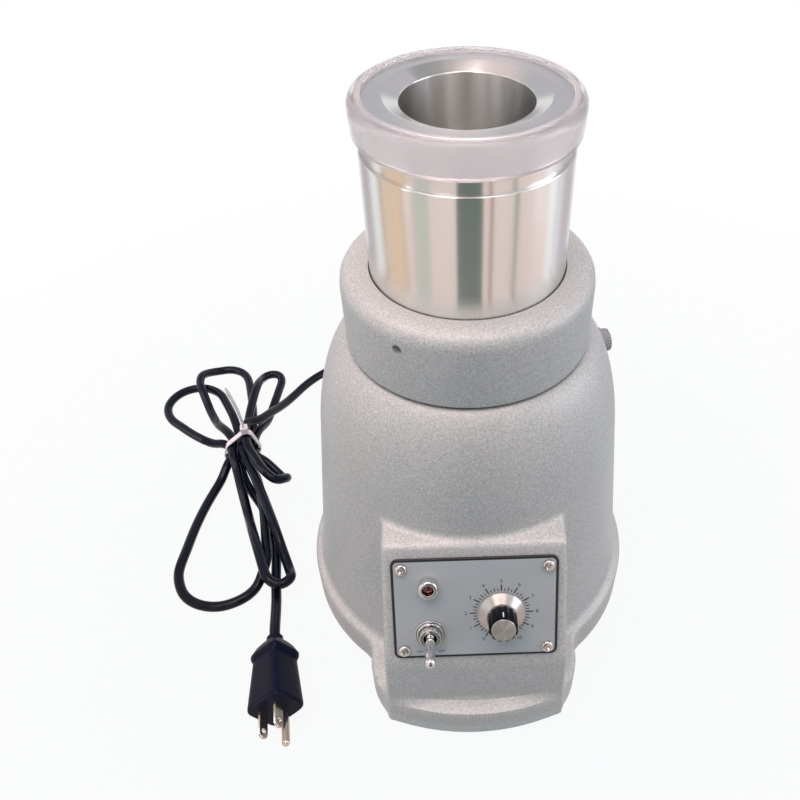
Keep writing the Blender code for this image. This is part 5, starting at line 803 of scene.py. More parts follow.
coarse_route, bundle = whole_route()
cord_route = relaxed(smooth_curve(coarse_route, FINE_STEP))
cord_length = float(run_length(cord_route)[-1])
cord_piece = show_skin(
    "cord", tube_rings(cord_route, CORD_RADIUS, CORD_COLUMNS), "mill", "pvc_cord_jacket",
    ["cord_lead", "cord_hank", "cord_plug_lead"],
)
print("cord length in mm:", round(MM_PER_METRE * cord_length, 1))

# %% [markdown]
# ## Cable tie
# The tie is one strip of nylon that goes round the waist, through its own head, and stands up as a free
# tail. Pulled tight, it takes the shape of a rubber band round the strands. In each direction its edge is
# the strand furthest out in that direction, plus the strand's radius.

# %% Tie
TIE_HALF_WIDTH = 0.0024
TIE_THICKNESS = 0.0012
TIE_CLEARANCE = 0.0007
TIE_EDGE = 0.0003
TIE_HEAD_WIDTH = 0.0056
TIE_HEAD_HEIGHT = 0.0060
TIE_TAIL_HEIGHT = 0.0480
TIE_TAIL_LEAN = 0.0060
TIE_TAIL_ROWS = 120
TIE_TOOTH = 0.00018
TIE_TIP = 0.0050
TIE_DIRECTIONS = 96
tie_frame = Matrix.Translation((*TIE_PLACE, 0)) @ Matrix.Rotation(BUNDLE_HEADING - math.pi / 2, 4, "Z")
tie_upright = mill_axis @ tie_frame @ Matrix.Rotation(math.pi / 2, 4, "X")


def strands_in_waist():
    """Where the cord crosses the tie's plane: the place across, read between two points, and the height."""
    offsets = bundle[:, :2] - tie_centre
    forward, across = offsets @ bundle_along, offsets @ bundle_side
    crossing = np.flatnonzero((forward[:-1] * forward[1:] < 0) & (abs(across[:-1]) < WAIST_BREADTH))
    share = forward[crossing] / (forward[crossing] - forward[crossing + 1])
    crossed = across[crossing] * (1 - share) + across[crossing + 1] * share
    return np.column_stack([crossed, bundle[crossing, 2]])


def band_line(strands, reach):
    """The band's line: for each direction d, the strand furthest along d, plus reach times d."""
    angle = once_round(TIE_DIRECTIONS)
    direction = np.column_stack([np.cos(angle), np.sin(angle)])
    return strands[np.argmax(direction @ strands.T, axis=1)] + reach * direction


def strip_section(inner, outer, half):
    """Eight points round a flat strip's section at each place, with broken edges."""
    share = TIE_EDGE / TIE_THICKNESS
    low, high = inner + (outer - inner) * share, outer - (outer - inner) * share
    near, far = half - TIE_EDGE, half
    places = [
        (inner, -near), (inner, near), (low, far), (high, far), (outer, near), (outer, -near), (high, -far),
        (low, -far)
    ]
    return np.stack([np.column_stack([edge, np.full(len(edge), depth)]) for edge, depth in places], axis=1)


def superellipse(angle, squareness):
    """Reach at angle a of |y|^n + |z|^n = 1, which is (|cos a|^n + |sin a|^n)^(-1/n)."""
    return (abs(np.cos(angle)) ** squareness + abs(np.sin(angle)) ** squareness) ** (-1 / squareness)


print("tie thickness in mm:", round(MM_PER_METRE * TIE_THICKNESS, 1))

# %% Band, head and tail
HEAD_SQUARENESS = 6
strands = strands_in_waist()
inner = band_line(strands, CORD_RADIUS + TIE_CLEARANCE)
outer = band_line(strands, CORD_RADIUS + TIE_CLEARANCE + TIE_THICKNESS)
band_section = strip_section(inner, outer, TIE_HALF_WIDTH)
band_mesh = skin_mesh("tie_band", band_section, closed=True, matrix=tie_upright)
head_x, head_top = outer[np.argmax(outer[:, 1])]
head_low = head_top - TIE_THICKNESS / 2


def head_ring(height, inset):
    """The head's outline at a height: a superellipse, nearly a rectangle."""
    angle = once_round(SMALL)
    size = superellipse(angle, HEAD_SQUARENESS)
    across = head_x + (TIE_HEAD_WIDTH / 2 - inset) * size * np.cos(angle)
    deep = (TIE_HALF_WIDTH + TIE_THICKNESS / 2 - inset) * size * np.sin(angle)
    return np.column_stack([across, np.full(SMALL, height), deep])


head_steps = [(0, TIE_EDGE), (TIE_EDGE, 0), (TIE_HEAD_HEIGHT - TIE_EDGE, 0), (TIE_HEAD_HEIGHT, TIE_EDGE)]
head_rings = [head_ring(head_low + up, inset) for up, inset in head_steps]
head_mesh = skin_mesh("tie_head", head_rings, matrix=tie_upright)


def tail_rings():
    """The tail leans as lean * t^2, its teeth are a small step on every other row, and its tip narrows."""
    t = np.linspace(0, 1, TIE_TAIL_ROWS)
    x = head_x - TIE_TAIL_LEAN * t * t
    y = head_low + TIE_HEAD_HEIGHT / 2 + (TIE_TAIL_HEIGHT - TIE_HEAD_HEIGHT / 2) * t
    tooth = TIE_TOOTH * (np.arange(TIE_TAIL_ROWS) % 2)
    left_to_tip = (1 - t) * (TIE_TAIL_HEIGHT - TIE_HEAD_HEIGHT / 2)
    half = TIE_HALF_WIDTH * np.clip(left_to_tip / TIE_TIP, TIE_EDGE / TIE_TIP, 1) ** 0.5
    smooth, toothed = x + TIE_THICKNESS / 2, x - TIE_THICKNESS / 2 + tooth
    sides = [(smooth, half), (toothed, half), (toothed, -half), (smooth, -half)]
    return np.stack([np.column_stack([edge, y, depth]) for edge, depth in sides], axis=1)


tail_mesh = skin_mesh("tie_tail", tail_rings(), matrix=tie_upright)
tie_pieces = [
    show_mesh(mesh.name, mesh, "mill", "natural_nylon", nodes)
    for mesh, nodes in ((band_mesh, ["cable_tie"]), (head_mesh, ()), (tail_mesh, ()))
]
print("strands in the band:", len(strands))

# %% [markdown]
# ## Plug
# The plug is moulded round the cord's end. Each cross-section is a superellipse, which lies between an
# ellipse and a rectangle. Its half widths and its squareness change along the plug, which gives the collar,
# the finger shoulder and the flat front with one formula. The pins are nickelled brass.

# %% Plug and pins
PLUG_LENGTH = 0.0530
PLUG_COLLAR = 0.0056
PLUG_SQUARENESS = 4.0
PLUG_PLACE_SHARES = (0, 0.09, 0.11, 0.14, 0.17, 0.26, 0.30, 0.36, 0.52, 0.95, 0.985, 1)
PLUG_WIDTH_SHARES = (0.95, 1.0, 1.3, 1.62, 1.8, 2.14, 2.1, 1.85, 1.98, 2.375, 2.35, 2.28)
PLUG_HEIGHT_SHARES = (0.95, 1.0, 1.3, 1.62, 1.8, 2.14, 2.1, 1.98, 2.04, 2.214, 2.19, 2.12)
PLUG_SQUARE_SHARES = (0.5, 0.5, 0.5, 0.7, 1.0, 1.4, 1.5, 1.5, 1.6, 1.7, 1.7, 1.7)
PLUG_ROWS = 90
PLUG_COLUMNS = 96
PIN_SINK = 0.0060
PIN_LENGTH = 0.0170
PIN_HALF_WIDTH = 0.0032
PIN_HALF_THICK = 0.0008
PIN_SPACING = 0.0127
PIN_RAISE = 0.0040
PIN_HOLE = 0.0016
PIN_HOLE_FROM_TIP = 0.0045
PIN_NOSE = 0.0024
PIN_EDGE = 0.0002
GROUND_RADIUS = 0.0024
GROUND_LENGTH = 0.0210
GROUND_DROP = 0.0079

plug_matrix = mill_axis @ plug_frame


def plug_rings():
    """Superellipses |y/w|^n + |z/h|^n = 1 along the plug, with w, h and n read off the tables of shares."""
    place = np.linspace(0, 1, PLUG_ROWS)
    place = np.sort(np.concatenate([place, PLUG_PLACE_SHARES[1:-1]]))

    def read(shares, size):
        return np.interp(place, PLUG_PLACE_SHARES, shares)[:, None] * size

    width, height = read(PLUG_WIDTH_SHARES, PLUG_COLLAR), read(PLUG_HEIGHT_SHARES, PLUG_COLLAR)
    squareness = read(PLUG_SQUARE_SHARES, PLUG_SQUARENESS)
    angle = once_round(PLUG_COLUMNS)[None, :]
    size = superellipse(angle, squareness)
    along = np.broadcast_to(place[:, None] * PLUG_LENGTH, size.shape)
    return np.stack([along, width * size * np.cos(angle), height * size * np.sin(angle)], -1)


plug = show_skin(
    "moulded_plug", plug_rings(), "mill", "moulded_pvc_plug", ["plug_body"],
    matrix=plug_matrix,
)
print("plug faces:", len(plug.data.polygons))


# %% Pins
def pin_rings(side):
    """A flat pin: its nosed outline at four depths, drawn in at both faces to break its edges."""
    root, tip = PLUG_LENGTH - PIN_SINK, PLUG_LENGTH + PIN_LENGTH
    rings = []
    for depth, inset in ((-1, PIN_EDGE), (-1, 0), (1, 0), (1, PIN_EDGE)):
        low, high = PIN_RAISE - PIN_HALF_WIDTH + inset, PIN_RAISE + PIN_HALF_WIDTH - inset
        end = tip - inset
        nose = PIN_NOSE
        outline = [(root, low), (end - nose, low), (end - nose / 3, low + nose / 3), (end, low + nose),
                   (end, high - nose), (end - nose / 3, high - nose / 3), (end - nose, high), (root, high)]
        y = side + depth * (PIN_HALF_THICK - (PIN_EDGE if not inset else 0))
        rings.append([(x, y, z) for x, z in outline])
    return rings


for name, side in (("left", PIN_SPACING / 2), ("right", -PIN_SPACING / 2)):
    pin = show_skin(
        "plug_pin_" + name, pin_rings(side), "mill", "nickel_plated_brass", ["plug_blade_" + name],
        matrix=plug_matrix,
    )
    hole_place = Matrix.Translation((PLUG_LENGTH + PIN_LENGTH - PIN_HOLE_FROM_TIP, 0, PIN_RAISE))
    hole_matrix = plug_matrix @ hole_place @ Matrix.Rotation(math.pi / 2, 4, "X")
    drill(pin, PIN_HOLE, -PIN_SPACING, PIN_SPACING, SMALL, hole_matrix)
nose = np.linspace(0, math.pi / 2, CORNER_STEPS * 2)
ground_tip = PLUG_LENGTH + GROUND_LENGTH - GROUND_RADIUS
ground_profile = np.vstack([
    [(GROUND_RADIUS, PLUG_LENGTH - PIN_SINK)],
    np.column_stack([GROUND_RADIUS * np.cos(nose) + WELD, ground_tip + GROUND_RADIUS * np.sin(nose)]),
])
ground_turn = Matrix.Translation((0, 0, -GROUND_DROP)) @ Matrix.Rotation(math.pi / 2, 4, "Y")
show_skin(
    "plug_ground_post", turned_rings(ground_profile, SMALL), "mill", "nickel_plated_brass",
    ["plug_ground_pin"], matrix=plug_matrix @ ground_turn,
)

# %% [markdown]
# ## Strain relief
# Where the cord leaves the casting, a tapered rubber sleeve keeps it from kinking. Rings are grooved into
# it so that it bends easily. Its flange sits on a round boss of the casting.

# %% Relief and boss
RELIEF_BOSS_RADIUS = 0.0120
RELIEF_BOSS_REACH = 0.1025
RELIEF_BOSS_ROOT = 0.0960
RELIEF_FLANGE_RADIUS = 0.0090
RELIEF_FLANGE = 0.0030
RELIEF_NECK = 0.0062
RELIEF_LENGTH = 0.0270
RELIEF_ROOT_RADIUS = 0.0068
RELIEF_TIP_RADIUS = 0.0050
RELIEF_INNER_END = 0.0873
RELIEF_GROOVES = 7
RELIEF_GROOVE = 0.0011
GROOVE_MOUTH_SHARE = 0.2
GROOVE_FLOOR_SHARE = 0.125
GAP = 0.0003


def facing(azimuth, height):
    """A frame on the mill's axis whose Z points outwards at an azimuth from the front."""
    outwards = Vector((math.sin(azimuth), -math.cos(azimuth), 0))
    lift = Matrix.Translation((0, 0, height))
    return mill_axis @ lift @ outwards.to_track_quat("Z", "Y").to_matrix().to_4x4()


def relief_profile():
    """Neck, flange and taper. Each groove is RELIEF_GROOVE deep, and the taper falls in a straight line."""
    seat = RELIEF_BOSS_REACH + GAP
    flange = seat + RELIEF_FLANGE
    corners = [
        (WELD, RELIEF_INNER_END, 0), (RELIEF_NECK, RELIEF_INNER_END, 0), (RELIEF_NECK, seat, 0),
        (RELIEF_FLANGE_RADIUS, seat, 0), (RELIEF_FLANGE_RADIUS, flange, RELIEF_GROOVE),
        (RELIEF_ROOT_RADIUS, flange, 0)
    ]
    pitch = RELIEF_LENGTH / (RELIEF_GROOVES + 1)
    for index in range(1, RELIEF_GROOVES + 1):
        place = flange + index * pitch
        radius = RELIEF_ROOT_RADIUS + (RELIEF_TIP_RADIUS - RELIEF_ROOT_RADIUS) * index / (RELIEF_GROOVES + 1)
        mouth, floor = pitch * GROOVE_MOUTH_SHARE, pitch * GROOVE_FLOOR_SHARE
        corners += [(radius, place - mouth, 0), (radius - RELIEF_GROOVE, place - floor, 0),
                    (radius - RELIEF_GROOVE, place + floor, 0), (radius, place + mouth, 0)]
    tip = flange + RELIEF_LENGTH
    return rounded([*corners, (RELIEF_TIP_RADIUS, tip, RELIEF_GROOVE / 2), (CORD_RADIUS, tip, 0)])


relief_frame = facing(math.pi, CORD_EXIT_HEIGHT)
relief = show_skin(
    "cord_strain_relief", turned_rings(relief_profile(), MIDDLE), "mill", "black_rubber",
    ["strain_relief"], matrix=relief_frame,
)
turned_piece(
    "cord_boss",
    [(RELIEF_NECK + GAP, RELIEF_BOSS_REACH, GAP), (RELIEF_BOSS_RADIUS, RELIEF_BOSS_REACH, 3 * GAP),
     (RELIEF_BOSS_RADIUS, RELIEF_BOSS_ROOT, 0), (RELIEF_NECK + GAP, RELIEF_BOSS_ROOT, 0)],
    MIDDLE, "mill", "silver_hammer_enamel", matrix=relief_frame,
)

# %% [markdown]
# ## The housing
# The real housing is one aluminium casting: a bell, a flange round its foot, a lobe at the front of the
# flange, and a console box that leans back. Where two of these meet, the mould has a small fillet. It could
# be made of separate solids and bevels, but such fillets are hard to get that way. Here each shape is a
# signed distance, negative inside, and a smooth minimum joins them, which makes the fillets by itself.

# %% Shape of the casting as distances
FOOT_PROUD = 0.0015
WALL = 0.0060
FLANGE_RADIUS = 0.1067
FLANGE_TOP = 0.0240
FLANGE_ROUND = 0.0032
RIM_WALL = 0.0135
LOBE_HALF = 0.0637
LOBE_REACH = 0.1360
LOBE_CORNER = 0.0200
LOBE_FILLET = 0.0060
BELL_FOOT_RADIUS = 0.1013
BELL_TURN_RADIUS = 0.0881
BELL_TURN_HEIGHT = 0.1485
BELL_TOP_RADIUS = 0.0670
DECK_TOP = 0.2058
DECK_THICKNESS = 0.0080
DECK_HOLE_RADIUS = 0.0180
SHOULDER_LOW_SHARE = 0.37
SHOULDER_OUT_SHARE = 0.57
SHOULDER_DROP_SHARE = 0.10
CONSOLE_TOP = 0.1325
CONSOLE_TOP_REACH = 0.0936
CONSOLE_CREASE = 0.0630
CONSOLE_LEAN = math.radians(24.0)
CONSOLE_FOOT_REACH = 0.1256
CONSOLE_TOP_HALF = 0.0500
CONSOLE_FOOT_HALF = 0.0525
CONSOLE_ROUND = 0.0022
BELL_FILLET = 0.0060
CONSOLE_FILLET = 0.0036
CONSOLE_SHARE = 0.75
FILLET_CHANGE = 0.0200
COVER_INSET = 0.0064
COVER_SEAT = 0.0036


def shoulder():
    """The bell's shoulder: a cubic Bezier curve that leaves along the wall and arrives nearly level."""
    rise, run = DECK_TOP - BELL_TURN_HEIGHT, BELL_TURN_RADIUS - BELL_TOP_RADIUS
    draft = (BELL_FOOT_RADIUS - BELL_TURN_RADIUS) / (BELL_TURN_HEIGHT - FLANGE_TOP)
    low = SHOULDER_LOW_SHARE * rise
    corners = np.array([
        (BELL_TURN_RADIUS, BELL_TURN_HEIGHT), (BELL_TURN_RADIUS - draft * low, BELL_TURN_HEIGHT + low),
        (BELL_TOP_RADIUS + SHOULDER_OUT_SHARE * run, DECK_TOP - SHOULDER_DROP_SHARE * rise),
        (BELL_TOP_RADIUS, DECK_TOP),
    ])
    t = np.linspace(0, 1, MIDDLE)[:, None]
    weights = np.hstack([(1 - t) ** 3, 3 * (1 - t) ** 2 * t, 3 * (1 - t) * t ** 2, t ** 3])
    return weights @ corners


def bell_line():
    """Radius and height of the bell's wall: straight from well under the flange, then the shoulder."""
    foot = (2 * BELL_FOOT_RADIUS - BELL_TURN_RADIUS, 2 * FLANGE_TOP - BELL_TURN_HEIGHT)
    return np.vstack([foot, shoulder()])


BELL_RADII, BELL_HEIGHTS = bell_line().T
print("bell radius in mm at the top and under the flange:",
      round(MM_PER_METRE * float(BELL_RADII.min()), 1), round(MM_PER_METRE * float(BELL_RADII.max()), 1))


# %% Joining shapes
def corner_of(distances, rounding):
    """Where several faces meet: the largest distance, with edges rounded as the length of what sticks out."""
    raised = np.stack(np.broadcast_arrays(*distances)) + rounding
    return np.minimum(raised.max(axis=0), 0) + np.linalg.norm(np.maximum(raised, 0), axis=0) - rounding


def joined(first, second, fillet):
    """A smooth minimum: h = max(fillet - |a - b|, 0) / fillet, and the result is min(a, b) - h*h*fillet/4."""
    share = np.maximum(fillet - abs(first - second), 0) / fillet
    return np.minimum(first, second) - share * share * fillet / 4


print("where two faces meet, the skin moves out by this share of the fillet:", -float(joined(0.0, 0.0, 1.0)))


# %% Outline, console and bell
def outline_distance(x, y):
    """Distance to the outline of the flange, seen from above: a circle joined to the lobe."""
    radius = np.hypot(x, y)
    lobe = corner_of([abs(x) - LOBE_HALF, radius - LOBE_REACH, y], LOBE_CORNER)
    return joined(radius - FLANGE_RADIUS, lobe, LOBE_FILLET)


def console_distance(x, y, z):
    """Distance to the console box: a leaning face, a steep foot below the crease, drafted sides and a top."""
    cosine, slope = math.cos(CONSOLE_LEAN), math.tan(CONSOLE_LEAN)
    leaning = (-y - CONSOLE_TOP_REACH - (CONSOLE_TOP - z) * slope) * cosine
    crease_reach = CONSOLE_TOP_REACH + (CONSOLE_TOP - CONSOLE_CREASE) * slope
    share = (CONSOLE_CREASE - z) / (CONSOLE_CREASE - FLANGE_TOP)
    foot = -y - crease_reach - (CONSOLE_FOOT_REACH - crease_reach) * share
    down = (CONSOLE_TOP - z) / (CONSOLE_TOP - FLANGE_TOP)
    side = abs(x) - CONSOLE_TOP_HALF - (CONSOLE_FOOT_HALF - CONSOLE_TOP_HALF) * down
    return corner_of([leaning, foot, side, z - CONSOLE_TOP, y], CONSOLE_ROUND)


def bell_distance(x, y, z, top):
    """Distance to the bell: how far a point is out from the wall, square to it, or above a level top."""
    wall = np.interp(z, BELL_HEIGHTS, BELL_RADII)
    slope = np.interp(z, BELL_HEIGHTS, np.gradient(BELL_RADII, BELL_HEIGHTS))
    return (np.hypot(x, y) - wall) / np.sqrt(1 + slope ** 2), z - top


print("distance from the lobe's front edge to the outline in mm:",
      round(MM_PER_METRE * abs(float(outline_distance(0.0, -LOBE_REACH))), 2))


# %% The casting and its hollow
def casting_distance(points):
    """Distance to the whole casting. It runs on below the flange's foot, where the grid is cut off level."""
    x, y, z = points[..., 0], points[..., 1], points[..., 2]
    side, above = bell_distance(x, y, z, DECK_TOP)
    bell = np.maximum(np.maximum(side, above), FLANGE_TOP - WALL / 2 - z)
    flange = corner_of([outline_distance(x, y), z - FLANGE_TOP], FLANGE_ROUND)
    console = joined(bell, console_distance(x, y, z), CONSOLE_FILLET)
    share = np.clip((-y - FLANGE_RADIUS * CONSOLE_SHARE) / FILLET_CHANGE, 0, 1)
    return joined(console, flange, BELL_FILLET + (CONSOLE_FILLET - BELL_FILLET) * share)


def hollow_distance(points):
    """Distance to the hollow inside: the bell, the console and the base, each drawn in by its wall."""
    x, y, z = points[..., 0], points[..., 1], points[..., 2]
    side, above = bell_distance(x, y, z, DECK_TOP - DECK_THICKNESS)
    bell = np.maximum(np.maximum(side + WALL, above), FLANGE_TOP - 2 * WALL - z)
    base = np.maximum(outline_distance(x, y) + RIM_WALL, z - FLANGE_TOP + WALL)
    console = np.maximum(console_distance(x, y, z) + WALL, FLANGE_TOP - 2 * WALL - z)
    return np.minimum(np.minimum(bell, console), base)


print("signed distance at the bell's middle in mm, negative because it is inside:",
      round(MM_PER_METRE * float(casting_distance(np.array([0, 0, BELL_TURN_HEIGHT / 2]))), 1))


# %% [markdown]
# ## The housing's skin
# The surface is read off along rays. They start on the mill's axis and rise at forty degrees, so they leave
# the casting through walls and ledges alike and never enter it twice. Near the foot they lie down level.
# Along each ray the last crossing from inside to outside is found by halving. Columns stand closer together
# at the front, where the console's corners are.

# %% Grid of the casting
FULL_TURN = 360.0
RAY_RISE = math.radians(40.0)
RAY_REACH = 0.200
FOOT_ROWS = 16
ROW_STEP = 0.0014
INNER_ROWS_SKIPPED = 3
FRONT_ANGLE = 38.0
CORNER_ANGLE = 18.0
FRONT_COLUMNS = 56
CORNER_COLUMNS = 60
BACK_COLUMNS = 116
RAY_SAMPLES = 60
HALVINGS = 14


def column_angles():
    """Angles from the front, in radians: fine across the console, finest at its sides, wide at the back."""
    parts = [
        np.linspace(-CORNER_ANGLE, CORNER_ANGLE, FRONT_COLUMNS, endpoint=False),
        np.linspace(CORNER_ANGLE, FRONT_ANGLE, CORNER_COLUMNS, endpoint=False),
        np.linspace(FRONT_ANGLE, FULL_TURN - FRONT_ANGLE, BACK_COLUMNS, endpoint=False),
        np.linspace(FULL_TURN - FRONT_ANGLE, FULL_TURN - CORNER_ANGLE, CORNER_COLUMNS, endpoint=False),
    ]
    return np.radians(np.concatenate(parts))


def ray_rows():
    """Start height and rise of each row's rays, from the foot up to the deck's hole."""
    last = DECK_TOP - DECK_HOLE_RADIUS * math.tan(RAY_RISE)
    rise = np.linspace(0, RAY_RISE, FOOT_ROWS)
    foot = np.linspace(FOOT_PROUD, FLANGE_TOP - FLANGE_ROUND, FOOT_ROWS) - FLANGE_RADIUS * np.tan(rise)
    count = int((last - foot[-1]) / ROW_STEP)
    high = np.linspace(foot[-1], last, count + 1)[1:]
    return np.concatenate([foot, high]), np.concatenate([rise, np.full(count, RAY_RISE)])


print("rows of rays:", len(ray_rows()[0]))


# %% Reading the surface along rays
def ray_surface(distance, start, rise):
    """Where each ray last leaves a shape: a ray's point at reach t is origin + t * step."""
    angle = column_angles()[None, :]
    start, rise = start[:, None], rise[:, None]
    step = np.stack(np.broadcast_arrays(
        np.sin(angle) * np.cos(rise), -np.cos(angle) * np.cos(rise), np.sin(rise)
    ), axis=-1)
    origin = np.stack(np.broadcast_arrays(0, 0, start + 0 * angle), axis=-1)

    def within(reach):
        return distance(origin + step * reach[..., None]) < 0

    outside = np.full(step.shape[:2], RAY_REACH)
    inside = np.zeros(step.shape[:2])
    found = np.zeros(step.shape[:2], bool)
    for reach in np.linspace(RAY_REACH, 0, RAY_SAMPLES)[1:]:
        new = within(np.full(step.shape[:2], reach)) & ~found
        inside[new] = reach
        found |= new
        outside = np.where(found, outside, reach)
    for _ in range(HALVINGS):
        middle = (inside + outside) / 2
        inner_half = within(middle)
        inside = np.where(inner_half, middle, inside)
        outside = np.where(inner_half, outside, middle)
    return origin + step * outside[..., None]


print("columns round the casting:", len(column_angles()))

# %% Housing piece
PANEL_BELOW_TOP = 0.0385
WINDOW_HALF_WIDTH = 0.0350
WINDOW_HALF_HEIGHT = 0.0275
WINDOW_DEPTH = 0.0120
OVERRUN = 0.0030
ROWS_OVER_SEAT = 0.0040

panel_y = -CONSOLE_TOP_REACH - PANEL_BELOW_TOP * math.sin(CONSOLE_LEAN)
panel_z = CONSOLE_TOP - PANEL_BELOW_TOP * math.cos(CONSOLE_LEAN)
panel_turn = Matrix.Rotation(math.pi / 2 - CONSOLE_LEAN, 4, "X")
panel_place = mill_axis @ Matrix.Translation((0, panel_y, panel_z)) @ panel_turn


def box_mesh(name, half_width, half_height, low, high, matrix):
    """A plain box between two heights, used as a cutter."""
    ring = np.array([(1, 1), (-1, 1), (-1, -1), (1, -1)]) * (half_width, half_height)
    rings = [np.column_stack([ring, np.full(len(ring), height)]) for height in (low, high)]
    return skin_mesh(name, rings, matrix=matrix)


def housing_mesh():
    """Outer skin, deck hole, inner skin and the cover's seat in one closed stack of rings."""
    start, rise = ray_rows()
    outer = ray_surface(casting_distance, start, rise)
    low_radius = FLANGE_RADIUS - RIM_WALL
    high_enough = start + low_radius * np.tan(rise) > ROWS_OVER_SEAT
    under_deck = start < DECK_TOP - DECK_THICKNESS - DECK_HOLE_RADIUS * math.tan(RAY_RISE)
    keep = np.flatnonzero(high_enough & under_deck)[::INNER_ROWS_SKIPPED]
    inner = ray_surface(hollow_distance, start[keep], rise[keep])
    level = np.zeros(1)
    seat_rows = [
        ray_surface(lambda p: outline_distance(p[..., 0], p[..., 1]) + inset, level + height, level)
        for inset, height in ((RIM_WALL, COVER_SEAT), (COVER_INSET, COVER_SEAT), (COVER_INSET, FOOT_PROUD))
    ]
    rings = np.concatenate([outer, inner[::-1], *seat_rows])
    print("housing grid:", rings.shape[:2])
    return skin_mesh("housing_casting", rings, closed=True)


housing = show_mesh(
    "housing_casting", housing_mesh(), "mill", "silver_hammer_enamel", ["housing"]
)
cut(housing, box_mesh("window", WINDOW_HALF_WIDTH, WINDOW_HALF_HEIGHT, -WINDOW_DEPTH, OVERRUN, panel_place))
print("housing faces:", len(housing.data.polygons))

# %% [markdown]
# ## Clamp collar and its set screw
# The collar is a heavy ring with a well rounded top edge. A set screw in its side grips the cup. The ring
# is one turned profile, and the screw's hole is cut out of it. The screw has a hexagon socket: its rings
# change from round to six-sided, and then run down into the socket.

# %% Collar
CUP_RADIUS = 0.0508
COLLAR_INNER = CUP_RADIUS + 0.0005
COLLAR_RADIUS = 0.0668
COLLAR_BOTTOM = 0.2076
COLLAR_TOP = 0.2508
COLLAR_ROUND = 0.0090
COLLAR_EDGE = 0.0010
COLLAR_MOUTH = 0.0006
SET_SCREW_HEIGHT = COLLAR_TOP - 0.0130
SET_SCREW_AZIMUTH = math.radians(-32.5)
SET_SCREW_HOLE = 0.0027
SET_SCREW_RADIUS = 0.0024
SET_SCREW_RECESS = 0.0025
SOCKET_RADIUS = 0.00135
SOCKET_DEPTH = 0.0020
SOCKET_SIDES = 6
THREAD_EDGE = 0.0003


def polygon_ring(radius, sides, height, columns):
    """A regular polygon: at angle a its reach is radius * cos(pi / sides) / cos(a to the nearest side)."""
    angle = once_round(columns)
    sector = 2 * math.pi / sides
    off = angle % sector - sector / 2
    return level_ring(radius * math.cos(sector / 2) / np.cos(off), angle, height)


collar = turned_piece(
    "clamp_collar",
    [(COLLAR_INNER, COLLAR_TOP, COLLAR_MOUTH), (COLLAR_RADIUS, COLLAR_TOP, COLLAR_ROUND),
     (COLLAR_RADIUS, COLLAR_BOTTOM, COLLAR_EDGE), (COLLAR_INNER, COLLAR_BOTTOM, 0)],
    ROUND, "mill", "silver_hammer_enamel", ["collar"],
)
screw_place = facing(SET_SCREW_AZIMUTH, SET_SCREW_HEIGHT)
drill(collar, SET_SCREW_HOLE, CUP_RADIUS - OVERRUN, COLLAR_RADIUS + OVERRUN, SMALL, screw_place)
print("collar faces:", len(collar.data.polygons))

# %% Set screw
screw_top = COLLAR_RADIUS - SET_SCREW_RECESS
screw_columns = SOCKET_SIDES * 4
round_rings = turned_rings(np.array([
    (SET_SCREW_RADIUS, CUP_RADIUS + GAP), (SET_SCREW_RADIUS, screw_top - THREAD_EDGE),
    (SET_SCREW_RADIUS - THREAD_EDGE, screw_top),
]), screw_columns)
socket_rings = [
    polygon_ring(SOCKET_RADIUS, SOCKET_SIDES, height, screw_columns)
    for height in (screw_top, screw_top - SOCKET_DEPTH)
]
show_skin(
    "collar_set_screw", [*round_rings, *socket_rings], "mill", "zinc_plated_steel",
    ["set_screw"], matrix=screw_place,
)
print("set screw's socket in mm:", round(MM_PER_METRE * 2 * SOCKET_RADIUS, 1))

# %% [markdown]
# ## Grinding cup and its ring
# The cup is thick-walled stainless steel. It has a shallow neck under its rim, a coned mouth, and a bore
# with a coved floor. Its silicone ring grips the rim and laps over the top face. Both are turned profiles
# with small edge breaks, because a machined edge is never quite sharp and always catches a line of light.

# %% Cup and ring
CUP_TOP = 0.3385
CUP_SHOULDER = 0.3147
CUP_NECK_RADIUS = 0.0492
CUP_RIM_RADIUS = 0.0499
CUP_BORE_RADIUS = 0.0308
CUP_MOUTH_RADIUS = 0.0384
CUP_MOUTH_DEPTH = 0.0034
CUP_FLOOR_TOP = 0.2400
CUP_FLOOR_BOTTOM = 0.2240
CUP_FLOOR_COVE = 0.0060
CUP_RECESS_RADIUS = 0.0220
CUP_BOTTOM = DECK_TOP + GAP
CUP_EDGE = 0.0010
EDGE_BREAK = 0.0004
BUSH_RADIUS = 0.0090
RING_OUTER_RADIUS = 0.0544
RING_LOWER_RADIUS = 0.0531
RING_LIP_RADIUS = 0.0475
RING_BOTTOM = 0.3221
RING_LIP = 0.0011
RING_ROUND = 0.0058
RING_FOOT_ROUND = 0.0014

turned_piece(
    "cup_body",
    [
        (CUP_MOUTH_RADIUS, CUP_TOP, EDGE_BREAK), (CUP_RIM_RADIUS, CUP_TOP, EDGE_BREAK),
        (CUP_RIM_RADIUS, RING_BOTTOM, 0), (CUP_NECK_RADIUS, RING_BOTTOM, 0),
        (CUP_NECK_RADIUS, CUP_SHOULDER, 0), (CUP_RADIUS, CUP_SHOULDER, 2 * EDGE_BREAK),
        (CUP_RADIUS, CUP_BOTTOM, CUP_EDGE), (CUP_RECESS_RADIUS, CUP_BOTTOM, EDGE_BREAK),
        (CUP_RECESS_RADIUS, CUP_FLOOR_BOTTOM, 0), (BUSH_RADIUS + GAP, CUP_FLOOR_BOTTOM, 0),
        (BUSH_RADIUS + GAP, CUP_FLOOR_TOP, 0), (CUP_BORE_RADIUS, CUP_FLOOR_TOP, CUP_FLOOR_COVE),
        (CUP_BORE_RADIUS, CUP_TOP - CUP_MOUTH_DEPTH, EDGE_BREAK)
    ],
    ROUND, "cup", "turned_stainless_steel", ["grinding_cup"],
)
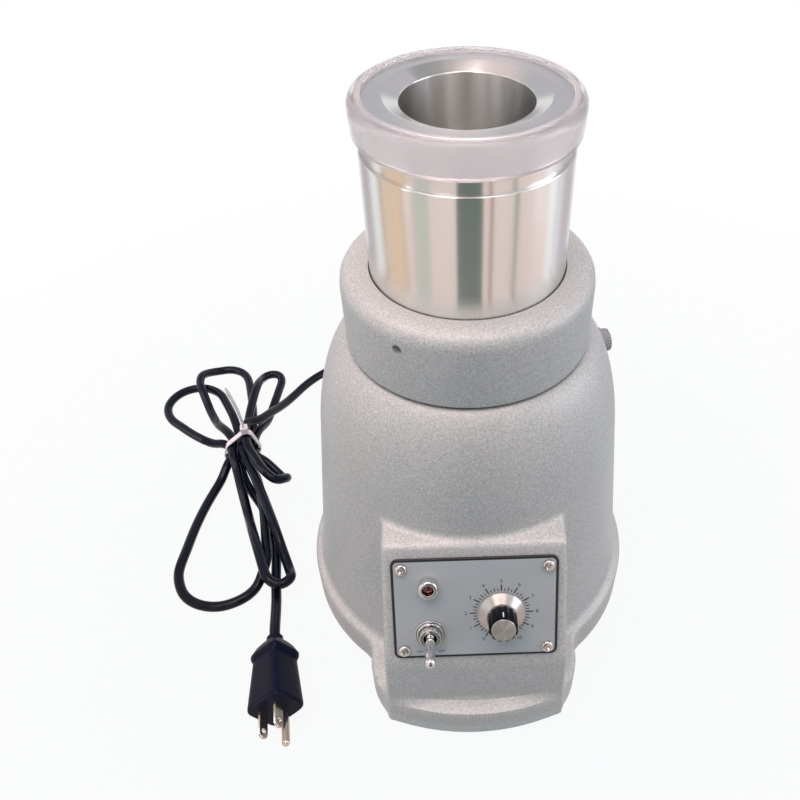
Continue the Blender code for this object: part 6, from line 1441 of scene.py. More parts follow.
turned_piece(
    "rim_ring",
    [
        (RING_LIP_RADIUS, CUP_TOP + GAP + RING_LIP, EDGE_BREAK),
        (RING_OUTER_RADIUS, CUP_TOP + GAP + RING_LIP, RING_ROUND),
        (RING_LOWER_RADIUS, RING_BOTTOM + GAP, RING_FOOT_ROUND),
        (CUP_RIM_RADIUS + GAP, RING_BOTTOM + GAP, 0), (CUP_RIM_RADIUS + GAP, CUP_TOP + GAP, 0),
        (RING_LIP_RADIUS, CUP_TOP + GAP, 0)
    ],
    ROUND, "cup", "frosted_silicone", ["sealing_ring"],
)
print("cup height in mm:", round(MM_PER_METRE * (CUP_TOP - CUP_BOTTOM), 1))

# %% [markdown]
# ## Blade, bush and nut
# A two-armed blade sits on the shaft in the cup's floor, above a bronze bush and a rubber seal. Its arms
# are bent up, and their edges are ground. The bush and seal are turned profiles, the blade is an outline
# raised in layers, and the nut's rings go from a hexagon to a dome.

# %% Bush and seal
BLADE_SHAFT_RADIUS = 0.0040
BUSH_FLANGE_RADIUS = 0.0130
BUSH_FLANGE_TOP = CUP_FLOOR_TOP + GAP + 0.0022
SEAL_RADIUS = 0.0080
SEAL_BOTTOM = BUSH_FLANGE_TOP + GAP
SEAL_TOP = SEAL_BOTTOM + 0.0024
BLADE_REACH = 0.0275
BLADE_HUB_RADIUS = 0.0070
BLADE_ROOT_HALF = 0.0055
BLADE_TIP_HALF = 0.0040
BLADE_SWEEP = 0.0030
BLADE_BOTTOM = SEAL_TOP + GAP
BLADE_THICKNESS = 0.0024
BLADE_BEND_START = 0.0130
BLADE_BEND_SLOPE = math.tan(math.radians(18.0))
BLADE_GROUND = 0.0009
NUT_BOTTOM = BLADE_BOTTOM + BLADE_THICKNESS + GAP
NUT_HEIGHT = 0.0050
NUT_RADIUS = 0.0062
NUT_DOME = 0.0030
NUT_SIDES = 6
DOME_ROWS = 7
bore = BLADE_SHAFT_RADIUS + GAP

turned_piece(
    "floor_bush",
    [(bore, BUSH_FLANGE_TOP, EDGE_BREAK), (BUSH_FLANGE_RADIUS, BUSH_FLANGE_TOP, EDGE_BREAK),
     (BUSH_FLANGE_RADIUS, CUP_FLOOR_TOP + GAP, 0), (BUSH_RADIUS, CUP_FLOOR_TOP + GAP, 0),
     (BUSH_RADIUS, CUP_FLOOR_BOTTOM, EDGE_BREAK), (bore, CUP_FLOOR_BOTTOM, 0)],
    MIDDLE, "cup", "sintered_bronze", ["cup_bush"],
)
turned_piece(
    "lip_seal",
    [(bore, SEAL_TOP, 0), (SEAL_RADIUS, SEAL_TOP, EDGE_BREAK), (SEAL_RADIUS, SEAL_BOTTOM, EDGE_BREAK),
     (bore, SEAL_BOTTOM, 0)],
    MIDDLE, "cup", "black_rubber", ["shaft_seal"],
)
print("bore for the blade's shaft in mm:", round(MM_PER_METRE * 2 * bore, 1))


# %% Blade
def blade_ring(height, inset):
    """The blade's outline at a height, drawn in by an inset: straight arms either side of a round hub."""
    root = math.asin(BLADE_ROOT_HALF / BLADE_HUB_RADIUS)
    hub = np.linspace(root, math.pi - root, SMALL // 2)
    arm_x = np.linspace(BLADE_BEND_START, BLADE_REACH - BLADE_SWEEP, CORNER_STEPS)
    share = (arm_x - BLADE_BEND_START) / (BLADE_REACH - BLADE_SWEEP - BLADE_BEND_START)
    half = BLADE_ROOT_HALF + (BLADE_TIP_HALF - BLADE_ROOT_HALF) * share
    front = np.column_stack([arm_x, -(half - inset)])
    rear = np.column_stack([arm_x + BLADE_SWEEP * share, half - inset])[::-1]
    top = (BLADE_HUB_RADIUS - inset) * np.column_stack([np.cos(hub), np.sin(hub)])
    side = np.vstack([front, rear, top])
    ring = np.vstack([side, -side])
    past = np.maximum(abs(ring[:, 0]) - BLADE_BEND_START, 0)
    return np.column_stack([ring, height + past * BLADE_BEND_SLOPE])


blade_rings = [
    blade_ring(BLADE_BOTTOM, 0), blade_ring(BLADE_BOTTOM + BLADE_THICKNESS / 2, 0),
    blade_ring(BLADE_BOTTOM + BLADE_THICKNESS, BLADE_GROUND),
]
blade = show_skin("cutting_blade", blade_rings, "blade_set", "turned_stainless_steel", ["blade"])
drill(blade, bore, BLADE_BOTTOM - OVERRUN, BLADE_BOTTOM + OVERRUN, SMALL, mill_axis)
print("blade faces:", len(blade.data.polygons))

# %% Nut
dome = np.linspace(0, math.pi / 2, DOME_ROWS)[:-1]
apothem = NUT_RADIUS * math.cos(math.pi / NUT_SIDES)
nut_top = NUT_BOTTOM + NUT_HEIGHT
nut_rings = [
    polygon_ring(NUT_RADIUS - EDGE_BREAK, NUT_SIDES, NUT_BOTTOM, MIDDLE),
    polygon_ring(NUT_RADIUS, NUT_SIDES, NUT_BOTTOM + EDGE_BREAK, MIDDLE),
    polygon_ring(NUT_RADIUS, NUT_SIDES, nut_top - EDGE_BREAK, MIDDLE),
    *turned_rings(np.column_stack([apothem * np.cos(dome), nut_top + NUT_DOME * np.sin(dome)]), MIDDLE),
]
nut = show_skin("blade_dome_nut", nut_rings, "blade_set", "chromed_brass", ["blade_nut"])
drill(nut, bore, NUT_BOTTOM - OVERRUN, nut_top, SMALL, mill_axis)
print("nut faces:", len(nut.data.polygons))

# %% [markdown]
# ## Control panel
# The panel is a painted steel plate with a printed black border, held by four pan-head screws. Its outline
# is a rounded rectangle, drawn at several heights and insets. The widest face gets the paint and the rest
# the border's ink.

# %% Plate
PLATE_WIDTH = 0.0910
PLATE_HEIGHT = 0.0626
PLATE_CORNER = 0.0040
PLATE_BACK = GAP
PLATE_FACE = 0.0015
PLATE_EDGE = 0.0002
BORDER_WIDTH = 0.0015
LAMP_PLACE = (-0.0255, 0.0153)
TOGGLE_PLACE = (-0.0252, -0.0154)
DIAL_PLACE = (0.0143, -0.0032)
PLATE_SCREWS = [(-0.0399, -0.0258), (-0.0399, 0.0258), (0.0399, -0.0258), (0.0399, 0.0258)]
SCREW_HOLE = 0.0017
LAMP_HOLE = 0.0045
TOGGLE_HOLE = 0.0061
DIAL_HOLE = 0.0050


def on_panel(place):
    """The panel's frame moved to a place on its face."""
    return panel_place @ Matrix.Translation((*place, 0))


def plate_ring(height, inset):
    """A rounded rectangle: four quarter circles, each about the centre of its corner."""
    quarter = np.linspace(0, math.pi / 2, CORNER_STEPS * 2)
    ring = []
    for turn, (sx, sy) in enumerate(((1, 1), (-1, 1), (-1, -1), (1, -1))):
        angle = quarter + turn * math.pi / 2
        radius = PLATE_CORNER - inset if PLATE_CORNER > inset + EDGE_BREAK else EDGE_BREAK
        centre = (sx * (PLATE_WIDTH / 2 - inset - radius), sy * (PLATE_HEIGHT / 2 - inset - radius))
        ring.append(np.column_stack([centre[0] + radius * np.cos(angle), centre[1] + radius * np.sin(angle)]))
    ring = np.vstack(ring)
    return np.column_stack([ring, np.full(len(ring), height)])


plate_rings = [
    plate_ring(PLATE_BACK, 0), plate_ring(PLATE_FACE - PLATE_EDGE, 0), plate_ring(PLATE_FACE, PLATE_EDGE),
    plate_ring(PLATE_FACE, BORDER_WIDTH),
]
plate_mesh = skin_mesh("panel_face", plate_rings, matrix=panel_place)
plate = show_mesh("panel_face", plate_mesh, "mill", "printing_ink", ["panel_plate"])
plate_mesh.materials.append(MATERIALS["panel_enamel"])
outwards = panel_place.to_3x3() @ Vector((0, 0, 1))
field = max(plate_mesh.polygons, key=lambda face: face.area * face.normal.dot(outwards))
field.material_index = 1
plate_holes = [(screw, SCREW_HOLE) for screw in PLATE_SCREWS]
plate_holes += [(LAMP_PLACE, LAMP_HOLE), (TOGGLE_PLACE, TOGGLE_HOLE), (DIAL_PLACE, DIAL_HOLE)]
for hole_place, hole_radius in plate_holes:
    drill(plate, hole_radius, PLATE_BACK - OVERRUN, PLATE_FACE + OVERRUN, SMALL, on_panel(hole_place))
print("plate faces:", len(plate.data.polygons))

# %% [markdown]
# ## Pan-head screws
# A cross recess is a plus sign pressed into a domed head. The head's rings are circles. The last of them
# changes to a plus sign, whose reach at an angle is the nearer of its arm's end and its arm's side, and
# then narrows as it goes down.

# %% Screws
SCREW_SEAT = PLATE_FACE + GAP
SCREW_HEAD_RADIUS = 0.0034
SCREW_HEAD_HEIGHT = 0.0020
SCREW_CROWN = 0.0016
SCREW_LENGTH = 0.0075
CROSS_REACH = 0.00185
CROSS_HALF = 0.00048
CROSS_DEPTH = 0.0011
CROSS_TAPER_SHARE = 0.45
SCREW_TURN = math.radians(37.0)


def cross_ring(reach, half, height, columns):
    """A plus sign: at angle a from the nearest arm, r is the smaller of reach / cos a and half / |sin a|."""
    angle = once_round(columns)
    off = (angle + math.pi / 4) % (math.pi / 2) - math.pi / 4
    radius = np.minimum(reach / np.cos(off), half / np.maximum(abs(np.sin(off)), WELD))
    return level_ring(radius, angle, height)


def screw_rings(seat):
    """Shank, domed head and cross recess, from the tip up."""
    crown = seat + SCREW_HEAD_HEIGHT
    shank = [(SCREW_HOLE - GAP, seat - SCREW_LENGTH), (SCREW_HOLE - GAP, seat)]
    head = [(SCREW_HEAD_RADIUS, seat, 0), (SCREW_HEAD_RADIUS, crown, SCREW_CROWN), (CROSS_REACH, crown, 0)]
    profile = np.vstack([shank, rounded(head)])
    low = crown - CROSS_DEPTH
    taper = CROSS_TAPER_SHARE
    return [
        *turned_rings(profile, MIDDLE), cross_ring(CROSS_REACH, CROSS_HALF, crown, MIDDLE),
        cross_ring(CROSS_REACH * taper, CROSS_HALF * taper, low, MIDDLE),
    ]


for number, place in enumerate(PLATE_SCREWS, 1):
    turn = Matrix.Rotation(SCREW_TURN * number, 4, "Z")
    show_skin(
        "panel_pan_screw_" + str(number), screw_rings(SCREW_SEAT), "mill",
        "zinc_plated_steel", ["panel_screw_" + str(number)], matrix=on_panel(place) @ turn,
    )
print("screws:", len(PLATE_SCREWS))

# %% [markdown]
# ## Printed dial
# The scale runs round the knob from 0 to 10 over three hundred degrees, with three short ticks between the
# numbers. The print is a film of ink: text outlines and tick boxes a few hundredths of a millimetre thick,
# made into meshes and laid on the plate as one piece.

# %% Dial print
INK = 0.00004
DIAL_SWEEP = math.radians(300.0)
DIAL_NUMBERS = 10
DIAL_PARTS = 4
TICK_START = 0.0137
LONG_TICK = 0.0038
MIDDLE_TICK = 0.0025
SHORT_TICK = 0.0016
LONG_TICK_HALF = 0.00034
SHORT_TICK_HALF = 0.00024
NUMBER_RADIUS = 0.0197
NUMBER_SIZE = 0.0030
WORD_SIZE = 0.0022
WORD_PLACES = {"ON": (-0.0062, -0.0118), "OFF": (0.0062, -0.0118)}


def text_mesh(words, size, matrix):
    """Text as a thin mesh, centred on its place."""
    curve = bpy.data.curves.new("words", "FONT")
    curve.body, curve.size = words, size
    curve.extrude = INK
    curve.align_x = curve.align_y = "CENTER"
    curve.resolution_u = 3
    writing = bpy.data.objects.new("words", curve)
    scene.collection.objects.link(writing)
    mesh = bpy.data.meshes.new_from_object(writing.evaluated_get(bpy.context.evaluated_depsgraph_get()))
    bpy.data.objects.remove(writing)
    mesh.transform(matrix)
    return mesh


def dial_meshes():
    """Ticks and numbers, each turned to its place: number n stands at -150 degrees + 300 degrees * n / 10."""
    face = Matrix.Translation((0, 0, PLATE_FACE))
    for index in range(DIAL_NUMBERS * DIAL_PARTS + 1):
        angle = DIAL_SWEEP / 2 - DIAL_SWEEP * index / (DIAL_NUMBERS * DIAL_PARTS)
        long = index % DIAL_PARTS == 0
        short_tick = SHORT_TICK if index % 2 else MIDDLE_TICK
        length, half = (LONG_TICK, LONG_TICK_HALF) if long else (short_tick, SHORT_TICK_HALF)
        middle = Matrix.Rotation(angle, 4, "Z") @ Matrix.Translation((0, TICK_START + length / 2, 0))
        yield box_mesh("tick", half, length / 2, 0, INK, on_panel(DIAL_PLACE) @ face @ middle)
        if long:
            place = Matrix.Translation((-NUMBER_RADIUS * math.sin(angle), NUMBER_RADIUS * math.cos(angle), 0))
            yield text_mesh(str(index // DIAL_PARTS), NUMBER_SIZE, on_panel(DIAL_PLACE) @ face @ place)
    for word, (x, y) in WORD_PLACES.items():
        yield text_mesh(word, WORD_SIZE, on_panel(TOGGLE_PLACE) @ face @ Matrix.Translation((x, y, 0)))


def one_mesh(name, meshes):
    """Several meshes put together in one."""
    bm = bmesh.new()
    for mesh in meshes:
        bm.from_mesh(mesh)
    whole = bpy.data.meshes.new(name)
    bm.to_mesh(whole)
    bm.free()
    return whole


dial = show_mesh("dial_print", one_mesh("dial_print", dial_meshes()), "mill", "printing_ink")
print("print faces:", len(dial.data.polygons))

# %% [markdown]
# ## Lamp and toggle switch
# The lamp's chromed bezel holds a domed red lens a little below its rim. The switch has a threaded bushing
# with a dress nut, and a bat lever that pivots in the bushing on its ball. All are turned profiles; the
# thread is a row of grooves at its real pitch.

# %% Lamp
BEZEL_RADIUS = 0.0055
BEZEL_BORE = 0.0032
BEZEL_TOP = SCREW_SEAT + 0.0058
BEZEL_ROUND = 0.0016
BEZEL_NECK = 0.0042
LAMP_BODY_DEPTH = 0.0180
LENS_TOP = BEZEL_TOP - 0.0018
LENS_DOME = 0.0014
LENS_DEPTH = 0.0050

lamp_frame, toggle_frame, dial_frame = on_panel(LAMP_PLACE), on_panel(TOGGLE_PLACE), on_panel(DIAL_PLACE)
socket = LENS_TOP - LENS_DEPTH - GAP
bezel_profile = rounded([
    (WELD, socket, 0), (BEZEL_BORE, socket, 0), (BEZEL_BORE, BEZEL_TOP, EDGE_BREAK),
    (BEZEL_RADIUS, BEZEL_TOP, BEZEL_ROUND), (BEZEL_RADIUS, SCREW_SEAT, EDGE_BREAK),
    (BEZEL_NECK, SCREW_SEAT, 0), (BEZEL_NECK, -LAMP_BODY_DEPTH, 0), (WELD, -LAMP_BODY_DEPTH, 0),
])
show_skin(
    "lamp_chrome_bezel", turned_rings(bezel_profile, MIDDLE), "mill", "chromed_brass",
    ["lamp_bezel"], matrix=lamp_frame,
)
dome = np.linspace(math.pi / 2, 0, DOME_ROWS)
lens_radius = BEZEL_BORE - GAP
lens_profile = np.vstack([
    np.column_stack([lens_radius * np.cos(dome) + WELD, LENS_TOP - LENS_DOME + LENS_DOME * np.sin(dome)]),
    [(lens_radius, LENS_TOP - LENS_DEPTH), (WELD, LENS_TOP - LENS_DEPTH)],
])
show_skin(
    "lamp_red_lens", turned_rings(lens_profile, MIDDLE), "mill", "red_lens_acrylic",
    ["lamp_lens"], matrix=lamp_frame,
)
print("lens width in mm:", round(MM_PER_METRE * 2 * lens_radius, 1))

# %% Switch
BARREL_RADIUS = 0.0059
BARREL_BORE = 0.0037
BARREL_TOP = PLATE_FACE + 0.0057
THREAD_PITCH = 0.0008
THREAD_DEPTH = 0.0003
THREADS = 4
NUT_OUTER = 0.0087
NUT_STEP = 0.0073
NUT_LOW = 0.0011
NUT_HIGH = 0.0020
LEVER_PIVOT = PLATE_FACE + 0.0020
LEVER_BALL = 0.0033
LEVER_NECK = 0.0026
LEVER_SHOULDER = 0.0026
LEVER_TIP = 0.0031
LEVER_LENGTH = 0.0215
LEVER_TILT = math.radians(13.0)
# Degrees above the level through the centre, for the arcs of the ball and the tip.
BALL_ARC = (-89.0, 58.0)
TIP_ARC = (-35.0, 89.0)

thread = []
for index in range(THREADS):
    height = BARREL_TOP - THREAD_PITCH * (index + 1)
    thread += [(BARREL_RADIUS, height + THREAD_PITCH / 4, 0), (BARREL_RADIUS - THREAD_DEPTH, height, 0)]
turned_piece(
    "switch_bushing",
    [(BARREL_BORE, BARREL_TOP, EDGE_BREAK), (BARREL_RADIUS, BARREL_TOP, EDGE_BREAK), *thread,
     (BARREL_RADIUS, SCREW_SEAT, 0), (BARREL_BORE, SCREW_SEAT, 0)],
    MIDDLE, "mill", "chromed_brass", matrix=toggle_frame,
)
turned_piece(
    "switch_dress_nut",
    [
        (BARREL_RADIUS + GAP / 2, SCREW_SEAT + NUT_HIGH, 0), (NUT_STEP, SCREW_SEAT + NUT_HIGH, EDGE_BREAK),
        (NUT_STEP, SCREW_SEAT + NUT_LOW, 0), (NUT_OUTER, SCREW_SEAT + NUT_LOW, EDGE_BREAK),
        (NUT_OUTER, SCREW_SEAT, 0), (BARREL_RADIUS + GAP / 2, SCREW_SEAT, 0)
    ],
    MIDDLE, "mill", "chromed_brass", ["switch_nut"], matrix=toggle_frame,
)
ball, tip = (np.linspace(*np.radians(arc), SMALL // 2) for arc in (BALL_ARC, TIP_ARC))
lever_profile = np.vstack([
    np.column_stack([LEVER_BALL * np.cos(ball), LEVER_BALL * np.sin(ball)]),
    [(LEVER_NECK, BARREL_TOP - LEVER_PIVOT), (LEVER_SHOULDER, LEVER_LENGTH - 2 * LEVER_TIP)],
    np.column_stack([LEVER_TIP * np.cos(tip), LEVER_LENGTH - LEVER_TIP + LEVER_TIP * np.sin(tip)]),
])
lever_frame = toggle_frame @ Matrix.Translation((0, 0, LEVER_PIVOT)) @ Matrix.Rotation(LEVER_TILT, 4, "X")
show_skin(
    "bat_lever", turned_rings(lever_profile, MIDDLE), "toggle", "chromed_brass", ["switch_lever"],
    matrix=lever_frame,
)
print("lever length in mm:", round(MM_PER_METRE * LEVER_LENGTH, 1))

# %% [markdown]
# ## Speed knob
# A black phenolic knob stands on a spun aluminium skirt and has a spun cap. The skirt is a cone with a thin
# rim. The knob's flutes come from a cosine of its angle: twelve shallow grooves, so that fingers can grip it.
# A short white line on its side points at the scale. It is partly a printed pointer and partly a painted
# highlight, standing in for a small glint at that spot.

# %% Knob
SKIRT_RADIUS = 0.0129
SKIRT_EDGE = 0.0008
SKIRT_LOW = PLATE_FACE + 0.0008
SKIRT_TOP = PLATE_FACE + 0.0056
SKIRT_TOP_RADIUS = 0.0086
SKIRT_BORE = 0.0064
SKIRT_WALL = 0.0012
KNOB_RADIUS = 0.0080
KNOB_LOW = SKIRT_TOP + GAP
KNOB_TOP = KNOB_LOW + 0.0103
KNOB_FLUTES = 12
FLUTE_DEPTH = 0.0006
FLUTE_COLUMNS = 16
KNOB_EDGE = 0.0005
KNOB_CAP_RADIUS = 0.0066
KNOB_CAP_TOP = KNOB_TOP + GAP + 0.0006
LINE_HALF = 0.0003
LINE_LENGTH = 0.0030

turned_piece(
    "knob_spun_skirt",
    [(SKIRT_BORE, SKIRT_TOP, 0), (SKIRT_TOP_RADIUS, SKIRT_TOP, EDGE_BREAK),
     (SKIRT_RADIUS - SKIRT_EDGE, SKIRT_LOW + 2 * SKIRT_EDGE, 0), (SKIRT_RADIUS, SKIRT_LOW + SKIRT_EDGE, 0),
     (SKIRT_RADIUS, SKIRT_LOW, 0), (SKIRT_RADIUS - SKIRT_WALL, SKIRT_LOW, 0),
     (SKIRT_TOP_RADIUS, SKIRT_TOP - SKIRT_WALL, 0), (SKIRT_BORE, SKIRT_TOP - SKIRT_WALL, 0)],
    ROUND, "knob", "spun_aluminium", ["knob_skirt"], matrix=dial_frame,
)
knob_steps = [
    (KNOB_LOW, 0), (KNOB_TOP - KNOB_EDGE, 0), (KNOB_TOP - KNOB_EDGE / 3, KNOB_EDGE / 3),
    (KNOB_TOP, KNOB_EDGE),
]
knob_rings = [
    ribbed_ring(KNOB_RADIUS - inset, KNOB_FLUTES, FLUTE_DEPTH, KNOB_FLUTES * FLUTE_COLUMNS, height)
    for height, inset in knob_steps
]
show_skin(
    "knob_fluted_body", knob_rings, "knob", "black_phenolic", ["knob_body"],
    matrix=dial_frame,
)
# The white line is a pointer mark and also a painted highlight on the knob's side.
line_frame = dial_frame @ Matrix.Translation((0, KNOB_RADIUS, KNOB_TOP - KNOB_EDGE - LINE_LENGTH / 2))
line_mesh = box_mesh("knob_pointer_line", LINE_HALF, KNOB_EDGE, -LINE_LENGTH / 2, LINE_LENGTH / 2, line_frame)
show_mesh("knob_pointer_line", line_mesh, "knob", "natural_nylon")
cap_profile = rounded([
    (KNOB_CAP_RADIUS, KNOB_TOP + GAP / 2, 0), (KNOB_CAP_RADIUS, KNOB_CAP_TOP, EDGE_BREAK / 2),
    (EDGE_BREAK, KNOB_CAP_TOP, 0), (WELD, KNOB_CAP_TOP, 0),
])
show_skin(
    "knob_spun_cap", turned_rings(cap_profile, ROUND), "knob", "spun_aluminium",
    ["knob_cap"], matrix=dial_frame,
)
print("knob height in mm:", round(MM_PER_METRE * KNOB_CAP_TOP, 1))

# %% [markdown]
# ## Fuse holder
# A fuse holder sits in the wall at the rear right. Its cap has fine ribs for the fingers and a slot for a
# coin. It sits on a flat spot that is milled into the bell.

# %% Fuse holder
FUSE_AZIMUTH = math.radians(104.0)
FUSE_HEIGHT = 0.1775
FUSE_SEAT = 0.0805
FUSE_SPOT = 0.0088
FUSE_FLANGE = 0.0082
FUSE_FLANGE_HEIGHT = 0.0022
FUSE_BODY = 0.0060
FUSE_BODY_LENGTH = 0.0180
FUSE_CAP = 0.0070
FUSE_CAP_HEIGHT = 0.0042
FUSE_RIBS = 24
FUSE_RIB = 0.00035
FUSE_EDGE = 0.0007
FUSE_SLOT_HALF = 0.0006
FUSE_SLOT_DEPTH = 0.0012
FUSE_COLUMNS = FUSE_RIBS * 8

fuse_frame = facing(FUSE_AZIMUTH, FUSE_HEIGHT)
fuse_seat = FUSE_SEAT + GAP
fuse_flange = fuse_seat + FUSE_FLANGE_HEIGHT
fuse_top = fuse_flange + GAP + FUSE_CAP_HEIGHT
holder_profile = rounded([
    (WELD, fuse_seat - FUSE_BODY_LENGTH, 0), (FUSE_BODY, fuse_seat - FUSE_BODY_LENGTH, EDGE_BREAK),
    (FUSE_BODY, fuse_seat, 0), (FUSE_FLANGE, fuse_seat, EDGE_BREAK), (FUSE_FLANGE, fuse_flange, FUSE_EDGE),
    (WELD, fuse_flange, 0),
])
show_skin(
    "fuse_holder_body", turned_rings(holder_profile, MIDDLE), "mill", "grey_abs",
    ["fuse_holder"], matrix=fuse_frame,
)
cap_steps = [
    (fuse_flange + GAP, 0, FUSE_RIB), (fuse_top - 2 * FUSE_EDGE, 0, FUSE_RIB),
    (fuse_top - FUSE_EDGE, FUSE_RIB, 0), (fuse_top - FUSE_EDGE / 3, FUSE_EDGE / 2, 0),
    (fuse_top, 2 * FUSE_EDGE, 0),
]
cap_rings = [
    ribbed_ring(FUSE_CAP - inset, FUSE_RIBS, rib, FUSE_COLUMNS, height) for height, inset, rib in cap_steps
]
fuse_cap = show_skin(
    "fuse_screw_cap", cap_rings, "mill", "grey_abs", ["fuse_cap"], matrix=fuse_frame,
)
slot_low, slot_high = fuse_top - FUSE_SLOT_DEPTH, fuse_top + OVERRUN
cut(fuse_cap, box_mesh("slot", FUSE_SLOT_HALF, FUSE_CAP + OVERRUN, slot_low, slot_high, fuse_frame))
relief_start, relief_end = RELIEF_INNER_END - OVERRUN, RELIEF_BOSS_REACH + OVERRUN
wall_cuts = [
    cylinder_mesh("spot", FUSE_SPOT, FUSE_SEAT, BELL_FOOT_RADIUS, MIDDLE, fuse_frame),
    cylinder_mesh("hole", RELIEF_NECK + GAP, relief_start, relief_end, MIDDLE, relief_frame),
]
cut(housing, one_mesh("wall_cuts", wall_cuts))
drill(housing, FUSE_BODY + GAP, FUSE_SEAT - 2 * WALL, FUSE_SEAT + OVERRUN, MIDDLE, fuse_frame)
print("housing triangles:", sum(len(face.vertices) - 2 for face in housing.data.polygons))

# %% [markdown]
# ## Parts that only show when something is opened
# The feet, the cover, the motor and the inner side of the switches are CAD nodes whose shape is right as it
# is. They keep their meshes and only get finishes. Their materials read Object coordinates, so they need no
# UV map.

# %% Finishes of the CAD nodes
# Ground or turned steel: bright and smooth.
moulding("machined_steel", ("#A9A6A2", "#BDBAB6"), roughness=0.28, grain_mm=MOULD_MM / 2, Metallic=1.0)
# Pressed sheet, zinc plated: a bluish, clouded shine.
moulding("bright_zinc_plate", ("#B4B4B6", "#CBCBCD"), roughness=0.32, grain_mm=MOULD_MM * 2, Metallic=1.0)
# Pushed through a die: a matt pale grey.
moulding("extruded_aluminium", ("#AEB0B3", "#C3C5C8"), roughness=0.34, Metallic=1.0)
NODE_FINISHES = {
    "stacked_steel_sheets": ["armature", "stator"],
    "enamelled_copper_wire": ["field_coil_left", "field_coil_right"],
    "copper_segments": ["commutator"],
    "brush_carbon": ["brush_left", "brush_right"],
    "sand_cast_aluminium": ["upper_end_frame", "lower_end_frame"],
    "board_laminate": ["speed_board"],
    "extruded_aluminium": ["board_heatsink", "board_capacitor"],
    "bright_zinc_plate": ["bottom_cover", "potentiometer"],
    "black_phenolic": ["fan", "switch_body"],
    "black_rubber": [
        "collar_gasket", "foot_front_left", "foot_front_right", "foot_rear_left", "foot_rear_right",
    ],
    "machined_steel": [
        "motor_shaft", "blade_shaft", "knob_shaft", "coupling_upper", "coupling_lower", "upper_bearing",
        "lower_bearing",
    ],
}
for finish, names in NODE_FINISHES.items():
    for name in names:
        for finish_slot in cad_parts[name].material_slots:
            finish_slot.material = MATERIALS[finish]
print("CAD nodes that keep their own mesh:", sum(map(len, NODE_FINISHES.values())))

# %% [markdown]
# ## Floor and surroundings
# The mill stands on a seamless pale sweep. The camera and mirror reflections see the world as plain white,
# and diffuse light sees it at a plain level with a faint cool tone, as in a room with daylight. Near the
# mill the floor is mostly even glow and a little cool grey board, which keeps the shadow soft and pale.
# Further out the glow takes over, so the floor melts into the white behind it.

# %% Studio
FLOOR_SIZE = 6.0
FLOOR_DROP = 0.0004
NEAR_GLOW_SHARE = 0.93
NEAR_REACH = 0.15
FAR_REACH = 0.60
SWEEP_ROUGHNESS = 0.9
WORLD_LEVEL = 0.48
WHITE = "#FFFFFF"
BLACK = "#000000"
SKY_TONE = "#E3F0F6"
BOARD_GREY = "#8299A3"


def seen_directly(tree):
    """One where a ray comes from the camera, a mirror or a clear body: the largest of three ray flags."""
    path = add_node(tree, "LightPath")
    rays = {0: path.outputs["Is Glossy Ray"], 1: path.outputs["Is Transmission Ray"]}
    clear = add_node(tree, "Math", rays, operation="MAXIMUM").outputs[0]
    rays = {0: path.outputs["Is Camera Ray"], 1: clear}
    return add_node(tree, "Math", rays, operation="MAXIMUM").outputs[0]


studio = bpy.data.worlds.new("white_studio")
studio.use_nodes = True
scene.world = studio
tree = studio.node_tree
around = tree.nodes["Background"]
direct = seen_directly(tree)
tone = add_node(tree, "Mix", {"Factor": direct, "A": linear(SKY_TONE), "B": linear(WHITE)}, data_type="RGBA")
tree.links.new(tone.outputs[2], around.inputs["Color"])
level = add_node(tree, "MapRange", {"Value": direct, "To Min": WORLD_LEVEL, "To Max": 1.0})
tree.links.new(level.outputs["Result"], around.inputs["Strength"])


def stage_sheet(name, matrix, half_width, half_height, material):
    """A flat sheet that belongs to the studio and not to the mill."""
    corners = np.array([(-1, -1), (1, -1), (1, 1), (-1, 1)]) * (half_width, half_height)
    points = placed(np.column_stack([corners, np.zeros(4)]), matrix)
    mesh = bpy.data.meshes.new(name)
    mesh.from_pydata(points.tolist(), [], [(0, 1, 2, 3)])
    mesh.materials.append(material)
    sheet = bpy.data.objects.new(name, mesh)
    scene.collection.objects.link(sheet)
    return sheet


sweep, tree, shader = new_material("white_paper_sweep", Roughness=SWEEP_ROUGHNESS, Specular_IOR_Level=0.0)
shader.inputs["Base Color"].default_value = linear(BOARD_GREY)
glow = add_node(tree, "Emission", {"Color": linear(WHITE)})
direct = seen_directly(tree)
away = add_node(tree, "VectorMath", {0: add_node(tree, "TexCoord").outputs["Object"]}, operation="LENGTH")
near = add_node(tree, "MapRange", {
    "Value": away.outputs["Value"], "From Min": NEAR_REACH, "From Max": FAR_REACH, "To Min": NEAR_GLOW_SHARE,
})
share = add_node(tree, "Math", {0: direct, 1: near.outputs["Result"]}, operation="MULTIPLY")
links = {0: share.outputs[0], 1: shader.outputs["BSDF"], 2: glow.outputs["Emission"]}
blend = add_node(tree, "MixShader", links)
tree.links.new(blend.outputs["Shader"], tree.nodes["Material Output"].inputs["Surface"])
stage_sheet("paper_sweep", Matrix.Translation((0, 0, -FLOOR_DROP)), FLOOR_SIZE, FLOOR_SIZE, sweep)
print("floor glow near the mill:", NEAR_GLOW_SHARE)

# %% [markdown]
# ## Lights and cards
# A large soft box overhead gives the level faces their bright, slightly warm tone, and two weak ones at the
# sides keep the edges of the bell a little lighter than its front. A polished cup shows whatever stands round
# it, and in an all-white room it would look like paper. Photographers stand tinted cards beside such a piece.
# Here narrow glowing cards stand close to the mill, and their tones are painted reflections: they give the
# cup its upright bands. One hangs behind it, where the flat top face looks, one lies on the floor, and two
# hang above for the coned mouth. Only reflections see the cards, and as each glows by itself and no lamp
# lights it, its tone is the one that is written here.

# %% Soft boxes
TARGET = Vector((0, AXIS_Y, 0.20))
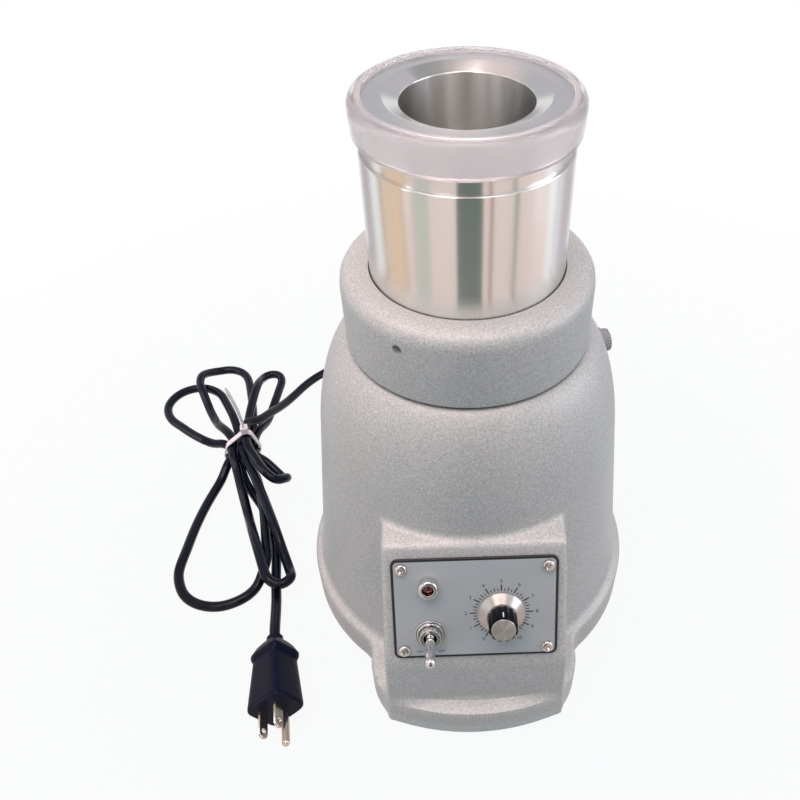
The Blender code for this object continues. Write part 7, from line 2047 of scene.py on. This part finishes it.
# Each box: its place, its width, its power in watts, and its tone.
SOFT_BOXES = {
    "overhead_box": ((-0.22, -0.05, 1.60), 1.4, 27.5, "#FFE7E4"),
    "left_box": ((-1.30, -0.25, 0.65), 0.8, 4.2, "#F2F6FF"),
    "right_box": ((1.30, -0.15, 0.65), 0.8, 6.4, "#F2F4FF"),
}


def aimed(place, target):
    """A frame at a place whose -Z looks at a target, as lamps do."""
    return Matrix.Translation(place) @ (target - Vector(place)).to_track_quat("-Z", "Y").to_matrix().to_4x4()


for name, (place, size, power, colour) in SOFT_BOXES.items():
    light = bpy.data.lights.new(name, "AREA")
    light.shape = "SQUARE"
    light.size, light.energy = size, power
    light.color = linear(colour)[:3]
    soft_box = bpy.data.objects.new(name, light)
    scene.collection.objects.link(soft_box)
    soft_box.matrix_world = aimed(place, TARGET)
print("soft boxes:", len(SOFT_BOXES))

# %% Cards
# Each upright card: degrees from the front, half its width, and its tone.
# Each card's tone is a painted reflection, which the cup shows as one of its bands.
CARDS = {
    "card_left_side": (-124.0, 0.050, "#C8C0C2"),
    "card_left_edge": (-93.0, 0.013, "#BE9F86"),
    "card_left": (-78.0, 0.045, "#EACBAE"),
    "card_left_inner": (-65.0, 0.008, "#CBB096"),
    "card_left_front": (-46.0, 0.036, "#CFD0C8"),
    "card_front": (0.0, 0.052, "#707B74"),
    "card_front_right": (20.0, 0.008, "#B59D93"),
    "card_right": (44.0, 0.008, "#959D93"),
    "card_right_rear": (96.0, 0.006, "#B9B4C0"),
    "card_right_side": (118.0, 0.060, "#D0C9D1"),
}
CARD_DISTANCE = 0.24
CARD_HALF_HEIGHT = 0.50
# Each other card: its place, half its width, half its height, and its tone.
# These glowing cards are painted reflections too, for the top face, the floor under the cup and the coned
# mouth.
PLACED_CARDS = {
    "card_behind": ((0.0, 0.85, 1.10), 0.70, 0.60, "#C2C0C7"),
    "card_below": ((0.0, 0.0, -0.0002), 1.2, 1.2, "#EFDAD5"),
    "card_above": ((0.20, 0.30, 1.19), 0.27, 0.32, "#8C8C8B"),
    "card_above_left": ((-0.36, 0.30, 1.19), 0.28, 0.32, "#E2CECD"),
}


def reflected_card(name, matrix, half_width, half_height, colour):
    """A glowing card of one even tone that only mirror reflections see: it paints a reflection of that tone
    on polished parts.
    """
    painted_reflection, _, shader = new_material(
        name + "_cloth", Roughness=1.0, Specular_IOR_Level=0.0, Emission_Strength=1.0
    )
    shader.inputs["Base Color"].default_value = linear(BLACK)
    shader.inputs["Emission Color"].default_value = linear(colour)
    card = stage_sheet(name, matrix, half_width, half_height, painted_reflection)
    card.visible_camera = card.visible_diffuse = card.visible_shadow = card.visible_transmission = False


for name, (turn, half_width, colour) in CARDS.items():
    azimuth = math.radians(turn)
    place = (math.sin(azimuth) * CARD_DISTANCE, AXIS_Y - math.cos(azimuth) * CARD_DISTANCE, CARD_HALF_HEIGHT)
    facing_mill = aimed(place, Vector((0, AXIS_Y, CARD_HALF_HEIGHT)))
    reflected_card(name, facing_mill, half_width, CARD_HALF_HEIGHT, colour)
for name, (place, half_width, half_height, colour) in PLACED_CARDS.items():
    reflected_card(name, aimed(place, TARGET), half_width, half_height, colour)
print("cards:", len(CARDS) + len(PLACED_CARDS))
